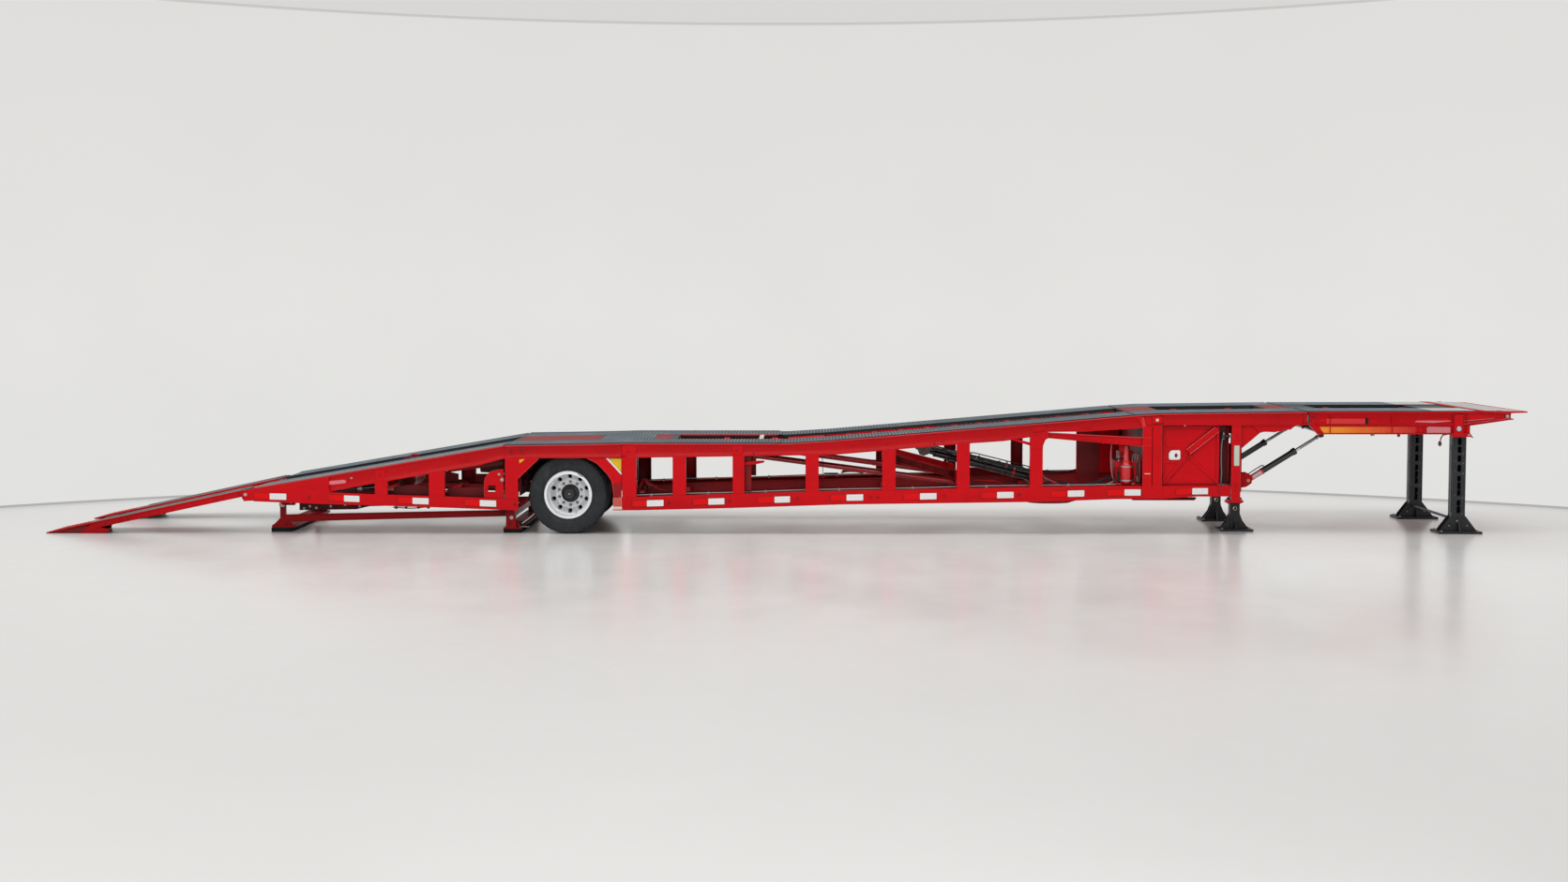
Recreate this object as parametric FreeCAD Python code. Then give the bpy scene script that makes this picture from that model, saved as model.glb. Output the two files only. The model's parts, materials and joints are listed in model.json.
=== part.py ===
import FreeCAD, Part
import math
import os

# Single-axle car-transporter semi-trailer, standing on its legs with its
# rear loading ramps down.  Millimetres.  +X forward, +Y left, +Z up,
# origin on the floor under the middle of the whole machine.

V = FreeCAD.Vector
os.makedirs("parts", exist_ok=True)

# ----------------------------------------------------------------- sizes
HALF_W = 1250.0          # half of the overall width
WEB_T = 8.0              # side web thickness
CHORD_IN = 1165.0        # inner edge of the lower chord flanges
UP_WEB_OUT = 1236.0      # outer face of the upper chord web
FL_T = 12.0              # flange thickness
TREAD_UP = 8.0           # tread plates stand this much above the rail top
TRACK_IN = 470.0         # inner edge of each wheel track
TRACK_OUT = 1185.0       # outer edge of each wheel track
TRACK_T = 34.0           # thickness of a track plate with its ribs
HATCH_X = (-1330.0, -70.0)

HINGE_X, HINGE_Z, HINGE_R = -6562.0, 485.0, 20.0
RAMP_IN, RAMP_OUT = 560.0, 1195.0
RAMP_TIP_X = -9037.0
RAMP_TIP_T = 12.0
RAMP_TOP0 = (-6618.0, 532.0)        # rear-most point of the full ramp top line
RAMP_BEAM_D = 78.0
RAMP_FOOT_X = (-8640.0, -8440.0)

AXLE_X, AXLE_Z = -2618.0, 479.0
TYRE_R, TYRE_W, BEAD_R = 479.0, 270.0, 275.0
RIM_LIP_R, RIM_T = 293.0, 9.0
TWIN_MID = 905.0                    # plane between the two wheels of a side
TWIN_OFF = 156.0                    # tyre middle to that plane
SPINDLE_R = 45.0
RUN_FIT = 0.05

NOSE_X, NOSE_Z = 6391.0, 1440.0     # pivot of the nose section
NOSE_PIN_R = 20.0
NOSE_GAP = 7.0
NOSE_END_X = 9037.0
COUPLER_Z = 1222.0
KINGPIN_X = 7500.0
KINGPIN_R = 25.4
KINGPIN_L = 84.0

NCYL_Y = 850.0                      # nose tilt cylinders
NCYL_LUG = (5742.0, 640.0)
NCYL_EYE = (6633.0, 1200.0)
LCYL_Y = 500.0                      # mid deck lift cylinders
LCYL_LUG = (3286.0, 604.0)
LCYL_EYE = (1764.0, 985.0)
MID_HINGE_X, MID_HINGE_Z = -30.0, 1086.0
MID_END_X = 4292.0

LEG_X, LEG_Y = 5632.0, 610.0        # short landing legs
LEG_W = 120.0
FLEG_X, FLEG_Y = 8305.0, 910.0      # tall front legs
FLEG_W = 160.0

# line tables, columns X, Z
TOP = [(-6540, 546), (-3390, 1084), (-2400, 1100), (-1900, 1112), (80, 1112),
       (600, 1145), (4306, 1458), (4650, 1479), (6388, 1501), (8440, 1507)]
UP_BOT = [(-5534, 519), (-4986, 622), (-4312, 740), (-3692, 846), (-3395, 926),
          (-3224, 933), (-2105, 936), (-849, 953), (635, 978), (1377, 1041),
          (2119, 1107), (2690, 1146), (3060, 1200), (3200, 1258), (3683, 1263),
          (4367, 1306), (4630, 1339), (6388, 1343)]
LOW_TOP_R = [(-5534, 515), (-4975, 489), (-4312, 469), (-3220, 434)]
LOW_BOT_R = [(-6466, 410), (-5644, 378), (-5130, 366), (-4046, 332), (-3220, 300)]
LOW_TOP_F = [(-1957, 453), (-621, 499), (520, 531), (1890, 562), (3032, 585),
             (4174, 602), (5460, 606)]
LOW_BOT_F = [(-1957, 296), (-1763, 297), (-621, 325), (749, 371), (2119, 390),
             (3146, 406), (4059, 440), (4630, 442), (5053, 473), (5460, 474)]


def line(table, x):
    for (xa, za), (xb, zb) in zip(table, table[1:]):
        if xa <= x <= xb:
            return za + (zb - za) * (x - xa) / float(xb - xa)
    return table[0][1] if x < table[0][0] else table[-1][1]


def cut(table, x0, x1):
    """The part of a line table between two X values."""
    pts = [(x0, line(table, x0))]
    pts += [(x, z) for x, z in table if x0 + 0.5 < x < x1 - 0.5]
    pts.append((x1, line(table, x1)))
    return pts


# ----------------------------------------------------------------- shapes
def box(x0, x1, y0, y1, z0, z1):
    x0, x1 = min(x0, x1), max(x0, x1)
    y0, y1 = min(y0, y1), max(y0, y1)
    z0, z1 = min(z0, z1), max(z0, z1)
    return Part.makeBox(x1 - x0, y1 - y0, z1 - z0, V(x0, y0, z0))


def prism(points, y0, y1):
    """A polygon in the XZ plane pushed along Y."""
    y0, y1 = min(y0, y1), max(y0, y1)
    pts = [V(x, y0, z) for x, z in points]
    pts.append(pts[0])
    face = Part.Face(Part.makePolygon(pts))
    return face.extrude(V(0, y1 - y0, 0))


def prism_x(points, x0, x1):
    """A polygon in the YZ plane pushed along X."""
    pts = [V(x0, y, z) for y, z in points]
    pts.append(pts[0])
    return Part.Face(Part.makePolygon(pts)).extrude(V(x1 - x0, 0, 0))


def prism_z(points, z0, z1):
    pts = [V(x, y, z0) for x, y in points]
    pts.append(pts[0])
    return Part.Face(Part.makePolygon(pts)).extrude(V(0, 0, z1 - z0))


def band(top, d0, d1, y0, y1):
    """A strip that follows a line, from d0 to d1 above it (negative: below)."""
    up = [(x, z + d1) for x, z in top]
    dn = [(x, z + d0) for x, z in reversed(top)]
    return prism(up + dn, y0, y1)


def cyl_y(x, z, r, y0, y1):
    y0, y1 = min(y0, y1), max(y0, y1)
    return Part.makeCylinder(r, y1 - y0, V(x, y0, z), V(0, 1, 0))


def cyl_z(x, y, r, z0, z1):
    return Part.makeCylinder(r, z1 - z0, V(x, y, z0), V(0, 0, 1))


def cyl_ab(a, b, y, r, s0=0.0, s1=None):
    """A round bar in the plane Y = y from a towards b, both (X, Z)."""
    dx, dz = b[0] - a[0], b[1] - a[1]
    n = math.hypot(dx, dz)
    ux, uz = dx / n, dz / n
    if s1 is None:
        s1 = n
    return Part.makeCylinder(r, s1 - s0, V(a[0] + ux * s0, y, a[1] + uz * s0), V(ux, 0, uz))


def revolve_y(profile, x, z, side):
    """(radius, distance along Y) closed profile turned about a Y axis."""
    pts = [V(x, side * y, z + r) for r, y in profile]
    pts.append(pts[0])
    return Part.Face(Part.makePolygon(pts)).revolve(V(x, 0, z), V(0, 1, 0), 360)


def fuse(shapes):
    s = shapes[0]
    if len(shapes) > 1:
        s = s.multiFuse(shapes[1:])
    return s.removeSplitter()


def mirror(s):
    return s.mirror(V(0, 0, 0), V(0, 1, 0))


def both(s):
    return [s, mirror(s)]


NODES = {}


def save(name, shapes):
    if not isinstance(shapes, (list, tuple)):
        shapes = [shapes]
    solids = []
    for s in shapes:
        solids += s.Solids
    for s in solids:
        if not s.isValid() or s.Volume < 10:
            print("PROBLEM", name, s.isValid(), s.Volume)
    out = solids[0] if len(solids) == 1 else Part.makeCompound(solids)
    out.exportStep("parts/%s.step" % name)
    NODES[name] = (len(solids), sum(s.Volume for s in solids))


# ======================================================== side frames
POSTS = [  # x0, x1 of each side post, lower and upper line from the tables
    (-4975, -4818), (-4312, -4120), (-3380, -3222),
    (-1950, -1775), (-1332, -1170), (-600, -456), (288, 450), (1224, 1387),
    (2130, 2288), (3020, 3175)]


def chord_channel(top, bot, y_out, y_in, web_out, web_in, t=FL_T):
    """Web with a top and a bottom flange, as one solid."""
    web = prism(top + bot[::-1], -web_out, -web_in)
    ftop = band(top, -t, 0, -y_out, -y_in)
    fbot = band(bot, 0, t, -y_out, -y_in)
    return fuse([web, ftop, fbot])


def make_lower_chord():
    # rear part with the wedge-shaped end plate that carries the ramp hinge
    wedge = [(-6540, 546), (-5534, line(TOP, -5534)), (-5534, 515)]
    wedge += LOW_TOP_R[1:] + LOW_BOT_R[::-1] + [(-6580, 404), (-6606, 440), (-6606, 515)]
    web = prism(wedge, -1250, -1238)
    top_edge = band(cut(TOP, -6480, -5534), -FL_T, 0, -1238, -1186)
    low = band(cut(LOW_BOT_R, -6466, -3220), 0, FL_T, -1238, -CHORD_IN)
    low_top = band(LOW_TOP_R, -FL_T, 0, -1238, -CHORD_IN)
    lip = band(cut(LOW_BOT_R, -6466, -3220), -8, 0, -1250, -1232)
    rear = fuse([web, top_edge, low, low_top, lip])
    rear = rear.cut(cyl_y(HINGE_X, HINGE_Z, HINGE_R, -1260, -1230))
    # front part
    web = prism(LOW_TOP_F + LOW_BOT_F[::-1], -1250, -1242)
    ftop = band(LOW_TOP_F, -FL_T, 0, -1250, -CHORD_IN)
    fbot = band(LOW_BOT_F, 0, FL_T, -1250, -CHORD_IN)
    endp = prism([(-1957, 296), (-1945, 296), (-1945, 453), (-1957, 453)], -1250, -CHORD_IN)
    front = fuse([web, ftop, fbot, endp])
    return [rear, front]


def make_upper_chord():
    top = cut(TOP, -5534, 6380)
    bot = UP_BOT[:-1] + [(6380, 1343)]
    web = prism(top + bot[::-1], -UP_WEB_OUT, -UP_WEB_OUT + WEB_T)
    ftop = band(top, -14, 0, -1250, -1186)
    over = [(x, z) for x, z in bot]
    lipb = band(over, 0, 13, -1250, -UP_WEB_OUT)
    inner_r = band(cut(UP_BOT, -5534, -3300), 0, FL_T, -UP_WEB_OUT, -1180)
    inner_f = band(cut(UP_BOT, -1990, 6380), 0, FL_T, -UP_WEB_OUT, -1180)
    return fuse([web, ftop, lipb, inner_r, inner_f])


lower = make_lower_chord()
upper = make_upper_chord()
save("lower_chords", lower + [mirror(s) for s in lower])
save("upper_chords", [upper, mirror(upper)])

posts = []
for x0, x1 in POSTS:
    low_t = LOW_TOP_R if x1 < -3000 else LOW_TOP_F
    plate = prism(cut(low_t, x0, x1) + cut(UP_BOT, x0, x1)[::-1], -1250, -1242)
    fa = prism(cut(low_t, x0, x0 + 8) + cut(UP_BOT, x0, x0 + 8)[::-1], -1242, -1182)
    fb = prism(cut(low_t, x1 - 8, x1) + cut(UP_BOT, x1 - 8, x1)[::-1], -1242, -1182)
    posts.append(fuse([plate, fa, fb]))
save("side_posts", posts + [mirror(s) for s in posts])

# wheel arch gussets and the shaped bracket plate behind the rear post
arch_rear = prism([(-3222, 683), (-3222, 932.9), (-2973, 933.5)], -1250, -1243)
arch_curve = [(-2377, 930), (-2253, 866), (-2162, 771), (-2105, 700), (-2082, 656), (-2066, 560), (-2051, 461)]
arch_front = prism(arch_curve + [(-1957, 453), (-1957, 727), (-2146, 931)], -1250, -1243)
arch_side = prism(arch_curve + [(x + 9, z + 3) for x, z in arch_curve[::-1]], -1250, -1222)
arch_front = fuse([arch_front, arch_side])
plate = prism([(-3640, 448.4), (-3640, 640), (-3610, 720), (-3540, 780), (-3400, 800), (-3400, 440.7)],
              -1236, -1224)
plate = plate.cut(prism([(-3590, 520), (-3590, 600), (-3500, 600), (-3500, 520)], -1240, -1220))
arch = [arch_rear, arch_front, plate]
save("wheel_arch_plates", arch + [mirror(s) for s in arch])

# ======================================================== cross members
LOW_CROSS = [  # x0, x1, z0, z1
    (-5080, -5000, 388, 470), (-4280, -4200, 388, 453), (-3560, -3480, 392, 428),
    (-1900, -1800, 330, 440), (-1300, -1210, 330, 430), (-570, -480, 345, 440),
    (300, 390, 372, 470), (1260, 1350, 392, 490), (2140, 2230, 405, 505),
    (3050, 3140, 420, 520), (4060, 4150, 454, 560), (5040, 5130, 486, 590)]
cross = []
for x0, x1, z0, z1 in LOW_CROSS:
    y = 1238 if x1 < -3000 else 1242
    cross.append(box(x0, x1, -y, y, z0, z1))
save("lower_cross_members", cross)

UP_CROSS = [  # x0, x1, depth of the member under the track
    (-6080, -6010, 60), (-5420, -5350, 90), (-4760, -4690, 90), (-4100, -4030, 90),
    (-3470, -3390, 100), (-1850, -1780, 100), (-1400, -1330, 100), (-760, -690, 90),
    (-150, -70, 100), (4312, 4392, 110), (5000, 5070, 100), (5700, 5770, 100), (6240, 6330, 110)]
cross = []
for x0, x1, d in UP_CROSS:
    z1a, z1b = line(TOP, x0) - TRACK_T + TREAD_UP, line(TOP, x1) - TRACK_T + TREAD_UP
    cross.append(prism([(x0, z1a - d), (x1, z1b - d), (x1, z1b), (x0, z1a)], -1228, 1228))
# shallow members over the axle, above the tyres
for x0, x1 in ((-3000, -2930), (-2653, -2583), (-2300, -2230)):
    z1a, z1b = line(TOP, x0) - TRACK_T + TREAD_UP, line(TOP, x1) - TRACK_T + TREAD_UP
    cross.append(prism([(x0, z1a - 60), (x1, z1b - 60), (x1, z1b), (x0, z1a)], -1228, 1228))
# the member at the end of the axle deck carries the pins of the mid deck
ends = [c for c in cross if abs(c.BoundBox.XMin + 150) < 1]
cross = [c for c in cross if abs(c.BoundBox.XMin + 150) >= 1]
for s in (-1, 1):
    ends.append(cyl_y(MID_HINGE_X, MID_HINGE_Z, 15, s * 530, s * 640))
    for ya, yb in ((530, 552), (618, 640)):
        ends.append(prism([(-80, 1000), (-14, 1060), (-14, 1104), (-68, 1104), (-68, 1086), (-80, 1086)], s * ya, s * yb))
cross.append(fuse(ends))
save("upper_cross_members", cross)


# ======================================================== deck
def track(x0, x1, y0, y1, up=TREAD_UP, t=TRACK_T):
    pts = cut(TOP, x0, x1)
    return band(pts, up - t, up, y0, y1)


rear_tracks = []
for s in (-1, 1):
    rear_tracks.append(track(-6478, -3396, s * TRACK_IN, s * TRACK_OUT))

SEAM = 5.0                # open seam between neighbouring deck plates
axle_deck = [track(-3390, -76, s * TRACK_IN, s * TRACK_OUT) for s in (-1, 1)]
axle_deck.append(track(-3390, HATCH_X[0], -TRACK_IN + SEAM, TRACK_IN - SEAM))

front_deck = [track(4306, 6374, s * TRACK_IN, s * TRACK_OUT) for s in (-1, 1)]
for x0, x1 in ((4306, 4700), (6060, 6374)):
    front_deck.append(track(x0, x1, -TRACK_IN + SEAM, TRACK_IN - SEAM))
save("fixed_deck", rear_tracks + axle_deck + front_deck)

# mid deck: two tracks joined by ribs, hinged at its rear end
mid = []
for s in (-1, 1):
    mid.append(track(-4, MID_END_X, s * TRACK_IN, s * 1176))
ribs = []
for x in range(120, 4200, 340):
    ribs.append(band(cut(TOP, x, x + 70), TREAD_UP - TRACK_T - 50, TREAD_UP - TRACK_T, -1170, 1170))
mid_sill = []
for s in (-1, 1):
    mid_sill.append(track(60, 4280, s * TRACK_IN, s * (TRACK_IN + 60), -26, 80))
save("mid_deck_tracks", mid)
# hinge eyes reach back to the pin
eyes = []
for s in (-1, 1):
    e = prism([(MID_HINGE_X - 4, MID_HINGE_Z - 26), (130, 1010), (130, 1086), (0, 1086)],
              s * 560, s * 610)
    e = e.fuse(cyl_y(MID_HINGE_X, MID_HINGE_Z, 26, s * 560, s * 610))
    e = e.cut(cyl_y(MID_HINGE_X, MID_HINGE_Z, 15 + RUN_FIT, s * 550, s * 620))
    eyes.append(e)
# brackets that take the cylinder rod eyes
lug = []
for s in (-1, 1):
    for d in (-1, 1):
        yc = s * LCYL_Y + d * 38
        p = prism([(LCYL_EYE[0] - 90, line(TOP, LCYL_EYE[0] - 90) - 70), (LCYL_EYE[0] - 40, LCYL_EYE[1] - 40),
                   (LCYL_EYE[0] + 40, LCYL_EYE[1] - 40), (LCYL_EYE[0] + 120, line(TOP, LCYL_EYE[0] + 120) - 70)],
                  yc - 6, yc + 6)
        lug.append(p)
    lug.append(cyl_y(LCYL_EYE[0], LCYL_EYE[1], 18, s * LCYL_Y - 46, s * LCYL_Y + 46))
mid_frame = fuse(ribs + mid_sill + eyes + lug)
save("mid_deck_frame", mid_frame)


# ======================================================== ramps
def ramp_top(x):
    xa, za = RAMP_TIP_X, RAMP_TIP_T
    xb, zb = RAMP_TOP0
    return za + (zb - za) * (x - xa) / (xb - xa)


SLOPE = math.atan2(RAMP_TOP0[1] - RAMP_TIP_T, RAMP_TOP0[0] - RAMP_TIP_X)
VD = RAMP_BEAM_D / math.cos(SLOPE)


def make_ramp(s):
    x1 = RAMP_TOP0[0]
    beam_pts = [(x1, ramp_top(x1)), (-8500, ramp_top(-8500)), (-8500, ramp_top(-8500) - 30),
                (RAMP_FOOT_X[0], 0), (RAMP_FOOT_X[1], 0), (RAMP_FOOT_X[1] + 14, ramp_top(RAMP_FOOT_X[1]) - VD + 4),
                (x1, ramp_top(x1) - VD)]
    beams = []
    for ya, yb in ((RAMP_OUT - 45, RAMP_OUT), (RAMP_IN, RAMP_IN + 45)):
        b = prism(beam_pts, s * ya, s * yb)
        eye = prism([(x1, ramp_top(x1)), (HINGE_X, HINGE_Z + 36), (HINGE_X, HINGE_Z - 36), (x1, ramp_top(x1) - VD)],
                    s * ya, s * yb)
        b = b.fuse(eye).fuse(cyl_y(HINGE_X, HINGE_Z, 36, s * ya, s * yb))
        beams.append(b)
    rungs = []
    for i in range(7):
        x = -8330 + i * 275
        rungs.append(prism([(x, ramp_top(x) - 62), (x + 50, ramp_top(x + 50) - 62),
                            (x + 50, ramp_top(x + 50) - 26), (x, ramp_top(x) - 26)],
                           s * (RAMP_IN + 30), s * (RAMP_OUT - 30)))
    tube = cyl_y(HINGE_X, HINGE_Z, 33, s * (RAMP_IN + 30), s * (RAMP_OUT - 30))
    frame = fuse(beams + rungs + [tube])
    frame = frame.cut(cyl_y(HINGE_X, HINGE_Z, HINGE_R + RUN_FIT, s * 400, s * 1400))
    tread = prism([(x1, ramp_top(x1) - 4), (-8506, ramp_top(-8506) - 4), (-8506, ramp_top(-8506) - 26),
                   (x1, ramp_top(x1) - 26)], s * (RAMP_IN + 45), s * (RAMP_OUT - 45))
    flap = prism([(-8506, ramp_top(-8506)), (RAMP_TIP_X, RAMP_TIP_T), (RAMP_TIP_X, 0), (RAMP_TIP_X + 20, 0),
                  (-8506, ramp_top(-8506) - 16)], s * RAMP_IN, s * RAMP_OUT)
    return frame, tread, flap


for s, nm in ((-1, "right"), (1, "left")):
    fr, tr, fl = make_ramp(s)
    save("ramp_frame_" + nm, fuse([fr, fl]))
    save("ramp_tread_" + nm, [tr])

shaft = cyl_y(HINGE_X, HINGE_Z, HINGE_R, -1254, 1254)
beam = box(-6440, -6360, -1238, 1238, 430, 500)
save("ramp_hinge_shaft", shaft)
knuckles = [beam]
for y0, y1 in ((-552, -530), (530, 552), (-1229, -1207), (1207, 1229)):
    k = prism([(-6600, 452), (-6600, 510), (-6575, 522), (-6440, 500), (-6440, 430), (-6520, 430)], y0, y1)
    k = k.cut(cyl_y(HINGE_X, HINGE_Z, HINGE_R, -1300, 1300))
    knuckles.append(k)
# ======================================================== rear stand
st = []
for s in (-1, 1):
    st.append(prism([(-6150, 122), (-6150, 208), (-3392, 268), (-3392, 194)], s * 896, s * 956))
    st.append(box(-6213, -6147, s * 896, s * 956, 80, 392))
    st.append(prism([(-3399, 50), (-3271, 50), (-3290, 290), (-3392, 290)], s * 1000, s * 1070))
st.append(box(-6314, -6026, -960, 960, 52, 82))
st.append(box(-3399, -3300, -1010, 1010, 190, 262))
st.append(box(-3430, -3207, -1070, 1070, 50, 66))
save("rear_stand_frame", fuse(st))
pads = [box(-6322, -6062, -960, 960, 0, 52), box(-3430, -3207, -1070, 1070, 0, 50)]
save("rear_stand_pads", pads)
for s in (-1, 1):
    for ya, yb in ((962, 974), (878, 890)):
        knuckles.append(prism([(-6361, 430), (-6210, 400), (-6180, 330), (-6110, 330), (-5990, 420), (-5990, 470),
                               (-6361, 470)], s * ya, s * yb))
save("rear_cross_beam", fuse(knuckles))

# ======================================================== axle and wheels
axle = [cyl_y(AXLE_X, AXLE_Z, 64, -600, 600), cyl_y(AXLE_X, AXLE_Z, SPINDLE_R, -985, 985)]
for s in (-1, 1):
    axle.append(box(AXLE_X - 80, AXLE_X + 80, s * 470, s * 560, AXLE_Z + 40, AXLE_Z + 84))
for s in (-1, 1):
    axle.append(Part.makeCylinder(78, 150, V(AXLE_X + 150, s * 330, AXLE_Z + 20), V(1, 0, 0)))
    axle.append(box(AXLE_X + 20, AXLE_X + 152, s * 330 - 12, s * 330 + 12, AXLE_Z - 20, AXLE_Z + 60))
save("axle_beam", fuse(axle))
SPRING_HALF = 640.0
springs = []
for s in (-1, 1):
    pts_top = [(AXLE_X - SPRING_HALF, AXLE_Z + 182), (AXLE_X - 320, AXLE_Z + 136), (AXLE_X, AXLE_Z + 124),
               (AXLE_X + 320, AXLE_Z + 136), (AXLE_X + SPRING_HALF, AXLE_Z + 182)]
    pts_bot = [(AXLE_X + SPRING_HALF, AXLE_Z + 168), (AXLE_X + 500, AXLE_Z + 142), (AXLE_X + 260, AXLE_Z + 102),
               (AXLE_X + 90, AXLE_Z + 84), (AXLE_X - 90, AXLE_Z + 84), (AXLE_X - 260, AXLE_Z + 102),
               (AXLE_X - 500, AXLE_Z + 142), (AXLE_X - SPRING_HALF, AXLE_Z + 168)]
    springs.append(prism(pts_top + pts_bot, s * 475, s * 555))
save("leaf_springs", springs)
hang = []
for s in (-1, 1):
    one = [box(-3390, -1852, s * 445, s * 585, 962, 1003)]
    for x in (AXLE_X - SPRING_HALF, AXLE_X + SPRING_HALF):
        for ya, yb in ((457, 469), (561, 573)):
            one.append(prism([(x - 90, 962), (x + 90, 962), (x + 45, AXLE_Z + 120), (x - 45, AXLE_Z + 120)],
                             s * ya, s * yb))
        one.append(cyl_y(x, AXLE_Z + 152, 14, s * 457, s * 573))
    hang.append(fuse(one))
save("suspension_frame", hang)


def tyre_profile(yc):
    w = TYRE_W / 2.0
    out = [(BEAD_R, yc - 104), (RIM_LIP_R + 1, yc - 106), (BEAD_R + 40, yc - w + 8), (BEAD_R + 110, yc - w), (TYRE_R - 42, yc - w + 8),
           (TYRE_R - 6, yc - 112), (TYRE_R, yc - 95), (TYRE_R, yc + 95), (TYRE_R - 6, yc + 112),
           (TYRE_R - 42, yc + w - 8), (BEAD_R + 110, yc + w), (BEAD_R + 40, yc + w - 8), (RIM_LIP_R + 1, yc + 106), (BEAD_R, yc + 104)]
    inn = [(BEAD_R, yc + 70), (BEAD_R + 60, yc + w - 26), (TYRE_R - 50, yc + w - 30),
           (TYRE_R - 30, yc + 60), (TYRE_R - 30, yc - 60), (TYRE_R - 50, yc - w + 30), (BEAD_R + 60, yc - w + 26),
           (BEAD_R, yc - 70)]
    return out + inn


def rim_profile(yc, d):
    """Rim with its disc; d = +1 when the outer side of the rim looks outward."""
    e0, e1 = yc - 116 * d, yc + 116 * d      # edge near the twin plane, outer edge
    m0 = TWIN_MID
    m1 = TWIN_MID + 13 * d
    return [(RIM_LIP_R, e1), (RIM_LIP_R, e1 - 9 * d), (BEAD_R, e1 - 11 * d), (BEAD_R, e0 + 11 * d),
            (RIM_LIP_R, e0 + 9 * d), (RIM_LIP_R, e0), (BEAD_R - RIM_T, e0),
            (BEAD_R - RIM_T, e0 + 24 * d), (BEAD_R - 26, e0 + 28 * d), (190, m0 + 3 * d), (176, m0), (112, m0), (112, m1), (172, m1),
            (186, m1 + 6 * d), (BEAD_R - 36, e0 + 52 * d), (BEAD_R - RIM_T, e0 + 62 * d), (BEAD_R - RIM_T, e1)]


for s, nm in ((-1, "right"), (1, "left")):
    y_out, y_in = TWIN_MID + TWIN_OFF, TWIN_MID - TWIN_OFF
    tyres = [revolve_y(tyre_profile(y_out), AXLE_X, AXLE_Z, s), revolve_y(tyre_profile(y_in), AXLE_X, AXLE_Z, s)]
    # small flat where each tyre meets the floor is left out
    save("tyres_" + nm, tyres)
    rims = [revolve_y(rim_profile(y_out, 1), AXLE_X, AXLE_Z, s), revolve_y(rim_profile(y_in, -1), AXLE_X, AXLE_Z, s)]
    for i in range(10):
        a = math.radians(36 * i + 18)
        hole = cyl_y(AXLE_X + 213 * math.cos(a), AXLE_Z + 213 * math.sin(a), 27, s * 780, s * 1040)
        rims = [r.cut(hole) for r in rims]
    save("wheel_rims_" + nm, rims)
    hub_pts = [(SPINDLE_R + RUN_FIT, 640), (100, 640), (100, 862), (168, 868), (168, TWIN_MID - 13),
               (111, TWIN_MID - 13), (111, TWIN_MID + 22), (96, TWIN_MID + 26), (92, TWIN_MID + 120),
               (62, TWIN_MID + 140), (0, TWIN_MID + 142), (0, 990), (SPINDLE_R + RUN_FIT, 990)]
    hub = revolve_y(hub_pts, AXLE_X, AXLE_Z, s)
    drum = revolve_y([(206, 660), (206, 846), (172, 874), (160, 874), (160, 868), (192, 842), (192, 660)],
                     AXLE_X, AXLE_Z, s)
    save("wheel_hub_" + nm, [fuse([hub, drum])])

# ======================================================== bulkhead and king posts
bk = []
for x0, x1 in ((4388, 4500), (4508, 4622)):
    zt = line(UP_BOT, x0)
    bk.append(prism([(x0, line(LOW_TOP_F, x0)), (x1, line(LOW_TOP_F, x1)), (x1, line(UP_BOT, x1)), (x0, zt)],
                    -1250, -1190))
kp = prism([(5466, 424), (5577, 424), (5577, line(UP_BOT, 5577)), (5466, line(UP_BOT, 5466))], -1250, -1170)
kf = box(5405, 5617, -1250, -1150, 398, 424)
gus = prism([(5577, line(UP_BOT, 5577)), (6010, line(UP_BOT, 6010)), (5885, 1268), (5812, 1252), (5577, 1050)], -1222, -1210)
kp = fuse([kp, kf, gus])
save("bulkhead_posts", bk + [mirror(s) for s in bk])
save("king_posts", [kp, mirror(kp)])
panel = box(4630, 5310, -1206, -1200, 606, 1330)
frame_a = box(4630, 4660, -1212, -1182, 606, 1330)
frame_b = box(5290, 5320, -1212, -1182, 606, 1330)
top_f = box(4630, 5320, -1212, -1182, 1300, 1330)
rb = fuse([prism([(5310, 1290), (5325, 1270), (4955, 1005), (4925, 1020)], -1222, -1206),
           prism([(4955, 1005), (4925, 1020), (4650, 640), (4680, 625)], -1212, -1206)])
side = fuse([panel, frame_a, frame_b, top_f, rb])
save("bulkhead_panels", [side, mirror(side)])
front = [box(5470, 5570, -1170, 1170, 480, 600), box(5466, 5577, -1170, 1170, 1236, 1341)]
for s in (-1, 1):
    o = box(5570, LEG_X + 72, s * LEG_Y - 72, s * LEG_Y + 72, 480, 1080)
    o = o.cut(box(LEG_X - 62, LEG_X + 62, s * LEG_Y - 62, s * LEG_Y + 62, 400, 1070))
    front.append(o)
    for d in (-1, 1):
        yc = s * NCYL_Y + d * 46
        front.append(prism([(5566, 560), (5566, 720), (NCYL_LUG[0] - 10, 700), (NCYL_LUG[0] + 46, 665),
                            (NCYL_LUG[0] + 46, 610), (NCYL_LUG[0], 575), (5640, 560)], yc - 7, yc + 7))
    front.append(cyl_y(NCYL_LUG[0], NCYL_LUG[1], 18, s * NCYL_Y - 53, s * NCYL_Y + 53))
    front.append(box(5560, 5584, s * NCYL_Y - 60, s * NCYL_Y + 60, 560, 720))
save("front_frame", fuse(front))

# trays, the hydraulic power pack, and the closed locker on the other side
trays = [box(4070, 4640, s * 700, s * 1165, 590, 612) for s in (-1, 1)]
save("equipment_trays", trays)
pack = [box(4080, 4330, -1130, -760, 612, 900), box(4130, 4300, -1100, -800, 900, 1010)]
pack += [cyl_z(4165, -1090, 42, 1010, 1120)]
save("hydraulic_power_pack", fuse(pack))
save("tool_locker", box(4075, 4380, 640, 1150, 612, 1200))

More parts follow.
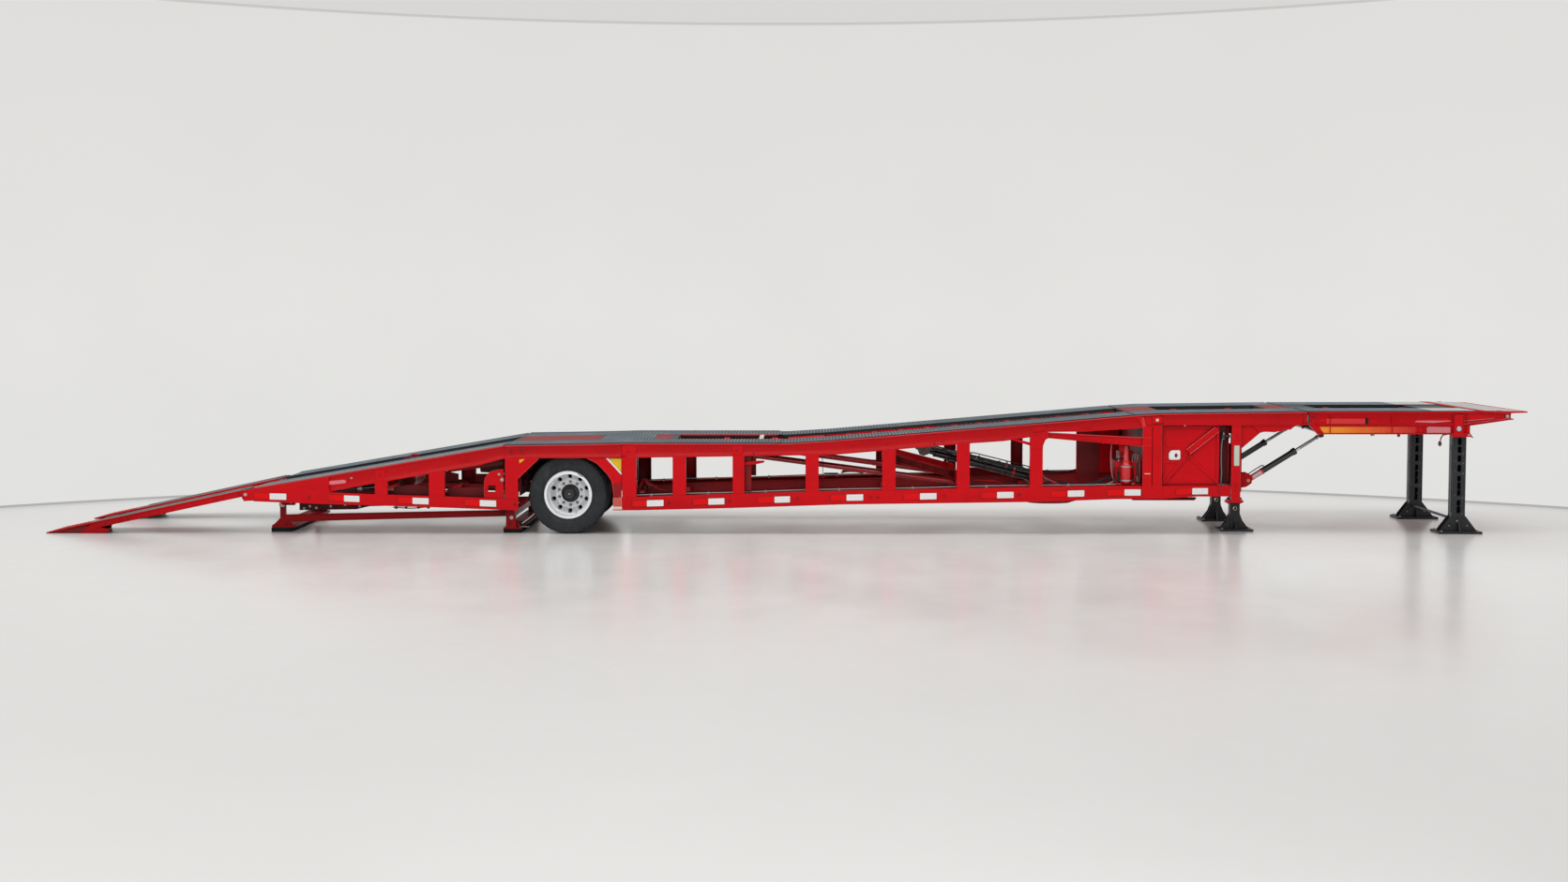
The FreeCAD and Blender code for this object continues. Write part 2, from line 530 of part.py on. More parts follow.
# ======================================================== lift arms and brackets
arms = []
for s in (-1, 1):
    one = [cyl_ab((-390, 943), (2160, 607), s * 760, 34),
           box(-440, -360, s * 715, s * 805, 880, 1086),
           prism([(2140, 505), (2230, 505), (2230, 720), (2140, 760)], s * 625, s * 805),
           prism([(1380, 945), (2150, 745), (2150, 640), (1380, 850)], s * 640, s * 652),
           prism([(1380, 945), (1380, 925), (2150, 725), (2150, 745)], s * 640, s * 690),
           prism([(1380, 870), (1380, 850), (2150, 640), (2150, 660)], s * 640, s * 690),
           box(1380, 1400, s * 640, s * 780, 690, 945)]
    arms.append(fuse(one))
save("brace_arms", arms)

clev = []
for s in (-1, 1):
    for d in (-1, 1):
        yc = s * LCYL_Y + d * 46
        clev.append(prism([(LCYL_LUG[0] - 60, 520), (LCYL_LUG[0] - 40, 640), (LCYL_LUG[0] + 40, 650),
                           (LCYL_LUG[0] + 150, 520)], yc - 7, yc + 7))
    clev.append(cyl_y(LCYL_LUG[0], LCYL_LUG[1], 20, s * LCYL_Y - 53, s * LCYL_Y + 53))
clev.append(box(3226, 3436, -1165, 1165, 470, 520))
save("lift_clevises", fuse(clev))


def cylinder_pair(lug, eye, s, yc, r_barrel, r_rod, frac, pin_r, eye_r, w):
    """Barrel from its lug pin and rod to its eye, as two separate solids."""
    n = math.hypot(eye[0] - lug[0], eye[1] - lug[1])
    lb = n * frac
    y = s * yc
    barrel = cyl_ab(lug, eye, y, r_barrel, 62, lb)
    end = cyl_y(lug[0], lug[1], eye_r, y - w, y + w)
    neck = cyl_ab(lug, eye, y, r_barrel * 0.62, 20, 70)
    collar = cyl_ab(lug, eye, y, r_barrel + 7, lb - 46, lb)
    b = fuse([barrel, end, neck, collar])
    b = b.cut(cyl_y(lug[0], lug[1], pin_r + RUN_FIT, y - w - 5, y + w + 5))
    b = b.cut(cyl_ab(lug, eye, y, r_rod + RUN_FIT, n * 0.17, lb + 5))
    rod = cyl_ab(lug, eye, y, r_rod, n * 0.30, n - eye_r * 0.5)
    re = cyl_y(eye[0], eye[1], eye_r, y - w * 0.7, y + w * 0.7)
    rod = fuse([rod, re])
    rod = rod.cut(cyl_y(eye[0], eye[1], pin_r + 6, y - w - 5, y + w + 5))
    return b, rod


for s, nm in ((-1, "right"), (1, "left")):
    b, r = cylinder_pair(LCYL_LUG, LCYL_EYE, s, LCYL_Y, 46, 27, 0.62, 20, 36, 34)
    save("lift_barrel_" + nm, b)
    save("lift_rod_" + nm, r)
    b, r = cylinder_pair(NCYL_LUG, NCYL_EYE, s, NCYL_Y, 35, 19, 0.66, 18, 34, 34)
    save("nose_barrel_" + nm, b)
    save("nose_rod_" + nm, r)

# ======================================================== short landing legs
for s, nm in ((-1, "right"), (1, "left")):
    w = LEG_W / 2
    y = s * LEG_Y
    tube = box(LEG_X - 60, LEG_X + 60, y - w, y + w, 30, 800)
    tube = tube.cut(box(LEG_X - 52, LEG_X + 52, y - w + 8, y + w - 8, 40, 810))
    tube = tube.cut(cyl_y(LEG_X, 273, 17, y - 90, y + 90))
    foot = prism([(LEG_X - 205, 0), (LEG_X + 205, 0), (LEG_X + 205, 22), (LEG_X - 205, 22)], y - 200, y + 200)
    g = []
    for d in (-1, 1):
        g.append(prism([(LEG_X - 60, 22), (LEG_X - 60, 210), (LEG_X - 95, 120), (LEG_X - 170, 22)], y + d * 50 - 6, y + d * 50 + 6))
        g.append(prism([(LEG_X + 60, 22), (LEG_X + 60, 210), (LEG_X + 95, 120), (LEG_X + 170, 22)], y + d * 50 - 6, y + d * 50 + 6))
    g.append(prism_x([(y - 60, 22), (y - 60, 200), (y - 90, 110), (y - 160, 22)], LEG_X - 8, LEG_X + 8))
    g.append(prism_x([(y + 60, 22), (y + 60, 200), (y + 90, 110), (y + 160, 22)], LEG_X - 8, LEG_X + 8))
    save("landing_leg_" + nm, fuse([tube, foot, box(LEG_X - 60, LEG_X + 60, y - w, y + w, 22, 42)] + g))

# ======================================================== nose section
ng_top = [(6398, 1502), (8440, 1507)]


def make_nose_girder():
    outer = [(6398, 1502), (8440, 1507), (8839, 1489), (8839, 1410), (8350, 1338), (8350, 1232), (6509, 1232),
             (6412, 1330), (6412, 1440), (6398, 1460)]
    web = prism(outer, -UP_WEB_OUT, -UP_WEB_OUT + WEB_T)
    ftop = prism([(6398, 1502), (8440, 1507), (8839, 1489), (8839, 1475), (8440, 1493), (6398, 1488)], -1250, -1186)
    bot = [(6412, 1344), (6412, 1330), (6509, 1232), (8350, 1232), (8350, 1246), (6515, 1246), (6424, 1338)]
    fbot = prism(bot, -1250, -1186)
    bevel = prism([(8350, 1338), (8839, 1410), (8839, 1423), (8350, 1351)], -1250, -1186)
    stiff = [box(x, x + 10, -1250, -1186, 1240, 1496) for x in (6650, 7400, 8130, 8300)]
    rearp = box(6412, 6422, -1250, -1186, 1338, 1494)
    return fuse([web, ftop, fbot, bevel, rearp] + stiff)


gd = make_nose_girder()
save("nose_girders", [gd, mirror(gd)])
ncross = []
for x0, x1, z0, z1 in ((6960, 7020, 1246, 1481), (7950, 8010, 1246, 1481)):
    ncross.append(box(x0, x1, -1228, 1228, z0, z1))
ncross.append(box(8790, 8839, -1186, 1186, 1420, 1474))
# the rear member carries the pivot eyes
rear_m = [box(6560, 6640, -1228, 1228, 1300, 1476)]
for s in (-1, 1):
    rear_m.append(prism([(NOSE_X, NOSE_Z - 34), (6570, NOSE_Z - 34), (6570, NOSE_Z + 34), (NOSE_X, NOSE_Z + 34)],
                        s * 1114, s * 1154))
    rear_m.append(cyl_y(NOSE_X, NOSE_Z, 34, s * 1114, s * 1154))
rear_m = fuse(rear_m).cut(cyl_y(NOSE_X, NOSE_Z, NOSE_PIN_R + RUN_FIT, -1200, 1200))
ncross.append(rear_m)
# the front member carries the sleeves of the tall legs
front_m = [box(8397, 8460, -1228, 1228, 1374, 1470)]
for s in (-1, 1):
    y = s * FLEG_Y
    o = box(FLEG_X - 93, FLEG_X + 93, y - 93, y + 93, 1205, 1440)
    front_m.append(o.cut(box(FLEG_X - 85.5, FLEG_X + 85.5, y - 85.5, y + 85.5, 1100, 1430)))
ncross.append(fuse(front_m))
save("nose_cross_members", ncross)
nd = [prism([(6400, 1482), (8440, 1481), (8440, 1515), (6400, 1510)], s * TRACK_IN, s * TRACK_OUT) for s in (-1, 1)]
for x0, x1 in ((6400, 6700), (8000, 8440)):
    nd.append(box(x0, x1, -TRACK_IN + SEAM, TRACK_IN - SEAM, 1482, 1508))
tip = prism([(8446, 1510), (8446, 1521), (NOSE_END_X, 1511), (NOSE_END_X, 1497), (8839, 1490)], -1250, 1250)
save("nose_deck", nd)
save("nose_tip_plate", tip)
cpl = [box(7020, 7950, s * 470 - 30, s * 470 + 30, 1232, 1400) for s in (-1, 1)]
cpl.append(box(6900, 8060, -520, 520, COUPLER_Z, 1232))
save("coupler_plate", fuse(cpl))
save("kingpin", cyl_z(KINGPIN_X, 0, KINGPIN_R, COUPLER_Z - KINGPIN_L, COUPLER_Z))

# nose pivot pins in their plates at the end of the fixed frame
pins = []
for s in (-1, 1):
    ear = [(6330, 1372), (6415, 1402), (6415, 1466), (6378, 1474), (6330, 1474)]
    pins.append(fuse([cyl_y(NOSE_X, NOSE_Z, NOSE_PIN_R, s * 1088, s * 1180),
                      prism(ear, s * 1088, s * 1108), prism(ear, s * 1160, s * 1180)]))
save("nose_pivot_pins", pins)

# eye of the cylinder rods on a black cross bar
eb = [box(6600, 6666, -1186, 1186, 1262, 1300)]
for s in (-1, 1):
    for d in (-1, 1):
        yc = s * NCYL_Y + d * 46
        eb.append(prism([(NCYL_EYE[0] - 33, 1264), (NCYL_EYE[0] - 30, 1180), (NCYL_EYE[0] + 30, 1180),
                         (NCYL_EYE[0] + 33, 1264)], yc - 7, yc + 7))
    eb.append(cyl_y(NCYL_EYE[0], NCYL_EYE[1], 18, s * NCYL_Y - 53, s * NCYL_Y + 53))
save("nose_cylinder_bar", fuse(eb))

# ======================================================== tall front legs
FLEG_SLOTS = [  # height of the slot's middle, distance between its end centres
    (290, 40), (372, 26), (500, 30), (585, 44), (672, 26), (800, 40), (920, 34), (1030, 30), (1130, 40)]
legs = []
for s in (-1, 1):
    y = s * FLEG_Y
    w = FLEG_W / 2
    t = box(FLEG_X - w, FLEG_X + w, y - w, y + w, 30, 1300)
    t = t.cut(box(FLEG_X - w + 8, FLEG_X + w - 8, y - w + 8, y + w - 8, 40, 1310))
    for z, h in FLEG_SLOTS:
        e, f = h / 2 + 10, h / 2 + 24
        t = t.cut(prism([(FLEG_X - 24, z - e), (FLEG_X - 12, z - f), (FLEG_X + 12, z - f), (FLEG_X + 24, z - e),
                         (FLEG_X + 24, z + e), (FLEG_X + 12, z + f), (FLEG_X - 12, z + f), (FLEG_X - 24, z + e)],
                        y - 120, y + 120))
    ft = box(FLEG_X - 265, FLEG_X + 265, y - 190, y + 190, 0, 24)
    g = []
    for d in (-1, 1):
        for e in (-1, 1):
            g.append(prism([(FLEG_X + e * w, 24), (FLEG_X + e * w, 230), (FLEG_X + e * (w + 40), 120),
                            (FLEG_X + e * (w + 150), 24)], y + d * 66 - 6, y + d * 66 + 6))
        g.append(prism_x([(y + d * w, 24), (y + d * w, 230), (y + d * (w + 30), 120), (y + d * (w + 90), 24)],
                         FLEG_X - 8, FLEG_X + 8))
    legs.append(fuse([t, ft, box(FLEG_X - w, FLEG_X + w, y - w, y + w, 24, 44)] + g))
tie = cyl_y(FLEG_X - 40, 170, 16, -FLEG_Y + FLEG_W / 2 - 4, FLEG_Y - FLEG_W / 2 + 4)
save("front_legs", fuse(legs + [tie]))

# ======================================================== lamps
lamps = []
for s in (-1, 1):
    lamps.append(box(5497, 5558, s * 1250, s * 1254, 850, 1095))
    lamps.append(box(-2062, -1959, s * 1236, s * 1249, 340, 450))
    lamps.append(box(-6452, -6440, s * 200, s * 480, 440, 490))
save("lamps", lamps)

tot = 0
for k, (n, v) in sorted(NODES.items()):
    tot += v
    print("%-26s solids %2d  volume %.4f m3" % (k, n, v / 1e9))
print("nodes", len(NODES), "total m3", round(tot / 1e9, 3))
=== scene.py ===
import bpy, bmesh, math, json, random
from mathutils import Vector, Matrix, Quaternion


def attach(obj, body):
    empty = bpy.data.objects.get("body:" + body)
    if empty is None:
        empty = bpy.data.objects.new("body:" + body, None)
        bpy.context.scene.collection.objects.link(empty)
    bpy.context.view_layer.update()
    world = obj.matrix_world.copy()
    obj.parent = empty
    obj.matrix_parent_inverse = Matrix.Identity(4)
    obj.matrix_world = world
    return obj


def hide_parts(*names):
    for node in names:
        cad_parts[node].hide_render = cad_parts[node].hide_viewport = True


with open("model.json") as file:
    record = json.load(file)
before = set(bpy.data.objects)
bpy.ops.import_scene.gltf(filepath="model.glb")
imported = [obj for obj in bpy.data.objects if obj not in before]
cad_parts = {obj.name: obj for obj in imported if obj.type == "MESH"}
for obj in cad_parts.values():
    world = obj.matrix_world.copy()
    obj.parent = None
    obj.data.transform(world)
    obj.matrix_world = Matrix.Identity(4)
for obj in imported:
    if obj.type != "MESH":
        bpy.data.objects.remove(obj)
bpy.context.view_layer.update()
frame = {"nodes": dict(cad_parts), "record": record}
NODES = frame["nodes"]
S = (-1, 1)                       # right side (-Y), left side (+Y)


# ------------------------------------------------------------------ materials
def lin(r, g, b):
    out = []
    for c in (r, g, b):
        c /= 255.0
        out.append(c / 12.92 if c <= 0.04045 else ((c + 0.055) / 1.055) ** 2.4)
    return tuple(out) + (1.0,)


def mul(c, k):
    return (min(1, c[0] * k), min(1, c[1] * k), min(1, c[2] * k), 1.0)


class Mat:
    """A small node-tree writer: every finish is object-space procedural."""
    def __init__(self, name):
        self.m = bpy.data.materials.new(name)
        self.m.use_nodes = True
        self.t = self.m.node_tree
        self.t.nodes.clear()
        self.out = self.t.nodes.new("ShaderNodeOutputMaterial")
        self.p = self.t.nodes.new("ShaderNodeBsdfPrincipled")
        self.t.links.new(self.p.outputs[0], self.out.inputs[0])
        self.co = self.t.nodes.new("ShaderNodeTexCoord").outputs["Object"]

    def n(self, kind, **kw):
        node = self.t.nodes.new("ShaderNode" + kind)
        for k, v in kw.items():
            setattr(node, k, v)
        return node

    def link(self, a, b):
        self.t.links.new(a, b)

    def mapped(self, scale=(1, 1, 1), rot=(0, 0, 0), src=None):
        m = self.n("Mapping")
        m.inputs["Scale"].default_value = scale
        m.inputs["Rotation"].default_value = rot
        self.link(src or self.co, m.inputs[0])
        return m.outputs[0]

    def noise(self, scale, detail=3.0, rough=0.5, src=None, dist=0.0):
        t = self.n("TexNoise")
        t.inputs["Scale"].default_value = scale
        t.inputs["Detail"].default_value = detail
        t.inputs["Roughness"].default_value = rough
        t.inputs["Distortion"].default_value = dist
        self.link(src or self.co, t.inputs["Vector"])
        return t.outputs["Fac"]

    def ramp(self, fac, stops, interp="LINEAR"):
        r = self.n("ValToRGB")
        r.color_ramp.interpolation = interp
        while len(r.color_ramp.elements) < len(stops):
            r.color_ramp.elements.new(0.5)
        for e, (p, c) in zip(r.color_ramp.elements, stops):
            e.position, e.color = p, c
        self.link(fac, r.inputs[0])
        return r.outputs[0]

    def rng(self, fac, a, b, c, d):
        r = self.n("MapRange")
        r.inputs[1].default_value, r.inputs[2].default_value = a, b
        r.inputs[3].default_value, r.inputs[4].default_value = c, d
        self.link(fac, r.inputs[0])
        return r.outputs[0]

    def mix(self, fac, a, b, blend="MIX"):
        x = self.n("Mix", data_type="RGBA", blend_type=blend)
        if isinstance(fac, (int, float)):
            x.inputs[0].default_value = fac
        else:
            self.link(fac, x.inputs[0])
        for k, v in ((6, a), (7, b)):
            if isinstance(v, tuple):
                x.inputs[k].default_value = v
            else:
                self.link(v, x.inputs[k])
        return x.outputs[2]

    def math(self, op, a, b=None):
        x = self.n("Math", operation=op)
        for k, v in enumerate((a, b)):
            if v is None:
                continue
            if isinstance(v, (int, float)):
                x.inputs[k].default_value = v
            else:
                self.link(v, x.inputs[k])
        return x.outputs[0]

    def sep(self, src=None):
        s = self.n("SeparateXYZ")
        self.link(src or self.co, s.inputs[0])
        return s.outputs

    def bump(self, height, strength, distance=0.002, normal=None):
        b = self.n("Bump")
        b.inputs["Strength"].default_value = strength
        b.inputs["Distance"].default_value = distance
        self.link(height, b.inputs["Height"])
        if normal is not None:
            self.link(normal, b.inputs["Normal"])
        return b.outputs[0]

    def set(self, **kw):
        names = {"base": "Base Color", "rough": "Roughness", "metal": "Metallic", "normal": "Normal",
                 "coat": "Coat Weight", "coat_rough": "Coat Roughness", "spec": "Specular IOR Level",
                 "alpha": "Alpha", "emit": "Emission Color", "emit_k": "Emission Strength", "aniso": "Anisotropic",
                 "sheen": "Sheen Weight"}
        for k, v in kw.items():
            sock = self.p.inputs[names[k]]
            if isinstance(v, (int, float)) or isinstance(v, tuple):
                sock.default_value = v
            else:
                self.link(v, sock)
        return self


def edges(m, radius=0.003):
    """Rounded edge normal and a mask that is 1 along edges."""
    b = m.n("Bevel")
    b.samples = 3
    b.inputs["Radius"].default_value = radius
    g = m.n("NewGeometry")
    d = m.n("VectorMath", operation="DOT_PRODUCT")
    m.link(b.outputs[0], d.inputs[0])
    m.link(g.outputs["Normal"], d.inputs[1])
    return b.outputs[0], m.rng(d.outputs["Value"], 0.80, 0.995, 1.0, 0.0)


def painted(name, base, rough=0.32, coat=0.35, var=0.10, dust=None, dust_amt=0.25, peel=0.05, spec=0.5, chips=None,
            edge=None, edge_amt=0.5, coat_rough=0.08, spots=None):
    """Sprayed steel: slow tone drift, orange peel, thin dust, small chips, worn edges, and painted shade deep inside
    the frame and on level faces.
    """
    m = Mat(name)
    slow = m.noise(0.9, 4, 0.55)
    c = m.ramp(slow, [(0.30, mul(base, 1 - var)), (0.70, mul(base, 1 + var))])
    if spots:
        c = m.mix(m.rng(m.noise(2.6, 6, 0.6, src=m.mapped((1.0, 1.0, 1.6))), 0.50, 0.72, 0.0, 0.55), c, spots)
    if dust:
        streak = m.noise(3.2, 6, 0.62, src=m.mapped((1.0, 1.0, 0.35)))
        c = m.mix(m.rng(streak, 0.52, 0.80, 0.0, dust_amt), c, dust)
    if chips:
        chip = m.noise(46.0, 3, 0.6)
        c = m.mix(m.rng(chip, 0.735, 0.745, 0.0, 0.85), c, chips)
    rounded, mask = edges(m)
    if edge:
        worn = m.math("MULTIPLY", mask, m.rng(m.noise(34.0, 4, 0.65), 0.35, 0.65, 0.25, edge_amt))
        c = m.mix(worn, c, edge)
    # painted shade: the colour darkens to a tenth of the base where ambient occlusion finds the surface enclosed, deep
    # inside the frame
    occlusion_shade = m.n("AmbientOcclusion")
    occlusion_shade.samples = 6
    occlusion_shade.inputs["Distance"].default_value = 0.75
    deep = m.rng(occlusion_shade.outputs["AO"], 0.30, 0.78, 0.86, 0.0)
    c = m.mix(deep, c, mul(base, 0.10))
    grime = m.noise(7.0, 5, 0.6)
    rr = m.rng(grime, 0.3, 0.75, rough * 0.8, min(1, rough * 1.45))
    # level faces hold dust and walk wear, so they are matt; their colour is also darkened, painted shade on the top
    # faces
    g = m.n("NewGeometry")
    sx = m.n("SeparateXYZ")
    m.link(g.outputs["Normal"], sx.inputs[0])
    level = m.rng(sx.outputs[2], 0.60, 0.85, 0.0, 1.0)
    rr = m.math("MAXIMUM", rr, m.math("MULTIPLY", level, 0.88))
    c = m.mix(m.math("MULTIPLY", level, 0.35), c, mul(base, 0.35))
    m.set(base=c, rough=rr, coat=coat, coat_rough=coat_rough, spec=spec)
    m.set(normal=m.bump(m.noise(230.0, 2, 0.5), peel, 0.001, normal=rounded))
    return m.m


def steel(name, base, rough=0.35, metal=0.9, brushed=(1, 1, 1), var=0.12, scale=40.0, grain=0.08):
    m = Mat(name)
    g = m.noise(scale, 4, 0.6, src=m.mapped(brushed))
    blot = m.noise(5.0, 4, 0.6)
    c = m.ramp(blot, [(0.3, mul(base, 1 - var)), (0.7, mul(base, 1 + var))])
    m.set(base=c, metal=metal, rough=m.rng(g, 0.3, 0.7, rough * 0.75, min(1, rough * 1.35)))
    m.set(normal=m.bump(g, grain, 0.0008))
    return m.m


RED = lin(206, 9, 21)
mat_red = painted("finish_red_paint", RED, rough=0.32, coat=0.07, var=0.07, dust=lin(170, 36, 38), dust_amt=0.10,
                  chips=lin(112, 18, 20), spec=0.07, edge=lin(232, 48, 50), edge_amt=0.60, spots=lin(184, 8, 18))
# darker copy of the frame red for plates, rails, bolts and backings deep inside or recessed: painted shade
mat_red_shaded = painted("finish_red_painted_shade", lin(146, 8, 17), rough=0.42, coat=0.06, var=0.16, dust=lin(120, 58, 54), dust_amt=0.30,
                       chips=lin(70, 18, 18), spec=0.2, edge=lin(190, 40, 40), edge_amt=0.4, spots=lin(104, 8, 14))
mat_red_gloss = painted("finish_red_gloss", lin(210, 9, 22), rough=0.20, coat=0.55, var=0.06, dust=lin(190, 90, 84), dust_amt=0.12,
                        spec=0.4, coat_rough=0.05, edge=lin(234, 60, 58), edge_amt=0.4)
mat_black = painted("finish_black_paint", lin(38, 41, 44), rough=0.42, coat=0.12, var=0.18, dust=lin(98, 98, 96),
                    dust_amt=0.24, chips=lin(120, 118, 112), peel=0.12, spec=0.35, edge=lin(96, 100, 104), edge_amt=0.5)
mat_black_gloss = painted("finish_black_gloss", lin(16, 17, 19), rough=0.22, coat=0.6, var=0.2, dust=lin(70, 70, 70), dust_amt=0.15,
                          peel=0.04, spec=0.5, edge=lin(80, 84, 88), edge_amt=0.35, coat_rough=0.05)
mat_grey = painted("finish_grey_paint", lin(112, 116, 120), rough=0.45, coat=0.1, var=0.12, dust=lin(150, 148, 144), dust_amt=0.3,
                   peel=0.1, spec=0.35, edge=lin(170, 174, 178), edge_amt=0.5)
mat_white = painted("finish_white_plastic", lin(236, 237, 236), rough=0.3, coat=0.3, var=0.03, dust=lin(198, 196, 190), dust_amt=0.2,
                    peel=0.04, spec=0.4, edge=lin(250, 250, 250), edge_amt=0.3)
mat_yellow = painted("finish_yellow_mark", lin(228, 186, 16), rough=0.45, coat=0.1, var=0.08, dust=lin(120, 84, 30), dust_amt=0.75,
                     peel=0.1, spec=0.3, chips=lin(110, 50, 20), spots=lin(190, 150, 30))
mat_cream = painted("finish_cream_mark", lin(226, 214, 182), rough=0.5, coat=0.0, var=0.08, dust=lin(150, 130, 100), dust_amt=0.5, spec=0.3)
mat_brown = painted("finish_handle_brown", lin(128, 58, 50), rough=0.4, coat=0.2, var=0.15, dust=lin(90, 60, 54), dust_amt=0.3, spec=0.35)
mat_khaki = painted("finish_strap_khaki", lin(150, 136, 104), rough=0.85, coat=0.0, var=0.15, dust=lin(110, 98, 76), dust_amt=0.5, peel=0.5, spec=0.2)
# pale pink for hoses and small plates, also laid as thin strips that are painted highlights on lips and press marks
mat_pale_pink_and_highlight = painted("finish_pale_pink_and_painted_highlight", lin(214, 120, 128), rough=0.3, coat=0.3, var=0.05, dust=lin(200, 60, 66), dust_amt=0.35, spec=0.35)
mat_hose = painted("finish_hose_rubber", lin(22, 23, 25), rough=0.5, coat=0.1, var=0.2, dust=lin(70, 68, 66), dust_amt=0.3, peel=0.3, spec=0.4)
mat_gasket = painted("finish_gasket", lin(24, 20, 21), rough=0.7, coat=0.0, var=0.2, dust=lin(60, 50, 50), dust_amt=0.3, spec=0.2)


def tread_material(name, base, hi, rust):
    """Serrated walkway steel: dull zinc with blotchy tone, fine dark flecks and rust spots; a light copy goes on the
    bars, and near-black copies paint the shade in the pockets between them.
    """
    m = Mat(name)
    blot = m.noise(2.3, 5, 0.6)
    fine = m.noise(95.0, 3, 0.6)
    c = m.ramp(blot, [(0.25, mul(base, 0.72)), (0.55, base), (0.8, hi)])
    c = m.mix(m.rng(fine, 0.45, 0.75, 0.0, 0.5), c, mul(base, 0.5))
    c = m.mix(m.rng(m.noise(11.0, 6, 0.65), 0.66, 0.74, 0.0, 0.45), c, rust)
    m.set(base=c, metal=0.35, rough=m.rng(fine, 0.3, 0.7, 0.42, 0.72))
    m.set(normal=m.bump(fine, 0.35, 0.002))
    return m.m


mat_tread = tread_material("finish_deck_tread", lin(118, 134, 144), lin(168, 182, 190), lin(128, 84, 66))
# near-black copy of the tread steel for the deck plates under the bars: painted shade between the bars
mat_tread_base_shaded = tread_material("finish_deck_base_painted_shade", lin(26, 30, 33), lin(44, 50, 54), lin(60, 30, 26))
mat_rtread = tread_material("finish_ramp_tread", lin(92, 102, 110), lin(142, 152, 160), lin(112, 62, 56))
mat_rubberpad = painted("finish_rubber_pad", lin(26, 27, 28), rough=0.8, coat=0.0, var=0.2, dust=lin(92, 90, 86), dust_amt=0.35, peel=0.3, spec=0.3)


def tyre_material():
    m = Mat("finish_tyre")
    base = m.ramp(m.noise(4.0, 5, 0.6), [(0.3, lin(30, 33, 35)), (0.7, lin(44, 48, 50))])
    dust = m.rng(m.noise(9.0, 5, 0.65), 0.55, 0.8, 0.0, 0.35)
    m.set(base=m.mix(dust, base, lin(92, 92, 90)), rough=m.rng(m.noise(30.0, 3, 0.5), 0.3, 0.7, 0.62, 0.86), spec=0.35)
    m.set(normal=m.bump(m.noise(160.0, 3, 0.6), 0.25, 0.001))
    return m.m


mat_tyre = tyre_material()
mat_rim = steel("finish_rim_metal", lin(238, 240, 242), rough=0.34, metal=0.12, scale=60.0, grain=0.06, var=0.10)
mat_hub = painted("finish_hub_black", lin(24, 25, 26), rough=0.38, coat=0.2, var=0.2, dust=lin(80, 80, 78), dust_amt=0.25, peel=0.1)
mat_pin = steel("finish_pin_steel", lin(176, 176, 174), rough=0.36, metal=0.9, scale=70.0)
mat_chrome = steel("finish_rod_chrome", lin(205, 208, 212), rough=0.14, metal=1.0, scale=90.0, grain=0.02, var=0.03)
mat_zinc = steel("finish_zinc_bolt", lin(168, 170, 172), rough=0.42, metal=0.85, scale=80.0)


def lens_material(name, base, deep):
    """Moulded lens: prism flutes under a clear skin."""
    m = Mat(name)
    w = m.n("TexWave", wave_type="BANDS", bands_direction="Z")
    w.inputs["Scale"].default_value = 40.0
    m.link(m.co, w.inputs["Vector"])
    m.set(base=m.mix(m.rng(w.outputs["Fac"], 0, 1, 0.0, 1.0), base, deep), rough=m.rng(m.noise(20.0), 0.3, 0.7, 0.10, 0.2), coat=0.8, coat_rough=0.05)
    m.set(normal=m.bump(w.outputs["Fac"], 0.3, 0.002))
    return m.m


mat_lens = lens_material("finish_lamp_lens", lin(214, 224, 206), lin(176, 190, 170))
mat_lens_red = lens_material("finish_lamp_red", lin(226, 44, 22), lin(170, 12, 12))
mat_amber = lens_material("finish_lamp_amber", lin(240, 150, 30), lin(206, 92, 16))


def tape_material(name, a, b):
    """Retroreflective tape: a fine honeycomb of prism cells."""
    m = Mat(name)
    v = m.n("TexVoronoi", feature="DISTANCE_TO_EDGE")
    v.inputs["Scale"].default_value = 260.0
    m.link(m.co, v.inputs["Vector"])
    cell = m.rng(v.outputs["Distance"], 0.0, 0.12, 0.0, 1.0)
    m.set(base=m.mix(cell, b, a), rough=m.rng(m.noise(14.0, 4), 0.3, 0.7, 0.34, 0.50), coat=0.06, coat_rough=0.1, spec=0.10)
    m.set(normal=m.bump(cell, 0.12, 0.0006))
    return m.m


mat_tape_w = tape_material("finish_tape_white", lin(246, 246, 244), lin(206, 208, 208))
mat_tape_r = tape_material("finish_tape_red", lin(238, 4, 10), lin(196, 2, 8))

SLOT_MATS = {"red_paint": mat_red, "black_paint": mat_black, "deck_tread": mat_tread, "ramp_tread": mat_rtread,
             "rubber_pad": mat_rubberpad, "tyre": mat_tyre, "rim_metal": mat_rim, "hub_black": mat_hub,
             "pin_steel": mat_pin, "rod_chrome": mat_chrome, "lamp_lens": mat_lens}

# near-black tread copy for the open mid-deck centre and the joint covers: painted shade
mat_tread_shaded = tread_material("finish_centre_mesh_painted_shade", lin(38, 42, 46), lin(66, 70, 74), lin(60, 40, 34))
mat_tread_edge = painted("finish_track_edge", lin(94, 112, 122), rough=0.4, coat=0.1, var=0.14, dust=lin(150, 160, 164), dust_amt=0.4,
                         peel=0.1, spec=0.4, edge=lin(170, 186, 194), edge_amt=0.6, chips=lin(110, 40, 36))
mat_plate_pale = painted("finish_pale_plate", lin(186, 188, 186), rough=0.34, coat=0.15, var=0.08, dust=lin(140, 140, 138), dust_amt=0.4,
                         peel=0.1, spec=0.4, edge=lin(220, 220, 220), edge_amt=0.4, chips=lin(150, 60, 56))
mat_lens_marker = lens_material("finish_lamp_marker", lin(214, 58, 18), lin(176, 26, 14))
mat_pink_steel = steel("finish_pink_steel", lin(216, 170, 174), rough=0.28, metal=0.6, scale=60.0, grain=0.04, var=0.08)
mat_rod_dark = steel("finish_rod_dark", lin(150, 152, 158), rough=0.24, metal=0.85, scale=90.0, grain=0.02, var=0.08)
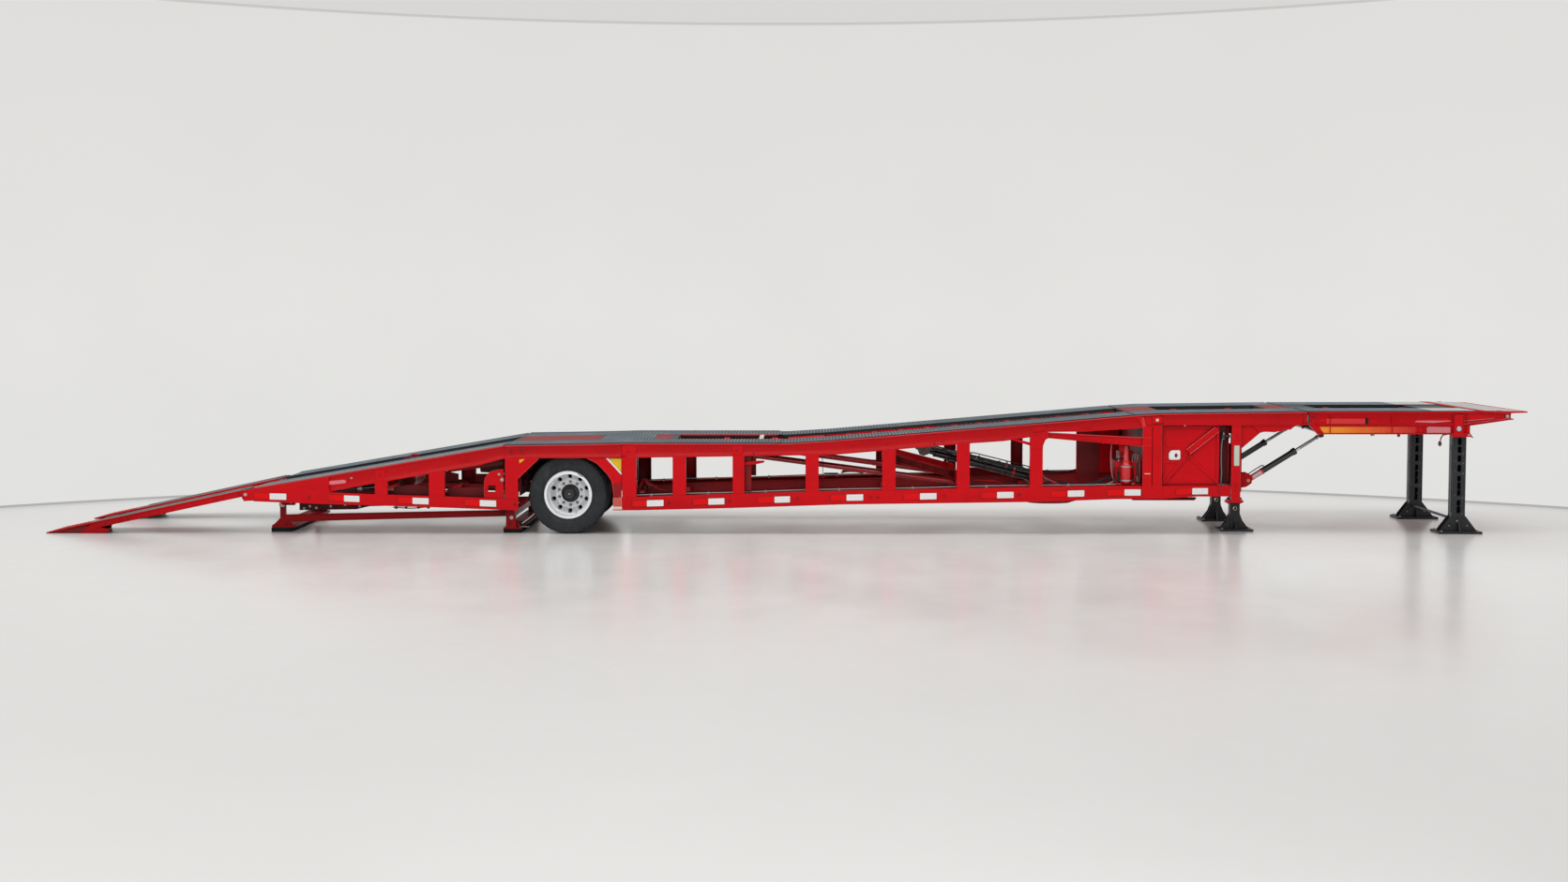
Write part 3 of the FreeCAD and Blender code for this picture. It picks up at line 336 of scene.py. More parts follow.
# dark red for the arch liner: painted shade inside the wheel arch
mat_arch_shade = painted("finish_arch_liner_painted_shade", lin(58, 10, 14), rough=0.6, coat=0.0, var=0.25, dust=lin(40, 34, 34), dust_amt=0.5, peel=0.2, spec=0.1)
# darker copies of the frame red for the recessed nose and side webs: painted shade under the top flange
mat_red_nose_web_shaded = painted("finish_red_nose_web_painted_shade", lin(186, 5, 15), rough=0.30, coat=0.10, var=0.08, dust=lin(150, 40, 40), dust_amt=0.12,
                        spec=0.05, edge=lin(220, 44, 44), edge_amt=0.5, spots=lin(168, 8, 18))
mat_red_web_shaded = painted("finish_red_side_web_painted_shade", lin(190, 6, 17), rough=0.30, coat=0.10, var=0.09, dust=lin(150, 34, 36), dust_amt=0.12,
                      spec=0.08, edge=lin(226, 44, 46), edge_amt=0.6, spots=lin(170, 6, 16))

NODE_SLOT = {s["node"]: s["material_slot"] for s in frame["record"]["subparts"]}
# the CAD deck plates take the near-black tread copy, painted shade between the bars
NODE_MATS = {"fixed_deck": mat_tread_base_shaded, "mid_deck_tracks": mat_tread_base_shaded, "nose_deck": mat_tread_base_shaded,
             "lift_rod_right": mat_black_gloss, "lift_rod_left": mat_black_gloss}
for name, obj in NODES.items():
    m = NODE_MATS.get(name, SLOT_MATS[NODE_SLOT[name]])
    if not obj.material_slots:
        obj.data.materials.append(m)
    for sl in obj.material_slots:
        sl.material = m


# ------------------------------------------------------------------ stage
def stage_obj(name, verts, faces, material, smooth=False):
    me = bpy.data.meshes.new(name)
    me.from_pydata(verts, [], faces)
    me.materials.append(material)
    if smooth:
        me.polygons.foreach_set("use_smooth", [True] * len(me.polygons))
    o = bpy.data.objects.new(name, me)
    bpy.context.scene.collection.objects.link(o)
    return o


def floor_material():
    m = Mat("studio_floor")
    slow = m.noise(0.22, 4, 0.5)
    c = m.ramp(slow, [(0.3, lin(218, 217, 215)), (0.7, lin(222, 221, 219))])
    scuff = m.noise(0.8, 5, 0.6, src=m.mapped((1.0, 0.6, 1.0)))
    m.set(base=c, rough=m.rng(scuff, 0.3, 0.7, 0.16, 0.26), spec=0.12)
    return m.m


def wall_material():
    """Cyclorama skin, seen from inside only, so any camera outside it looks through."""
    m = Mat("studio_wall")
    z = m.sep()[2]
    tone = m.ramp(m.rng(z, 0.0, 7.2, 0.0, 1.0), [(0.0, lin(226, 226, 224)), (0.35, lin(229, 228, 226)), (1.0, lin(224, 222, 220))])
    mott = m.noise(0.5, 4, 0.5)
    tone = m.mix(m.rng(mott, 0.3, 0.7, 0.0, 0.25), tone, lin(220, 219, 217))
    line_lo = m.rng(z, 0.028, 0.034, 1.0, 0.0)
    tone = m.mix(line_lo, tone, lin(176, 175, 174))
    line_hi = m.rng(z, 7.15, 7.17, 0.0, 1.0)
    tone = m.mix(line_hi, tone, lin(200, 198, 196))
    em = m.n("Emission")
    m.link(tone, em.inputs[0])
    tr = m.n("BsdfTransparent")
    g = m.n("NewGeometry")
    mx = m.n("MixShader")
    m.link(g.outputs["Backfacing"], mx.inputs[0])
    m.link(em.outputs[0], mx.inputs[1])
    m.link(tr.outputs[0], mx.inputs[2])
    m.link(mx.outputs[0], m.out.inputs[0])
    m.t.nodes.remove(m.p)
    return m.m


stage_obj("studio_floor", [(-90, -90, 0), (90, -90, 0), (90, 90, 0), (-90, 90, 0)], [(0, 1, 2, 3)], floor_material())
WALL_R, WALL_C, WALL_H, NSEG = 15.7, (0.0, -9.3), 7.2, 192
ring = [(WALL_C[0] + WALL_R * math.cos(2 * math.pi * k / NSEG), WALL_C[1] + WALL_R * math.sin(2 * math.pi * k / NSEG)) for k in range(NSEG)]
vs = [(x, y, 0.0) for x, y in ring] + [(x, y, WALL_H) for x, y in ring]
fs = [(k, k + NSEG, (k + 1) % NSEG + NSEG, (k + 1) % NSEG) for k in range(NSEG)]
wall = stage_obj("studio_wall", vs, fs, wall_material(), True)
wall.visible_shadow = False
wall.visible_diffuse = False

world = bpy.data.worlds.new("studio")
bpy.context.scene.world = world
world.use_nodes = True
wt = world.node_tree
bg = wt.nodes["Background"] if "Background" in wt.nodes else wt.nodes.new("ShaderNodeBackground")
tc = wt.nodes.new("ShaderNodeTexCoord")
sp = wt.nodes.new("ShaderNodeSeparateXYZ")
rp = wt.nodes.new("ShaderNodeValToRGB")
wt.links.new(tc.outputs["Generated"], sp.inputs[0])
wt.links.new(sp.outputs[2], rp.inputs[0])
rp.color_ramp.elements[0].position, rp.color_ramp.elements[0].color = 0.0, lin(231, 230, 228)
rp.color_ramp.elements[1].position, rp.color_ramp.elements[1].color = 0.6, lin(236, 236, 236)
e = rp.color_ramp.elements.new(0.12)
e.color = lin(231, 229, 227)
wt.links.new(rp.outputs[0], bg.inputs[0])
bg.inputs[1].default_value = 0.865
bpy.context.scene.view_settings.view_transform = "Standard"


def area(name, loc, target, sx, sy, power, color=(1, 1, 1)):
    l = bpy.data.lights.new(name, "AREA")
    l.shape, l.size, l.size_y, l.energy, l.color = "RECTANGLE", sx, sy, power, color
    o = bpy.data.objects.new(name, l)
    bpy.context.scene.collection.objects.link(o)
    o.location = loc
    o.rotation_mode = "QUATERNION"
    o.rotation_quaternion = (Vector(target) - Vector(loc)).to_track_quat("-Z", "Y")
    o.visible_camera = False
    return o


area("key_top", (0.0, -4.5, 11.5), (0.0, 0.0, 0.6), 22.0, 6.0, 690.0)
area("fill_front", (-4.0, -22.0, 7.0), (0.0, 0.0, 0.8), 16.0, 5.0, 590.0)
area("rim_back", (2.0, 9.5, 8.5), (0.0, 0.0, 0.8), 20.0, 3.5, 320.0)

cam_data = bpy.data.cameras.new("cam")
cam_data.sensor_width = 36.0
CAM_F = 2255.4
cam_data.lens = CAM_F / 1672.0 * 36.0
cam = bpy.data.objects.new("cam", cam_data)
bpy.context.scene.collection.objects.link(cam)
bpy.context.scene.camera = cam
CAM_YAW, CAM_PITCH = 0.01154, 0.06385
cam.location = (0.3231, -26.947, 2.790)
cam.rotation_mode = "QUATERNION"
fwd = Vector((-math.sin(CAM_YAW) * math.cos(CAM_PITCH), math.cos(CAM_YAW) * math.cos(CAM_PITCH), -math.sin(CAM_PITCH)))
cam.rotation_quaternion = fwd.to_track_quat("-Z", "Y")
cam_data.clip_start, cam_data.clip_end = 0.5, 400.0


# ------------------------------------------------------------------ line tables of the frame, metres (X, Z)
def tab(*rows):
    return [(x / 1000.0, z / 1000.0) for x, z in rows]


TOP = tab((-6540, 546), (-3390, 1084), (-2400, 1100), (-1900, 1112), (80, 1112), (600, 1145), (4306, 1458),
          (4650, 1479), (6388, 1501), (8440, 1507))
UP_BOT = tab((-5534, 519), (-4986, 622), (-4312, 740), (-3692, 846), (-3395, 926), (-3224, 933), (-2105, 936),
             (-849, 953), (635, 978), (1377, 1041), (2119, 1107), (2690, 1146), (3060, 1200), (3200, 1258),
             (3683, 1263), (4367, 1306), (4630, 1339), (6388, 1343))
LOW_TOP_R = tab((-5534, 515), (-4975, 489), (-4312, 469), (-3220, 434))
LOW_BOT_R = tab((-6466, 410), (-5644, 378), (-5130, 366), (-4046, 332), (-3220, 300))
LOW_TOP_F = tab((-1957, 453), (-621, 499), (520, 531), (1890, 562), (3032, 585), (4174, 602), (5460, 606))
LOW_BOT_F = tab((-1957, 296), (-1763, 297), (-621, 325), (749, 371), (2119, 390), (3146, 406), (4059, 440),
                (4630, 442), (5053, 473), (5460, 474))
POSTS = [(-4.975, -4.818), (-4.312, -4.120), (-3.380, -3.222), (-1.950, -1.775), (-1.332, -1.170), (-0.600, -0.456),
         (0.288, 0.450), (1.224, 1.387), (2.130, 2.288), (3.020, 3.175)]
FACE = 1.250                      # outer face of chords and posts
UWEB = 1.236                      # outer face of the recessed upper web
TRACK = (0.470, 1.185)


def line(table, x):
    for (xa, za), (xb, zb) in zip(table, table[1:]):
        if xa <= x <= xb:
            return za + (zb - za) * (x - xa) / (xb - xa)
    return table[0][1] if x < table[0][0] else table[-1][1]


def cut(table, x0, x1):
    return [(x0, line(table, x0))] + [(x, z) for x, z in table if x0 + 0.0005 < x < x1 - 0.0005] + [(x1, line(table, x1))]


def smooth_path(pts, n=6):
    """Rounded line through the given points."""
    p = [Vector(q) for q in pts]
    if len(p) < 3:
        return p
    p = [p[0] * 2 - p[1]] + p + [p[-1] * 2 - p[-2]]
    out = []
    for i in range(1, len(p) - 2):
        a, b, c, d = p[i - 1], p[i], p[i + 1], p[i + 2]
        for k in range(n):
            t = k / n
            out.append(0.5 * ((2 * b) + (c - a) * t + (2 * a - 5 * b + 4 * c - d) * t * t + (3 * b - a - 3 * c + d) * t ** 3))
    out.append(p[-2])
    return out


def inset(pts, c):
    """The same outline, moved inward by c."""
    n = len(pts)
    area = sum(pts[i][0] * pts[(i + 1) % n][1] - pts[(i + 1) % n][0] * pts[i][1] for i in range(n))
    sgn = 1.0 if area > 0 else -1.0
    out = []
    for i in range(n):
        a, b, d = pts[i - 1], pts[i], pts[(i + 1) % n]
        e1 = Vector((b[0] - a[0], b[1] - a[1]))
        e2 = Vector((d[0] - b[0], d[1] - b[1]))
        if e1.length < 1e-9 or e2.length < 1e-9:
            out.append(b)
            continue
        e1.normalize()
        e2.normalize()
        n1, n2 = Vector((-e1.y, e1.x)) * sgn, Vector((-e2.y, e2.x)) * sgn
        m = n1 + n2
        k = m.dot(n1)
        m = n1 if k < 0.25 else m / k
        out.append((b[0] + m.x * c, b[1] + m.y * c))
    return out


class Piece:
    """One visual piece, put together from small closed shapes with chamfered edges."""
    count = 0

    def __init__(self, name, body, slot):
        self.name, self.body, self.slot = name, body, slot
        self.v, self.f, self.m, self.mats = [], [], [], []
        self.at = None

    def add(self, verts, faces, mat):
        if mat not in self.mats:
            self.mats.append(mat)
        o, k = len(self.v), self.mats.index(mat)
        if self.at is not None:
            verts = [self.at @ Vector(p) for p in verts]
        self.v.extend([tuple(p) for p in verts])
        self.f.extend([tuple(i + o for i in fc) for fc in faces])
        self.m.extend([k] * len(faces))

    def box(self, x0, x1, y0, y1, z0, z1, mat, c=0.0015):
        x0, x1 = min(x0, x1), max(x0, x1)
        y0, y1 = min(y0, y1), max(y0, y1)
        z0, z1 = min(z0, z1), max(z0, z1)
        c = min(c, 0.3 * (x1 - x0), 0.3 * (y1 - y0), 0.3 * (z1 - z0))
        p, vs, fs = {}, [], []
        for i in (0, 1):
            for j in (0, 1):
                for k in (0, 1):
                    x, y, z = (x0, x1)[i], (y0, y1)[j], (z0, z1)[k]
                    dx, dy, dz = (c, -c)[i], (c, -c)[j], (c, -c)[k]
                    for a, q in enumerate(((x, y + dy, z + dz), (x + dx, y, z + dz), (x + dx, y + dy, z))):
                        p[i, j, k, a] = len(vs)
                        vs.append(q)
        for i in (0, 1):
            fs.append((p[i, 0, 0, 0], p[i, 1, 0, 0], p[i, 1, 1, 0], p[i, 0, 1, 0]))
            fs.append((p[0, i, 0, 1], p[1, i, 0, 1], p[1, i, 1, 1], p[0, i, 1, 1]))
            fs.append((p[0, 0, i, 2], p[1, 0, i, 2], p[1, 1, i, 2], p[0, 1, i, 2]))
            for j in (0, 1):
                fs.append((p[0, i, j, 1], p[1, i, j, 1], p[1, i, j, 2], p[0, i, j, 2]))
                fs.append((p[i, 0, j, 0], p[i, 1, j, 0], p[i, 1, j, 2], p[i, 0, j, 2]))
                fs.append((p[i, j, 0, 0], p[i, j, 1, 0], p[i, j, 1, 1], p[i, j, 0, 1]))
                for k in (0, 1):
                    fs.append((p[i, j, k, 0], p[i, j, k, 1], p[i, j, k, 2]))
        self.add(vs, fs, mat)

    def prism(self, axis, pts, a, b, mat, c=0.0015):
        """Outline pushed along an axis; 'y': (x, z), 'x': (y, z), 'z': (x, y)."""
        a, b = min(a, b), max(a, b)
        c = min(c, 0.3 * (b - a))
        q = inset(pts, c)
        put = {"y": lambda u, t: (u[0], t, u[1]), "x": lambda u, t: (t, u[0], u[1]), "z": lambda u, t: (u[0], u[1], t)}[axis]
        n = len(pts)
        vs = [put(u, a) for u in q] + [put(u, a + c) for u in pts] + [put(u, b - c) for u in pts] + [put(u, b) for u in q]
        fs = [tuple(range(n)), tuple(range(3 * n, 4 * n))]
        for r in range(3):
            fs += [(r * n + i, r * n + (i + 1) % n, (r + 1) * n + (i + 1) % n, (r + 1) * n + i) for i in range(n)]
        self.add(vs, fs, mat)

    def lathe(self, p, d, prof, mat, seg=24, turn=0.0, loop=False):
        """(distance along d, radius) profile turned about the line through p."""
        p, d = Vector(p), Vector(d).normalized()
        u = d.orthogonal().normalized()
        if abs(d.z) < 0.9:
            u = (Vector((0, 0, 1)) - d * d.z).normalized()
        w = d.cross(u)
        vs, rows = [], []
        for t, r in prof:
            if r < 1e-6:
                rows.append([len(vs)])
                vs.append(p + d * t)
            else:
                rows.append(list(range(len(vs), len(vs) + seg)))
                for k in range(seg):
                    a = turn + 2 * math.pi * k / seg
                    vs.append(p + d * t + (u * math.cos(a) + w * math.sin(a)) * r)
        fs = []
        pairs = list(zip(rows, rows[1:])) + ([(rows[-1], rows[0])] if loop else [])
        for a, b in pairs:
            if len(a) == 1 and len(b) == 1:
                continue
            for k in range(seg):
                k2 = (k + 1) % seg
                if len(a) == 1:
                    fs.append((a[0], b[k2], b[k]))
                elif len(b) == 1:
                    fs.append((a[k], a[k2], b[0]))
                else:
                    fs.append((a[k], a[k2], b[k2], b[k]))
        if not loop:
            if len(rows[0]) > 1:
                fs.append(tuple(reversed(rows[0])))
            if len(rows[-1]) > 1:
                fs.append(tuple(rows[-1]))
        self.add(vs, fs, mat)

    def rod(self, a, b, r, mat, seg=18, c=None):
        a, b = Vector(a), Vector(b)
        n = (b - a).length
        c = min(0.12 * r if c is None else c, 0.3 * n)
        self.lathe(a, b - a, [(0, r - c), (c, r), (n - c, r), (n, r - c)], mat, seg)

    def ring(self, p, d, R, r, mat, seg=40, side=8):
        self.lathe(p, d, [(r * math.cos(2 * math.pi * k / side), R + r * math.sin(2 * math.pi * k / side)) for k in range(side)],
                   mat, seg, loop=True)

    def tube(self, path, r, mat, seg=8, n=6, radii=None):
        """Round section swept along a smoothed path, closed at both ends."""
        pts = smooth_path(path, n) if n else [Vector(q) for q in path]
        vs, fs = [], []
        d = (pts[1] - pts[0]).normalized()
        u = d.orthogonal().normalized()
        for i, q in enumerate(pts):
            e = (pts[min(i + 1, len(pts) - 1)] - pts[max(i - 1, 0)])
            e = e.normalized() if e.length > 1e-9 else d
            u = (u - e * u.dot(e))
            u = u.normalized() if u.length > 1e-6 else e.orthogonal().normalized()
            w = e.cross(u)
            rr = radii[i % len(radii)] if radii else r
            for k in range(seg):
                a = 2 * math.pi * k / seg
                vs.append(q + (u * math.cos(a) + w * math.sin(a)) * rr)
        for i in range(len(pts) - 1):
            fs += [(i * seg + k, i * seg + (k + 1) % seg, (i + 1) * seg + (k + 1) % seg, (i + 1) * seg + k) for k in range(seg)]
        fs.append(tuple(range(seg)))
        fs.append(tuple(range((len(pts) - 1) * seg, len(pts) * seg)))
        self.add(vs, fs, mat)

    def weld(self, a, b, r, mat):
        """Rippled fillet bead."""
        a, b = Vector(a), Vector(b)
        n = max(3, int((b - a).length / 0.010))
        pts = [a + (b - a) * (k / n) for k in range(n + 1)]
        self.tube(pts, r, mat, seg=6, n=0, radii=[r, r * 0.78])

    def bolt(self, p, d, s, mat, washer=True, head=0.6, low=False):
        """Hexagon head across flats s on a washer, looking along d."""
        p, d = Vector(p), Vector(d).normalized()
        t = 0.0
        if washer:
            w = s * 0.12
            self.lathe(p, d, [(0, s * 0.95), (w * 0.6, s * 0.95), (w, s * 0.9), (w, s * 0.3)], mat, 20)
            t = w
        h = s * (0.28 if low else head)
        r = s / math.sqrt(3)
        self.lathe(p, d, [(t, r), (t + h * 0.82, r), (t + h, r * 0.84), (t + h, 0)], mat, 6, turn=0.3)
        if not low:
            self.lathe(p, d, [(t + h, s * 0.30), (t + h + s * 0.18, s * 0.30), (t + h + s * 0.24, s * 0.24), (t + h + s * 0.24, 0)], mat, 12)

    def done(self):
        me = bpy.data.meshes.new(self.name)
        me.from_pydata(self.v, [], self.f)
        for m in self.mats:
            me.materials.append(m)
        me.polygons.foreach_set("material_index", self.m)
        bm = bmesh.new()
        bm.from_mesh(me)
        bmesh.ops.recalc_face_normals(bm, faces=bm.faces)
        bm.to_mesh(me)
        bm.free()
        me.polygons.foreach_set("use_smooth", [True] * len(me.polygons))
        me.set_sharp_from_angle(angle=math.radians(32))
        me.update()
        o = bpy.data.objects.new(self.name, me)
        bpy.context.scene.collection.objects.link(o)
        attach(o, self.body)
        Piece.count += 1
        return o


# ================================================================== side frames: tape, bolts, welds, small plates
TAPES = [(-6.457, -6.265, -6.061), (-5.541, -5.354, -5.164), (-4.696, -4.515, -4.317), (-3.874, -3.692, -3.491),
         (-1.826, -1.648, -1.444), (-1.082, -0.897, -0.701), (-0.293, -0.09, 0.1), (0.597, 0.788, 0.992),
         (1.484, 1.683, 1.885), (2.426, 2.621, 2.823), (3.277, 3.481, 3.682), (3.96, 4.17, 4.368), (4.795, 4.993, 5.185)]


def chord_mid(x):
    if x < -5.534:
        return (line(LOW_BOT_R, x) + 0.515) / 2 + 0.004
    if x < -3.0:
        return (line(LOW_BOT_R, x) + line(LOW_TOP_R, x)) / 2
    return (line(LOW_BOT_F, x) + line(LOW_TOP_F, x)) / 2


def strip(pc, s, x0, x1, zf, h, mat, y=FACE, t=0.0012, r=0.006):
    """Thin applied strip with rounded corners that follows a slope."""
    pts = []
    for cx, cz, a0 in ((x1 - r, h / 2 - r, 0), (x0 + r, h / 2 - r, 90), (x0 + r, -h / 2 + r, 180), (x1 - r, -h / 2 + r, 270)):
        for k in range(4):
            a = math.radians(a0 + 30 * k)
            x = cx + r * math.cos(a)
            pts.append((x, zf(x) + cz + r * math.sin(a)))
    pc.prism("y", pts, s * y, s * (y + t), mat, 0.0003)


for s, side in ((-1, "right"), (1, "left")):
    tp = Piece("reflective_tape_" + side, "chassis", "lamp_lens")
    for xa, xb, xc in TAPES:
        strip(tp, s, xa - 0.005, xc + 0.005, chord_mid, 0.086, mat_red_shaded, t=0.0005, r=0.007)
        strip(tp, s, xa, xb - 0.003, chord_mid, 0.070, mat_tape_r)
        strip(tp, s, xb + 0.001, xc, chord_mid, 0.076, mat_tape_w, t=0.0016)
        strip(tp, s, xa - 0.012, xa - 0.004, chord_mid, 0.078, mat_red_shaded, t=0.0008, r=0.003)
        # printed ribs that stand a little proud of the white field
        for k in (-1, 0, 1):
            zf = (lambda x, k=k: chord_mid(x) + k * 0.018)
            strip(tp, s, xb + 0.012, xc - 0.012, zf, 0.0035, mat_tape_w, y=FACE + 0.0014, t=0.0008, r=0.0016)
    tp.done()

    hw = Piece("frame_fasteners_" + side, "chassis", "red_paint")
    for x in (-1.376, -0.638, 0.193, 1.080, 1.171, 1.978, 2.895, -5.78, -3.06 - 0.2):
        z = chord_mid(x) + 0.004
        hw.ring((x, s * (FACE - 0.001), z), (0, s, 0), 0.021, 0.0035, mat_red, 28, 8)
        hw.lathe((x, s * (FACE - 0.004), z), (0, s, 0), [(0, 0.014), (0.0055, 0.014), (0.0075, 0.010), (0.0075, 0)], mat_red_shaded, 20)
    for x, z in ((0.872, 1.095), (1.288, 1.110), (1.959, 1.136), (-1.100, 1.032), (2.45, 1.165), (-6.02, 0.55), (-5.30, 0.66),
                 (-4.55, 0.80), (-3.86, 0.90)):
        hw.bolt((x, s * UWEB, z), (0, s, 0), 0.017, mat_red, head=0.45)
    # bolted joint plates over the chord at three of the posts
    for xa, xb, z0, z1, xs, zs in ((-1.952, -1.776, 0.960, 1.092, -1.872, 1.014), (-0.602, -0.470, 0.972, 1.092, -0.549, 1.034),
                                   (-4.968, -4.846, 0.640, 0.790, -4.908, 0.725)):
        hw.prism("y", [(xa, z0), (xb, z0), (xb, z1), (xa, z1)], s * (UWEB - 0.001), s * (UWEB + 0.0085), mat_red, 0.002)
        hw.bolt((xs, s * (UWEB + 0.0075), zs), (0, s, 0), 0.018, mat_red_shaded, head=0.22, low=True)
        for dx in (xa + 0.012, xb - 0.012):
            for dz in (z0 + 0.012, z1 - 0.012):
                hw.lathe((dx, s * (UWEB + 0.007), dz), (0, s, 0), [(0, 0.005), (0.003, 0.005), (0.0045, 0.003), (0.0045, 0)], mat_red, 10)
    # two large washers at the head of the post behind the wheel
    for x, z in ((-3.304, 1.015), (-3.178, 1.026)):
        hw.prism("y", [(x - 0.052, z - 0.052), (x + 0.052, z - 0.052), (x + 0.052, z + 0.050), (x - 0.052, z + 0.050)],
                 s * (UWEB - 0.001), s * (UWEB + 0.006), mat_red, 0.0015)
        hw.ring((x, s * (UWEB + 0.006), z), (0, s, 0), 0.034, 0.004, mat_red_shaded, 32, 8)
        hw.bolt((x, s * (UWEB + 0.004), z), (0, s, 0), 0.022, mat_red_shaded, head=0.2, low=True)
    hw.bolt((-3.418, s * 1.2368, 0.668), (0, s, 0), 0.024, mat_zinc, head=0.35)
    for x, z in ((3.112, 1.221), (3.215, 1.216), (3.06, 1.232), (3.155, 1.235), (3.105, 1.150), (3.19, 1.160)):
        hw.lathe((x, s * (FACE - 0.002), z), (0, s, 0), [(0, 0.009), (0.0042, 0.009), (0.0058, 0.006), (0.0058, 0)], mat_red_shaded, 14)
    # pale worn bolt where the chord meets the bulkhead
    hw.bolt((4.562, s * (UWEB + 0.008), 1.403), (0, s, 0), 0.020, mat_cream, head=0.2, low=True)
    hw.prism("y", [(4.500, 1.362), (4.622, 1.362), (4.622, 1.452), (4.500, 1.450)], s * (UWEB - 0.001), s * (UWEB + 0.009), mat_red, 0.002)
    hw.done()

    wd = Piece("weld_beads_" + side, "chassis", "red_paint")
    for x0, x1 in POSTS:
        low_t = LOW_TOP_R if x1 < -3 else LOW_TOP_F
        yo = s * (FACE - 0.0012)
        wd.weld((x0 + 0.002, yo, line(low_t, x0) + 0.001), (x1 - 0.002, yo, line(low_t, x1) + 0.001), 0.0036, mat_red)
        for x in (x0, x1):
            za, zb = line(low_t, x) + 0.002, line(UP_BOT, x) - 0.001
            if zb - za > 0.03:
                wd.weld((x + (0.003 if x == x0 else -0.003), s * 1.2425, za), (x + (0.003 if x == x0 else -0.003), s * 1.2425, za + 0.02), 0.005, mat_red)
            # root welds along the chord flanges, front to back
            wd.weld((x, s * 1.184, za), (x, s * 1.238, za), 0.005, mat_red)
            wd.weld((x, s * 1.184, zb), (x, s * 1.230, zb), 0.005, mat_red)
        # web to upper flange lip, above each post
        zl = line(UP_BOT, (x0 + x1) / 2)
        wd.weld((x0 + 0.004, s * (UWEB + 0.002), line(UP_BOT, x0 + 0.004) + 0.015), (x1 - 0.004, s * (UWEB + 0.002), line(UP_BOT, x1 - 0.004) + 0.015), 0.004, mat_red)
    for tabl, xa, xb in ((LOW_TOP_F, -1.95, 5.40), (LOW_BOT_F, -1.95, 5.40)):
        pts = cut(tabl, xa, xb)
        for (ax, az), (bx, bz) in zip(pts, pts[1:]):
            dz = -0.010 if tabl is LOW_TOP_F else 0.010
            wd.weld((ax, s * 1.2405, az + dz), (bx, s * 1.2405, bz + dz), 0.0045, mat_red)
    wd.done()

    # stiffeners in the recessed upper web: short cleats, a splice plate, and the slanted end bracket
    st = Piece("upper_web_cleats_" + side, "chassis", "red_paint")
    for x in (-0.85, 0.20, 1.55, 2.72, -2.55, -4.20, -5.05):
        zt, zb = line(TOP, x) - 0.015, line(UP_BOT, x) + 0.014
        st.prism("y", [(x - 0.004, zb), (x + 0.004, zb), (x + 0.004, zt), (x - 0.004, zt)], s * (UWEB - 0.001), s * (UWEB + 0.004), mat_red, 0.001)
    zt, zb = line(TOP, 3.717) - 0.015, line(UP_BOT, 3.717) + 0.012
    st.prism("y", [(3.694, zb), (3.740, zb), (3.740, zt), (3.694, zt)], s * (UWEB - 0.001), s * (UWEB + 0.009), mat_red, 0.002)
    for dz in (0.2, 0.4, 0.6, 0.8):
        st.lathe((3.717, s * (UWEB + 0.008), zb + (zt - zb) * dz), (0, s, 0), [(0, 0.007), (0.003, 0.007), (0.0045, 0.004), (0.0045, 0)], mat_red_shaded, 12)
    st.prism("y", [(4.299, 1.447), (4.372, 1.447), (4.430, 1.330), (4.493, 1.318), (4.420, 1.316), (4.376, 1.318)],
             s * (UWEB - 0.001), s * (UWEB + 0.012), mat_red, 0.002)
    st.prism("y", [(4.380, 1.318), (4.430, 1.318), (4.400, 1.440), (4.372, 1.440)], s * (UWEB + 0.004), s * (UWEB + 0.0135), mat_red_gloss, 0.003)
    # broad gusset plate at the tenth post with its wing
    st.prism("y", [(3.021, 1.056), (3.176, 1.056), (3.180, 1.100), (3.205, 1.160), (3.247, 1.190), (3.247, 1.261), (3.021, 1.246)],
             s * (FACE - 0.002), s * (FACE + 0.0025), mat_red, 0.002)
    st.prism("y", [(2.560, 1.168), (2.712, 1.176), (2.826, 1.150), (3.021, 1.092), (3.021, 1.130), (2.850, 1.172), (2.712, 1.192), (2.560, 1.190)],
             s * 1.218, s * 1.240, mat_red, 0.003)
    # tapered arm from the gusset to the bulkhead, with folded lips
    st.prism("y", [(3.200, 1.188), (4.500, 1.070), (4.500, 1.186), (3.200, 1.252)], s * 1.226, s * 1.234, mat_red, 0.002)
    st.prism("y", [(3.200, 1.240), (4.500, 1.174), (4.500, 1.188), (3.200, 1.254)], s * 1.214, s * 1.246, mat_red_gloss, 0.003)
    st.prism("y", [(3.200, 1.186), (4.500, 1.068), (4.500, 1.082), (3.200, 1.200)], s * 1.214, s * 1.246, mat_red, 0.003)
    # curved fillet in a corner of the last opening
    for cx, cz, r, q in ((3.177, 1.180, 0.060, 1), (3.176, 0.590, 0.0, 0)):
        if r:
            arc = [(cx, cz)] + [(cx + r - r * math.cos(math.radians(a)), cz - r + r * math.sin(math.radians(a))) for a in range(90, -1, -15)]
            st.prism("y", arc, s * 1.236, s * 1.2445, mat_red, 0.001)
    st.done()


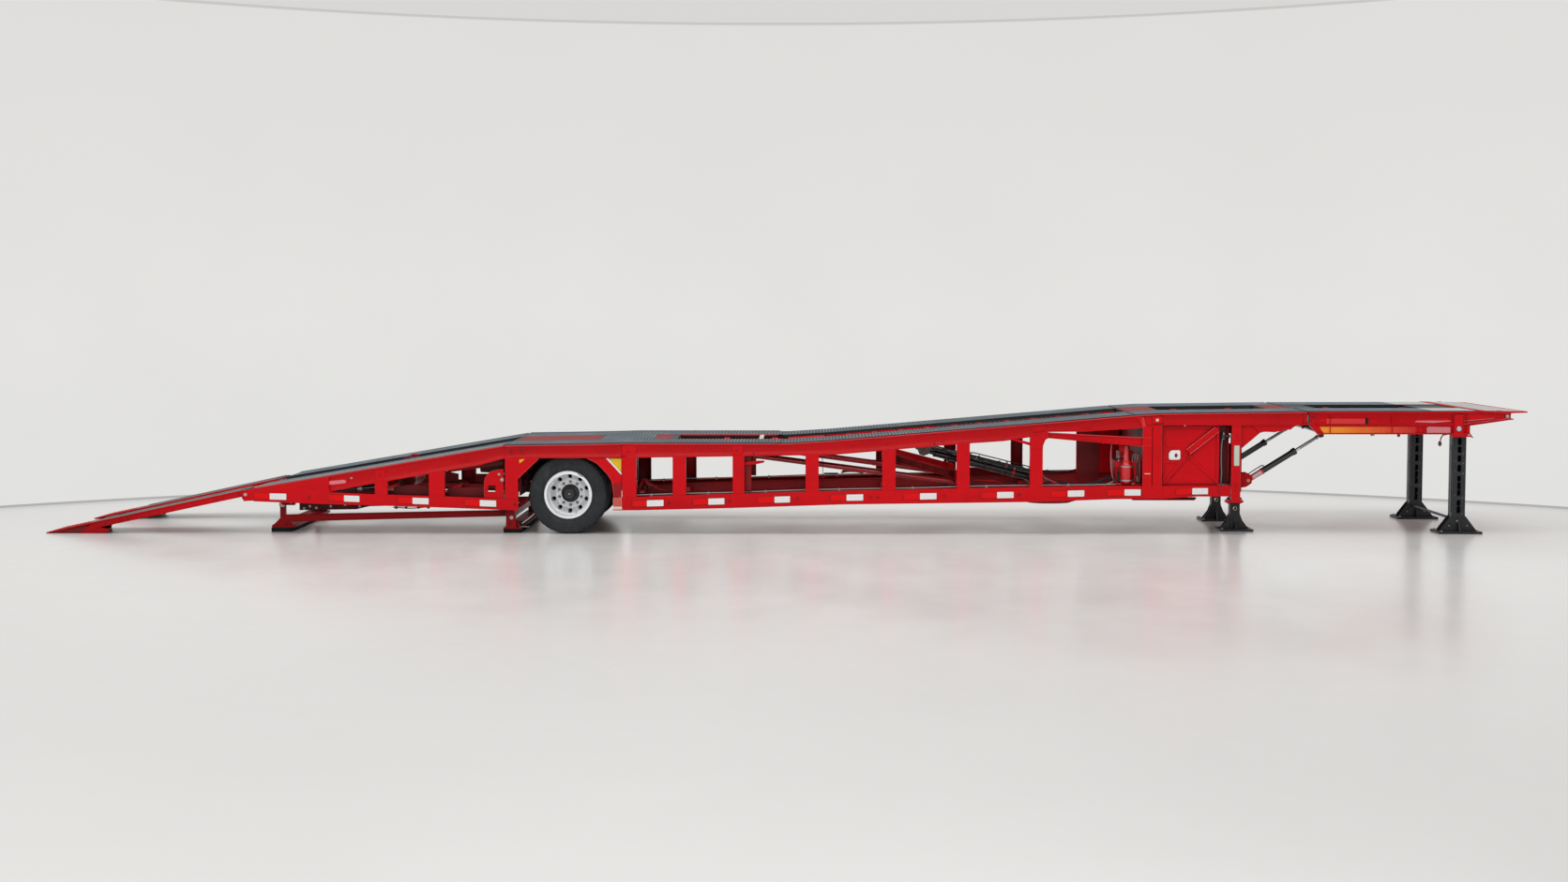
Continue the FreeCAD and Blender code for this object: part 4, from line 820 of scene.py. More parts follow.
# ================================================================== pressed side skins of the upper chords and nose girders, in darker copies of the red: painted shade under the top flange
def cove_skin(pc, s, top, bot, x0, x1, edge, mid, back, mat, step=0.09, rows=10):
    """A shallow hollow-pressed skin: proud along both long edges, deepest along its middle."""
    n = max(2, int(math.ceil((x1 - x0) / step)))
    vs, fs = [], []
    for i in range(n + 1):
        x = x0 + (x1 - x0) * i / n
        zt, zb = top(x), bot(x)
        if zt < zb:
            zt = zb + 0.001
        dish = min(1.0, (zt - zb) / 0.12)
        for j in range(rows + 1):
            t = j / rows
            y = mid + (edge - mid) * dish * (abs(2 * t - 1) ** 2.0)
            vs.append((x, s * y, zb + (zt - zb) * t))
        vs.append((x, s * back, zt))
        vs.append((x, s * back, zb))
    m = rows + 3
    for i in range(n):
        a, b = i * m, (i + 1) * m
        for j in range(m):
            k = (j + 1) % m
            fs.append((a + j, a + k, b + k, b + j) if s < 0 else (b + j, b + k, a + k, a + j))
    fs.append(tuple(range(m)) if s > 0 else tuple(reversed(range(m))))
    e = n * m
    fs.append(tuple(e + j for j in (reversed(range(m)) if s > 0 else range(m))))
    pc.add(vs, fs, mat)


for s, side in ((-1, "right"), (1, "left")):
    cv = Piece("upper_web_skin_" + side, "chassis", "red_paint")
    for x0, x1 in ((-5.500, -3.390), (-3.380, -1.960), (-1.900, -0.350), (-0.340, 1.850), (1.860, 3.080), (3.200, 4.380), (4.640, 6.320)):
        cove_skin(cv, s, lambda x: line(TOP, x) - 0.014, lambda x: line(UP_BOT, x) + 0.012, x0, x1, 1.2455, 1.2368, UWEB - 0.001, mat_red_web_shaded)
    # bright rolled lip along the edge of the top flange
    for x0, x1 in ((-6.420, -3.400), (-3.380, -0.080), (-0.060, 6.370)):
        pts = cut(TOP, x0, x1)
        cv.prism("y", [(x, z + 0.0020) for x, z in pts] + [(x, z - 0.0105) for x, z in reversed(pts)], s * 1.2485, s * 1.2530, mat_red_gloss, 0.0015)
    cv.done()
    cn = Piece("nose_web_skin_" + side, "nose", "red_paint")
    cove_skin(cn, s, lambda x: 1.494, lambda x: 1.3460, 6.470, 8.148, 1.2455, 1.2366, UWEB - 0.001, mat_red_nose_web_shaded)
    cn.done()


# ================================================================== wheels
AX, AZ = -2.618, 0.479
TWIN, OFF, TR, TW, BEAD = 0.905, 0.156, 0.479, 0.270, 0.275


def tyre_rows():
    """Half section of a tyre, (offset from its middle, radius, kind)."""
    h = TW / 2
    rows = [(0.104, BEAD, 0), (0.108, BEAD + 0.010, 0), (0.113, BEAD + 0.020, 0), (0.1185, BEAD + 0.030, 0), (0.1205, BEAD + 0.034, 0),
            (0.1195, BEAD + 0.038, 0), (0.1245, BEAD + 0.046, 0), (0.1290, BEAD + 0.058, 0), (0.1320, BEAD + 0.074, 0),
            (0.1335, BEAD + 0.076, 0), (0.1335, BEAD + 0.079, 0), (0.1325, BEAD + 0.082, 0), (0.1345, BEAD + 0.100, 0),
            (h, BEAD + 0.112, 0), (0.1345, BEAD + 0.130, 0), (0.1330, BEAD + 0.142, 0), (0.1340, BEAD + 0.144, 0), (0.1330, BEAD + 0.147, 0),
            (0.1310, TR - 0.046, 0), (0.1290, TR - 0.034, 1), (0.1265, TR - 0.022, 1), (0.1210, TR - 0.010, 1), (0.1130, TR - 0.0035, 1),
            (0.1020, TR - 0.0015, 1), (0.0860, TR - 0.0005, 1), (0.0780, TR - 0.0005, 2), (0.0750, TR - 0.012, 3), (0.0690, TR - 0.012, 3),
            (0.0660, TR, 2), (0.0440, TR, 2), (0.0300, TR, 2), (0.0270, TR - 0.013, 3), (0.0210, TR - 0.013, 3), (0.0180, TR, 2), (0.0, TR, 2)]
    return rows


def make_tyres(s, side):
    n = 180
    half = tyre_rows()
    prof = half + [(-o, r, k) for o, r, k in reversed(half[:-1])]
    pc = Piece("tyre_pair_" + side, "wheel_" + side, "tyre")
    for yc, flip in ((TWIN + OFF, 0), (TWIN - OFF, 5)):
        vs, fs, nm = [], [], len(prof)
        for k in range(n):
            for j, (o, r, kind) in enumerate(prof):
                a = 2 * math.pi * (k + flip * 0.5) / n
                rr = r
                if kind == 1 and k % 4 == 0:
                    rr -= 0.0075 if r > TR - 0.03 else 0.003          # shoulder notches
                if kind == 2 and abs(o) > 0.02 and (k + (3 if o > 0 else 1)) % 6 == 0:
                    rr -= 0.005                                        # sipes
                a += 0.25 * 2 * math.pi / n * (math.sin(o * 90.0) if kind else 0)
                vs.append((AX + rr * math.cos(a), s * (yc + o), AZ + rr * math.sin(a)))
        # inner face, so that the carcass is closed
        inn = [(-0.100, BEAD + 0.004), (-0.105, BEAD + 0.05), (-0.095, TR - 0.05), (0.0, TR - 0.032), (0.095, TR - 0.05), (0.105, BEAD + 0.05), (0.100, BEAD + 0.004)]
        base = len(vs)
        for k in range(n):
            a = 2 * math.pi * (k + flip * 0.5) / n
            for o, r in inn:
                vs.append((AX + r * math.cos(a), s * (yc + o), AZ + r * math.sin(a)))
        ni = len(inn)
        for k in range(n):
            k2 = (k + 1) % n
            for j in range(nm - 1):
                fs.append((k * nm + j, k * nm + j + 1, k2 * nm + j + 1, k2 * nm + j))
            for j in range(ni - 1):
                fs.append((base + k * ni + j, base + k2 * ni + j, base + k2 * ni + j + 1, base + k * ni + j + 1))
            fs.append((k * nm + nm - 1, base + k * ni, base + k2 * ni, k2 * nm + nm - 1)[::1])
            fs.append((k * nm, k2 * nm, base + k2 * ni + ni - 1, base + k * ni + ni - 1))
        pc.add(vs, fs, mat_tyre)
        # raised ribs on the sidewall that faces out
        for r, t in ((0.452, 0.0016), (0.402, 0.0014), (0.318, 0.0018)):
            so = 1 if yc > TWIN else -1
            off = {0.452: 0.1300, 0.402: 0.1346, 0.318: 0.1230}[r]
            pc.ring((AX, s * (yc + so * off), AZ), (0, s, 0), r, t, mat_tyre, 144, 6)
    o = pc.done()
    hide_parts("tyres_" + side)


def make_wheel_trim(s, side):
    """Everything bolted to the outer disc: nuts, studs, cap, rings, valve and balance weight."""
    yf = TWIN + 0.013
    pc = Piece("wheel_nuts_" + side, "wheel_" + side, "rim_metal")
    for i in range(10):
        a = math.radians(36 * i + 18)
        x, z = AX + 0.1435 * math.cos(a), AZ + 0.1435 * math.sin(a)
        pc.lathe((x, s * yf, z), (0, s, 0), [(0, 0.0205), (0.003, 0.0205), (0.005, 0.0185), (0.005, 0.010)], mat_rim, 20)
        pc.lathe((x, s * (yf + 0.004), z), (0, s, 0), [(0, 0.0172), (0.020, 0.0172), (0.0235, 0.0145), (0.0235, 0.009)], mat_hub, 6)
        pc.lathe((x, s * (yf + 0.020), z), (0, s, 0), [(0, 0.0095), (0.016, 0.0095), (0.019, 0.007), (0.019, 0)], mat_zinc, 14)
    # brushed face ring and pressed steps of the disc
    pc.lathe((AX, s * yf, AZ), (0, s, 0), [(-0.001, 0.1125), (0.0022, 0.1125), (0.0022, 0.1205), (-0.001, 0.1220)], mat_rim_bright, 96, loop=True)
    pc.lathe((AX, s * yf, AZ), (0, s, 0), [(-0.001, 0.1655), (0.0024, 0.1670), (0.0024, 0.1730), (-0.001, 0.1745)], mat_rim_bright, 96, loop=True)
    # ring of hand-hole lips
    for i in range(10):
        a = math.radians(36 * i + 18)
        x, z = AX + 0.213 * math.cos(a), AZ + 0.213 * math.sin(a)
        slope = Vector((-math.cos(a) * 0.30, 1.0 * s, -math.sin(a) * 0.30)).normalized()
        pc.ring((x, s * (TWIN + 0.0285), z), slope, 0.0290, 0.0028, mat_rim_bright, 26, 6)
    # rolled outer lip and the bright bead seat inside it
    ye = TWIN + OFF + 0.116
    pc.ring((AX, s * (ye - 0.003), AZ), (0, s, 0), 0.2895, 0.0050, mat_rim_bright, 120, 10)
    pc.lathe((AX, s * (ye - 0.018), AZ), (0, s, 0), [(0.0, 0.2655), (0.016, 0.2655), (0.017, 0.2600), (0.0, 0.2600)], mat_rim_bright, 96, loop=True)
    pc.ring((AX, s * (TWIN + 0.095), AZ), (0, s, 0), 0.2640, 0.0030, mat_rim, 96, 8)
    # valve stem and a clipped balance weight
    a = math.radians(-72)
    vx, vz = AX + 0.247 * math.cos(a), AZ + 0.247 * math.sin(a)
    pc.tube([(vx, s * (TWIN + 0.045), vz), (vx + 0.004, s * (TWIN + 0.075), vz + 0.006), (vx + 0.002, s * (TWIN + 0.110), vz + 0.008)], 0.0042, mat_brass, 10)
    pc.lathe((vx + 0.002, s * (TWIN + 0.106), vz + 0.008), (0, s, 0), [(0, 0.0058), (0.014, 0.0058), (0.016, 0.004), (0.016, 0)], mat_hub, 14)
    for k in range(9):
        a = math.radians(52 + k * 1.6)
        pc.box(AX + 0.2835 * math.cos(a) - 0.0045, AX + 0.2835 * math.cos(a) + 0.0045, s * (ye - 0.001), s * (ye + 0.005),
               AZ + 0.2835 * math.sin(a) - 0.0045, AZ + 0.2835 * math.sin(a) + 0.0045, mat_grey, 0.001)
    pc.done()
    cap = Piece("hub_cap_" + side, "wheel_" + side, "hub_black")
    y0 = TWIN + 0.026
    cap.lathe((AX, s * (TWIN + 0.012), AZ), (0, s, 0), [(0.0, 0.112), (0.014, 0.112), (0.018, 0.108), (0.020, 0.099), (0.020, 0.094)], mat_hub, 72)
    for r, t in ((0.1035, 0.0024), (0.0885, 0.0030), (0.0700, 0.0026)):
        y = TWIN + (0.0325 if r > 0.1 else 0.127 if r > 0.08 else 0.137)
        cap.ring((AX, s * y, AZ), (0, s, 0), r, t, mat_hub, 60, 8)
    cap.lathe((AX, s * (TWIN + 0.1405), AZ), (0, s, 0), [(0, 0.058), (0.003, 0.058), (0.0046, 0.0555), (0.0046, 0.046), (0.0026, 0.043), (0.0026, 0.018),
                                                     (0.0052, 0.016), (0.0052, 0)], mat_hub, 60)
    cap.lathe((AX, s * (TWIN + 0.145), AZ), (0, s, 0), [(0, 0.0105), (0.004, 0.0105), (0.006, 0.008), (0.006, 0)], mat_zinc, 20)
    for i in range(6):
        a = math.radians(60 * i + 12)
        cap.bolt((AX + 0.1005 * math.cos(a), s * (TWIN + 0.031), AZ + 0.1005 * math.sin(a)), (0, s, 0), 0.0085, mat_zinc, washer=False, head=0.45, low=True)
    cap.done()


mat_rim_bright = steel("finish_rim_polished", lin(232, 234, 236), rough=0.24, metal=0.55, scale=90.0, grain=0.03, var=0.04)
mat_brass = steel("finish_valve_brass", lin(186, 158, 96), rough=0.35, metal=0.9, scale=80.0)
for s, side in ((-1, "right"), (1, "left")):
    make_tyres(s, side)
    make_wheel_trim(s, side)

# brake chambers, their brackets and hoses on the axle
br = Piece("brake_gear", "chassis", "black_paint")
for s in S:
    y = s * 0.330
    br.lathe((AX + 0.150, y, AZ + 0.020), (1, 0, 0), [(0, 0.050), (0.012, 0.078), (0.052, 0.080), (0.058, 0.086), (0.070, 0.086), (0.076, 0.080),
                                                    (0.120, 0.076), (0.148, 0.060), (0.150, 0.0)], mat_black, 36)
    for k in range(10):
        a = 2 * math.pi * k / 10
        br.bolt((AX + 0.221, y + 0.083 * math.cos(a), AZ + 0.020 + 0.083 * math.sin(a)), (1, 0, 0), 0.008, mat_zinc, washer=False, head=0.5)
    br.rod((AX + 0.035, y, AZ + 0.020), (AX + 0.150, y, AZ + 0.020), 0.009, mat_zinc, 12)
    br.tube([(AX + 0.250, y, AZ + 0.095), (AX + 0.255, y * 0.9, AZ + 0.20), (AX + 0.20, y * 0.7, AZ + 0.32), (AX + 0.05, y * 0.5, AZ + 0.40)], 0.008, mat_hose, 10)
    for dx in (-0.070, 0.070):
        for dy in (0.490, 0.540):
            br.rod((AX + dx, s * dy, AZ - 0.078), (AX + dx, s * dy, AZ + 0.150), 0.009, mat_zinc, 12)
            br.bolt((AX + dx, s * dy, AZ + 0.138), (0, 0, 1), 0.026, mat_zinc, head=0.5)
    br.box(AX - 0.095, AX + 0.095, s * 0.468, s * 0.562, AZ - 0.094, AZ - 0.074, mat_black, 0.003)
    br.box(AX - 0.085, AX + 0.085, s * 0.470, s * 0.560, AZ + 0.122, AZ + 0.140, mat_black, 0.003)
    # leaf edges: five thin leaves drawn into the spring pack
    for k in range(5):
        hl = 0.600 - 0.085 * k
        z = AZ + 0.118 - 0.0075 * k
        br.tube([(AX - hl, s * 0.5585, z + 0.042 - 0.009 * k), (AX - hl * 0.5, s * 0.5585, z + 0.010), (AX, s * 0.5585, z),
                 (AX + hl * 0.5, s * 0.5585, z + 0.010), (AX + hl, s * 0.5585, z + 0.042 - 0.009 * k)], 0.0028, mat_black, 6, n=5)
br.done()


# ================================================================== decks: serrated cross bars, edge strips, centre plates
def tread_bars(name, body, slot, mat, x0, x1, y0, y1, top, pitch=0.040, h=0.0055, teeth=14, skip=None, lift=0.008):
    """Cross bars of a wheel track, each with a notched crest."""
    vs, fs = [], []
    n = max(1, int((x1 - x0 - 0.02) / pitch))
    step = (x1 - x0 - 0.02) / n
    ya, yb = min(y0, y1) + 0.012, max(y0, y1) - 0.012
    for i in range(n):
        x = x0 + 0.01 + step * (i + 0.5)
        if skip and skip(x):
            continue
        z = top(x) + lift
        g = (top(x + 0.01) - top(x - 0.01)) / 0.02
        base = len(vs)
        m = teeth * 2
        for j in range(m + 1):
            y = ya + (yb - ya) * j / m
            for e in (0, 1):
                hh = h * (1.0 if (j + e) % 2 == 0 else 0.45)
                if (j == 0 and e == 0) or (j == m and e == 1):
                    continue
                for dx, k in ((-0.0095, 0.0), (-0.0050, 1.0), (0.0050, 1.0), (0.0095, 0.0)):
                    vs.append((x + dx, y, z + g * dx + (hh if k else -0.001)))
        cols = (len(vs) - base) // 4
        for c in range(cols - 1):
            a, b = base + 4 * c, base + 4 * (c + 1)
            for q in range(3):
                fs.append((a + q, b + q, b + q + 1, a + q + 1))
            fs.append((a + 3, b + 3, b, a))
        fs.append((base, base + 1, base + 2, base + 3))
        e = base + 4 * (cols - 1)
        fs.append((e, e + 3, e + 2, e + 1))
    pc = Piece(name, body, slot)
    pc.add(vs, fs, mat)
    return pc


def deck_line(x):
    return line(TOP, x)


DECKS = [("rear_track", "chassis", -6.478, -3.396, 1.185), ("axle_track", "chassis", -3.390, -0.042, 1.185),
         ("mid_track", "mid_deck", -0.030, 4.292, 1.176), ("front_track", "chassis", 4.306, 6.374, 1.185)]
for s, side in ((-1, "right"), (1, "left")):
    for nm, body, x0, x1, yo in DECKS:
        pc = tread_bars(nm + "_bars_" + side, body, "deck_tread", mat_tread, x0, x1, s * 0.470, s * yo, deck_line)
        # rolled edge strips that close the ends of the bars
        for y in (0.476, yo - 0.006):
            pts = cut(TOP, x0 + 0.004, x1 - 0.004)
            pc.prism("y", [(x, z + 0.0125) for x, z in pts] + [(x, z + 0.0065) for x, z in reversed(pts)], s * (y - 0.006), s * (y + 0.006), mat_tread_edge, 0.0015)
        # strip along the outer edge of the rear and axle tracks; the pale one on the rear track is a painted highlight
        # of that edge
        if nm in ("rear_track", "axle_track"):
            pts = cut(TOP, x0 + 0.010, x1 - 0.010)
            pc.prism("y", [(x, z + 0.0200) for x, z in pts] + [(x, z + 0.0010) for x, z in reversed(pts)], s * (yo + 0.0015), s * (yo + 0.0065), mat_plate_pale if nm == "rear_track" else mat_tread_edge, 0.001)
        pc.done()
    # nose track
    def nose_line(x):
        return 1.510 + 0.005 * (x - 6.400) / 2.040 - 0.008
    pc = tread_bars("nose_track_bars_" + side, "nose", "deck_tread", mat_tread, 6.400, 7.900, s * 0.470, s * 1.185, nose_line, h=0.0045)
    pc.prism("y", [(6.404, 1.5135), (7.900, 1.5170), (7.900, 1.5105), (6.404, 1.5070)], s * 1.173, s * 1.185, mat_tread_edge, 0.0012)
    pc.prism("y", [(6.404, 1.5135), (7.900, 1.5170), (7.900, 1.5105), (6.404, 1.5070)], s * 0.470, s * 0.482, mat_tread_edge, 0.0012)
    pc.done()
    # smooth pale plates at the front of the nose
    pl = Piece("nose_smooth_plate_" + side, "nose", "deck_tread")
    pl.prism("y", [(7.905, 1.5142), (8.438, 1.5152), (8.438, 1.5182), (7.905, 1.5172)], s * 0.472, s * 1.183, mat_plate_pale, 0.001)
    for i in range(7):
        for j in range(4):
            x, y = 7.94 + 0.078 * i, 0.55 + 0.19 * j
            pl.lathe((x, s * y, 1.5172), (0, 0, 1), [(0, 0.010), (0.0018, 0.0085), (0.0026, 0.005), (0.0026, 0)], mat_plate_pale, 12)
    pl.done()

# centre plates between the tracks; the sheets use the darker red copy, painted shade
cp = Piece("deck_centre_plates", "chassis", "red_paint")


def sheet_on_deck(pc, x0, x1, y0, y1, z0, z1, mat, c=0.0008):
    pts = cut(TOP, x0, x1)
    pc.prism("y", [(x, z + z1) for x, z in pts] + [(x, z + z0) for x, z in reversed(pts)], y0, y1, mat, c)


for x0, x1 in ((-3.341, -2.306), (-1.616, -1.413)):
    sheet_on_deck(cp, x0, x1, -0.463, 0.463, 0.0075, 0.0105, mat_red_shaded)
    n = max(2, int((x1 - x0) / 0.17))
    for k in range(n):
        x = x0 + 0.05 + (x1 - x0 - 0.1) * k / (n - 1)
        for y in (-0.435, -0.2, 0.2, 0.435):
            z = line(TOP, x) + 0.0105
            cp.lathe((x, y, z), (0, 0, 1), [(0, 0.009), (0.002, 0.0085), (0.0035, 0.005), (0.0035, 0)], mat_red, 12)
# low rim round the open hatch, with the cream wear mark on its front edge
for y in (-0.463, 0.463):
    cp.box(-1.335, -0.078, y - 0.012, y + 0.012, 1.104, 1.1215, mat_red, 0.002)
cp.box(-0.300, -0.245, -0.44, 0.44, 1.1085, 1.1205, mat_cream, 0.002)
for x0, x1 in ((4.312, 4.694), (6.066, 6.370)):
    sheet_on_deck(cp, x0, x1, -0.460, 0.460, 0.0075, 0.0095, mat_red_shaded)
    for y in (-0.42, -0.14, 0.14, 0.42):
        for x in (x0 + 0.05, x1 - 0.05):
            cp.lathe((x, y, line(TOP, x) + 0.0095), (0, 0, 1), [(0, 0.009), (0.002, 0.0085), (0.0035, 0.005), (0.0035, 0)], mat_red, 12)
# tread covers over the joint between the axle deck and the mid deck
for s in S:
    cp.box(-0.0745, -0.018, s * 0.470, s * 1.185, 1.1125, 1.1235, mat_tread_shaded, 0.001)
    for x in (-0.066, -0.030):
        cp.box(x - 0.004, x + 0.004, s * 0.480, s * 1.176, 1.1230, 1.1265, mat_tread, 0.001)
cp.done()
ct = tread_bars("axle_centre_bars", "chassis", "deck_tread", mat_tread, -2.300, -1.620, -0.460, 0.460, deck_line, teeth=28)
ct.done()

# mid deck centre: red sheet over its rear end, dark mesh sheets further forward that paint the shade of the open centre
mc = Piece("mid_deck_centre", "mid_deck", "red_paint")
sheet_on_deck(mc, 0.062, 0.526, -0.466, 0.466, -0.0265, -0.0225, mat_red)
for k in range(13):
    x = 0.120 + 0.340 * k
    z0 = line(TOP, x)
    for y in (-0.40, 0.0, 0.40):
        mc.bolt((x + 0.035, y, line(TOP, x + 0.035) - 0.0275), (0, 0, 1), 0.016, mat_red, head=0.4)
    for s in S:
        mc.weld((x + 0.002, s * 0.4685, z0 - 0.030), (x + 0.068, s * 0.4685, line(TOP, x + 0.068) - 0.030), 0.004, mat_red)
mc.done()
ms = tread_bars("mid_centre_bars", "mid_deck", "deck_tread", mat_tread_shaded, 1.960, 4.095, -0.462, 0.462, deck_line, pitch=0.060, teeth=20, lift=-0.0255)
pts = None
for y in (-0.455, -0.23, 0.0, 0.23, 0.455):
    p = cut(TOP, 1.960, 4.095)
    ms.prism("y", [(x, z - 0.0235) for x, z in p] + [(x, z - 0.0280) for x, z in reversed(p)], y - 0.006, y + 0.006, mat_tread_shaded, 0.001)
ms.done()

# pale tread plate over the nose tip
tpz = lambda x: 1.521 - (x - 8.446) / (9.037 - 8.446) * 0.010
tc_ = Piece("nose_tip_tread", "nose", "deck_tread")
tc_.prism("y", [(8.540, tpz(8.540) + 0.0012), (8.975, tpz(8.975) + 0.0012), (8.975, tpz(8.975) - 0.0010), (8.540, tpz(8.540) - 0.0010)], -1.215, 1.215, mat_plate_pale, 0.0004)
tc_.done()


# ================================================================== ramps
RT0, RT1 = (-9.037, 0.012), (-6.618, 0.532)


def ramp_top(x):
    return RT0[1] + (RT1[1] - RT0[1]) * (x - RT0[0]) / (RT1[0] - RT0[0])


VD = 0.078 / math.cos(math.atan2(RT1[1] - RT0[1], RT1[0] - RT0[0]))
for s, side in ((-1, "right"), (1, "left")):
    body = "ramp_" + side
    pc = tread_bars("ramp_bars_" + side, body, "ramp_tread", mat_rtread, -8.500, -6.640, s * 0.600, s * 1.155, ramp_top, pitch=0.046, h=0.0075,
                    teeth=14, lift=-0.004)
    # pale strips along both edges of the ramp tread: painted highlights of the edges
    for y in (0.6115, 1.1435):
        pc.prism("y", [(-8.500, ramp_top(-8.500) - 0.0045), (-6.640, ramp_top(-6.640) - 0.0045), (-6.640, ramp_top(-6.640) + 0.010),
                       (-8.500, ramp_top(-8.500) + 0.010)], s * (y - 0.005), s * (y + 0.005), mat_plate_pale, 0.001)
    pc.done()
    fl = Piece("ramp_flap_ribs_" + side, body, "red_paint")
    for k in range(9):
        x = -8.560 - 0.050 * k
        z = RT0[1] + (ramp_top(-8.506) - RT0[1]) * (x - RT0[0]) / (-8.506 - RT0[0])
        fl.prism("y", [(x - 0.006, z - 0.002), (x + 0.006, z - 0.000), (x + 0.003, z + 0.0045), (x - 0.003, z + 0.0035)], s * 0.585, s * 1.170, mat_red, 0.0006)
    # side cheeks and ribs that close the wedge under the flap
    for y0, y1 in ((1.180, 1.190), (0.566, 0.576), (0.870, 0.880)):
        fl.prism("y", [(-8.960, 0.0015), (-8.500, 0.0015), (-8.500, 0.098), (-8.960, 0.0155)], s * y0, s * y1, mat_red_shaded, 0.0008)
    for x in (-8.84, -8.72, -8.60):
        zt = 0.012 + (ramp_top(-8.506) - 0.012) * (x + 9.037) / 0.531 - 0.014
        fl.box(x - 0.005, x + 0.005, s * 0.580, s * 1.178, 0.0015, zt, mat_red_shaded, 0.0008)
    fl.box(-9.034, -9.010, s * 0.562, s * 1.193, 0.0005, 0.0115, mat_pin, 0.002)
    fl.done()
    bm_ = Piece("ramp_beam_trim_" + side, body, "red_paint")
    for y_in, y_out, sg in ((1.195, 1.2005, 1), (0.5605, 0.555, -1)):
        ya, yb = s * (y_in - 0.001 * sg), s * y_out
        # rolled flanges along the top and the bottom of the beam web
        bm_.prism("y", [(-8.500, ramp_top(-8.500)), (-6.640, ramp_top(-6.640)), (-6.640, ramp_top(-6.640) - 0.014), (-8.500, ramp_top(-8.500) - 0.014)], ya, yb, mat_red, 0.0015)
        bm_.prism("y", [(-8.420, ramp_top(-8.420) - VD + 0.013), (-6.640, ramp_top(-6.640) - VD + 0.013), (-6.640, ramp_top(-6.640) - VD), (-8.420, ramp_top(-8.420) - VD + 0.001)],
                  ya, yb, mat_red, 0.0015)
        for x in (-8.12, -7.66, -7.22, -6.86):
            bm_.prism("y", [(x, ramp_top(x) - VD + 0.012), (x + 0.010, ramp_top(x + 0.010) - VD + 0.012), (x + 0.010, ramp_top(x + 0.010) - 0.013), (x, ramp_top(x) - 0.013)],
                      ya, s * (y_out - 0.0015 * sg), mat_red, 0.001)
        # rung ends show as oval plug welds
        for i in range(7):
            x = -8.330 + 0.275 * i + 0.025
            bm_.lathe((x, s * (y_in - 0.002 * sg), ramp_top(x) - 0.044), (0, s * sg, 0), [(0, 0.013), (0.0035, 0.012), (0.005, 0.007), (0.005, 0)], mat_red_shaded, 16)
    # gusset over the foot and the dark sole plate
    bm_.prism("y", [(-8.640, 0.001), (-8.300, 0.001), (-8.240, 0.050), (-8.420, 0.085), (-8.500, 0.088)], s * 1.1945, s * 1.1985, mat_red, 0.0015)
    bm_.box(-8.636, -8.444, s * 1.152, s * 1.193, 0.0005, 0.008, mat_rubberpad, 0.002)
    bm_.box(-8.636, -8.444, s * 0.562, s * 0.603, 0.0005, 0.008, mat_rubberpad, 0.002)
    # hinge eyes: bushes, grease nipples, welds round the eye
    for y in (1.195, 1.150, 0.605, 0.560):
        sg = 1 if y in (1.195, 0.605) else -1
        bm_.ring((-6.562, s * y, 0.485), (0, s, 0), 0.0285, 0.0035, mat_red, 32, 8)
        bm_.lathe((-6.562, s * y, 0.485), (0, s * sg, 0), [(-0.001, 0.0205), (0.0035, 0.0205), (0.0035, 0.0255), (-0.001, 0.0255)], mat_pin, 30, loop=True)
    bm_.lathe((-6.590, s * 1.170, 0.508), (-0.6, 0, 0.8), [(0, 0.005), (0.010, 0.005), (0.012, 0.0035), (0.018, 0.0035), (0.020, 0)], mat_zinc, 10)
    # lifting handle folded against the inner beam
    bm_.tube([(-7.96, s * 0.610, ramp_top(-7.96) - 0.030), (-7.96, s * 0.655, ramp_top(-7.96) - 0.034), (-7.80, s * 0.655, ramp_top(-7.80) - 0.034),
              (-7.80, s * 0.610, ramp_top(-7.80) - 0.030)], 0.006, mat_red_shaded, 8, n=4)
    bm_.done()

# hinge line on the trailer end: shaft collars, lock plates, end nuts
hg = Piece("ramp_hinge_hardware", "chassis", "pin_steel")
for s in S:
    for y in (0.5515, 0.530, 1.2075):
        hg.lathe((-6.562, s * y, 0.485), (0, s, 0), [(-0.0065, 0.0205), (0.0065, 0.0205), (0.0065, 0.030), (0.005, 0.0325), (-0.005, 0.0325), (-0.0065, 0.030)], mat_pin, 32, loop=True)
    hg.lathe((-6.562, s * 1.2492, 0.485), (0, s, 0), [(0, 0.033), (0.0032, 0.033), (0.0042, 0.031), (0.0042, 0.021)], mat_red, 32)
    hg.lathe((-6.562, s * 1.250, 0.485), (0, s, 0), [(0, 0.0195), (0.003, 0.0195), (0.0038, 0.0175), (0.0038, 0)], mat_zinc, 6)
    for x, z in ((-6.520, 0.455), (-6.500, 0.500)):
        hg.lathe((x, s * 1.2492, z), (0, s, 0), [(0, 0.010), (0.003, 0.010), (0.0042, 0.007), (0.0042, 0)], mat_red, 14)
hg.done()

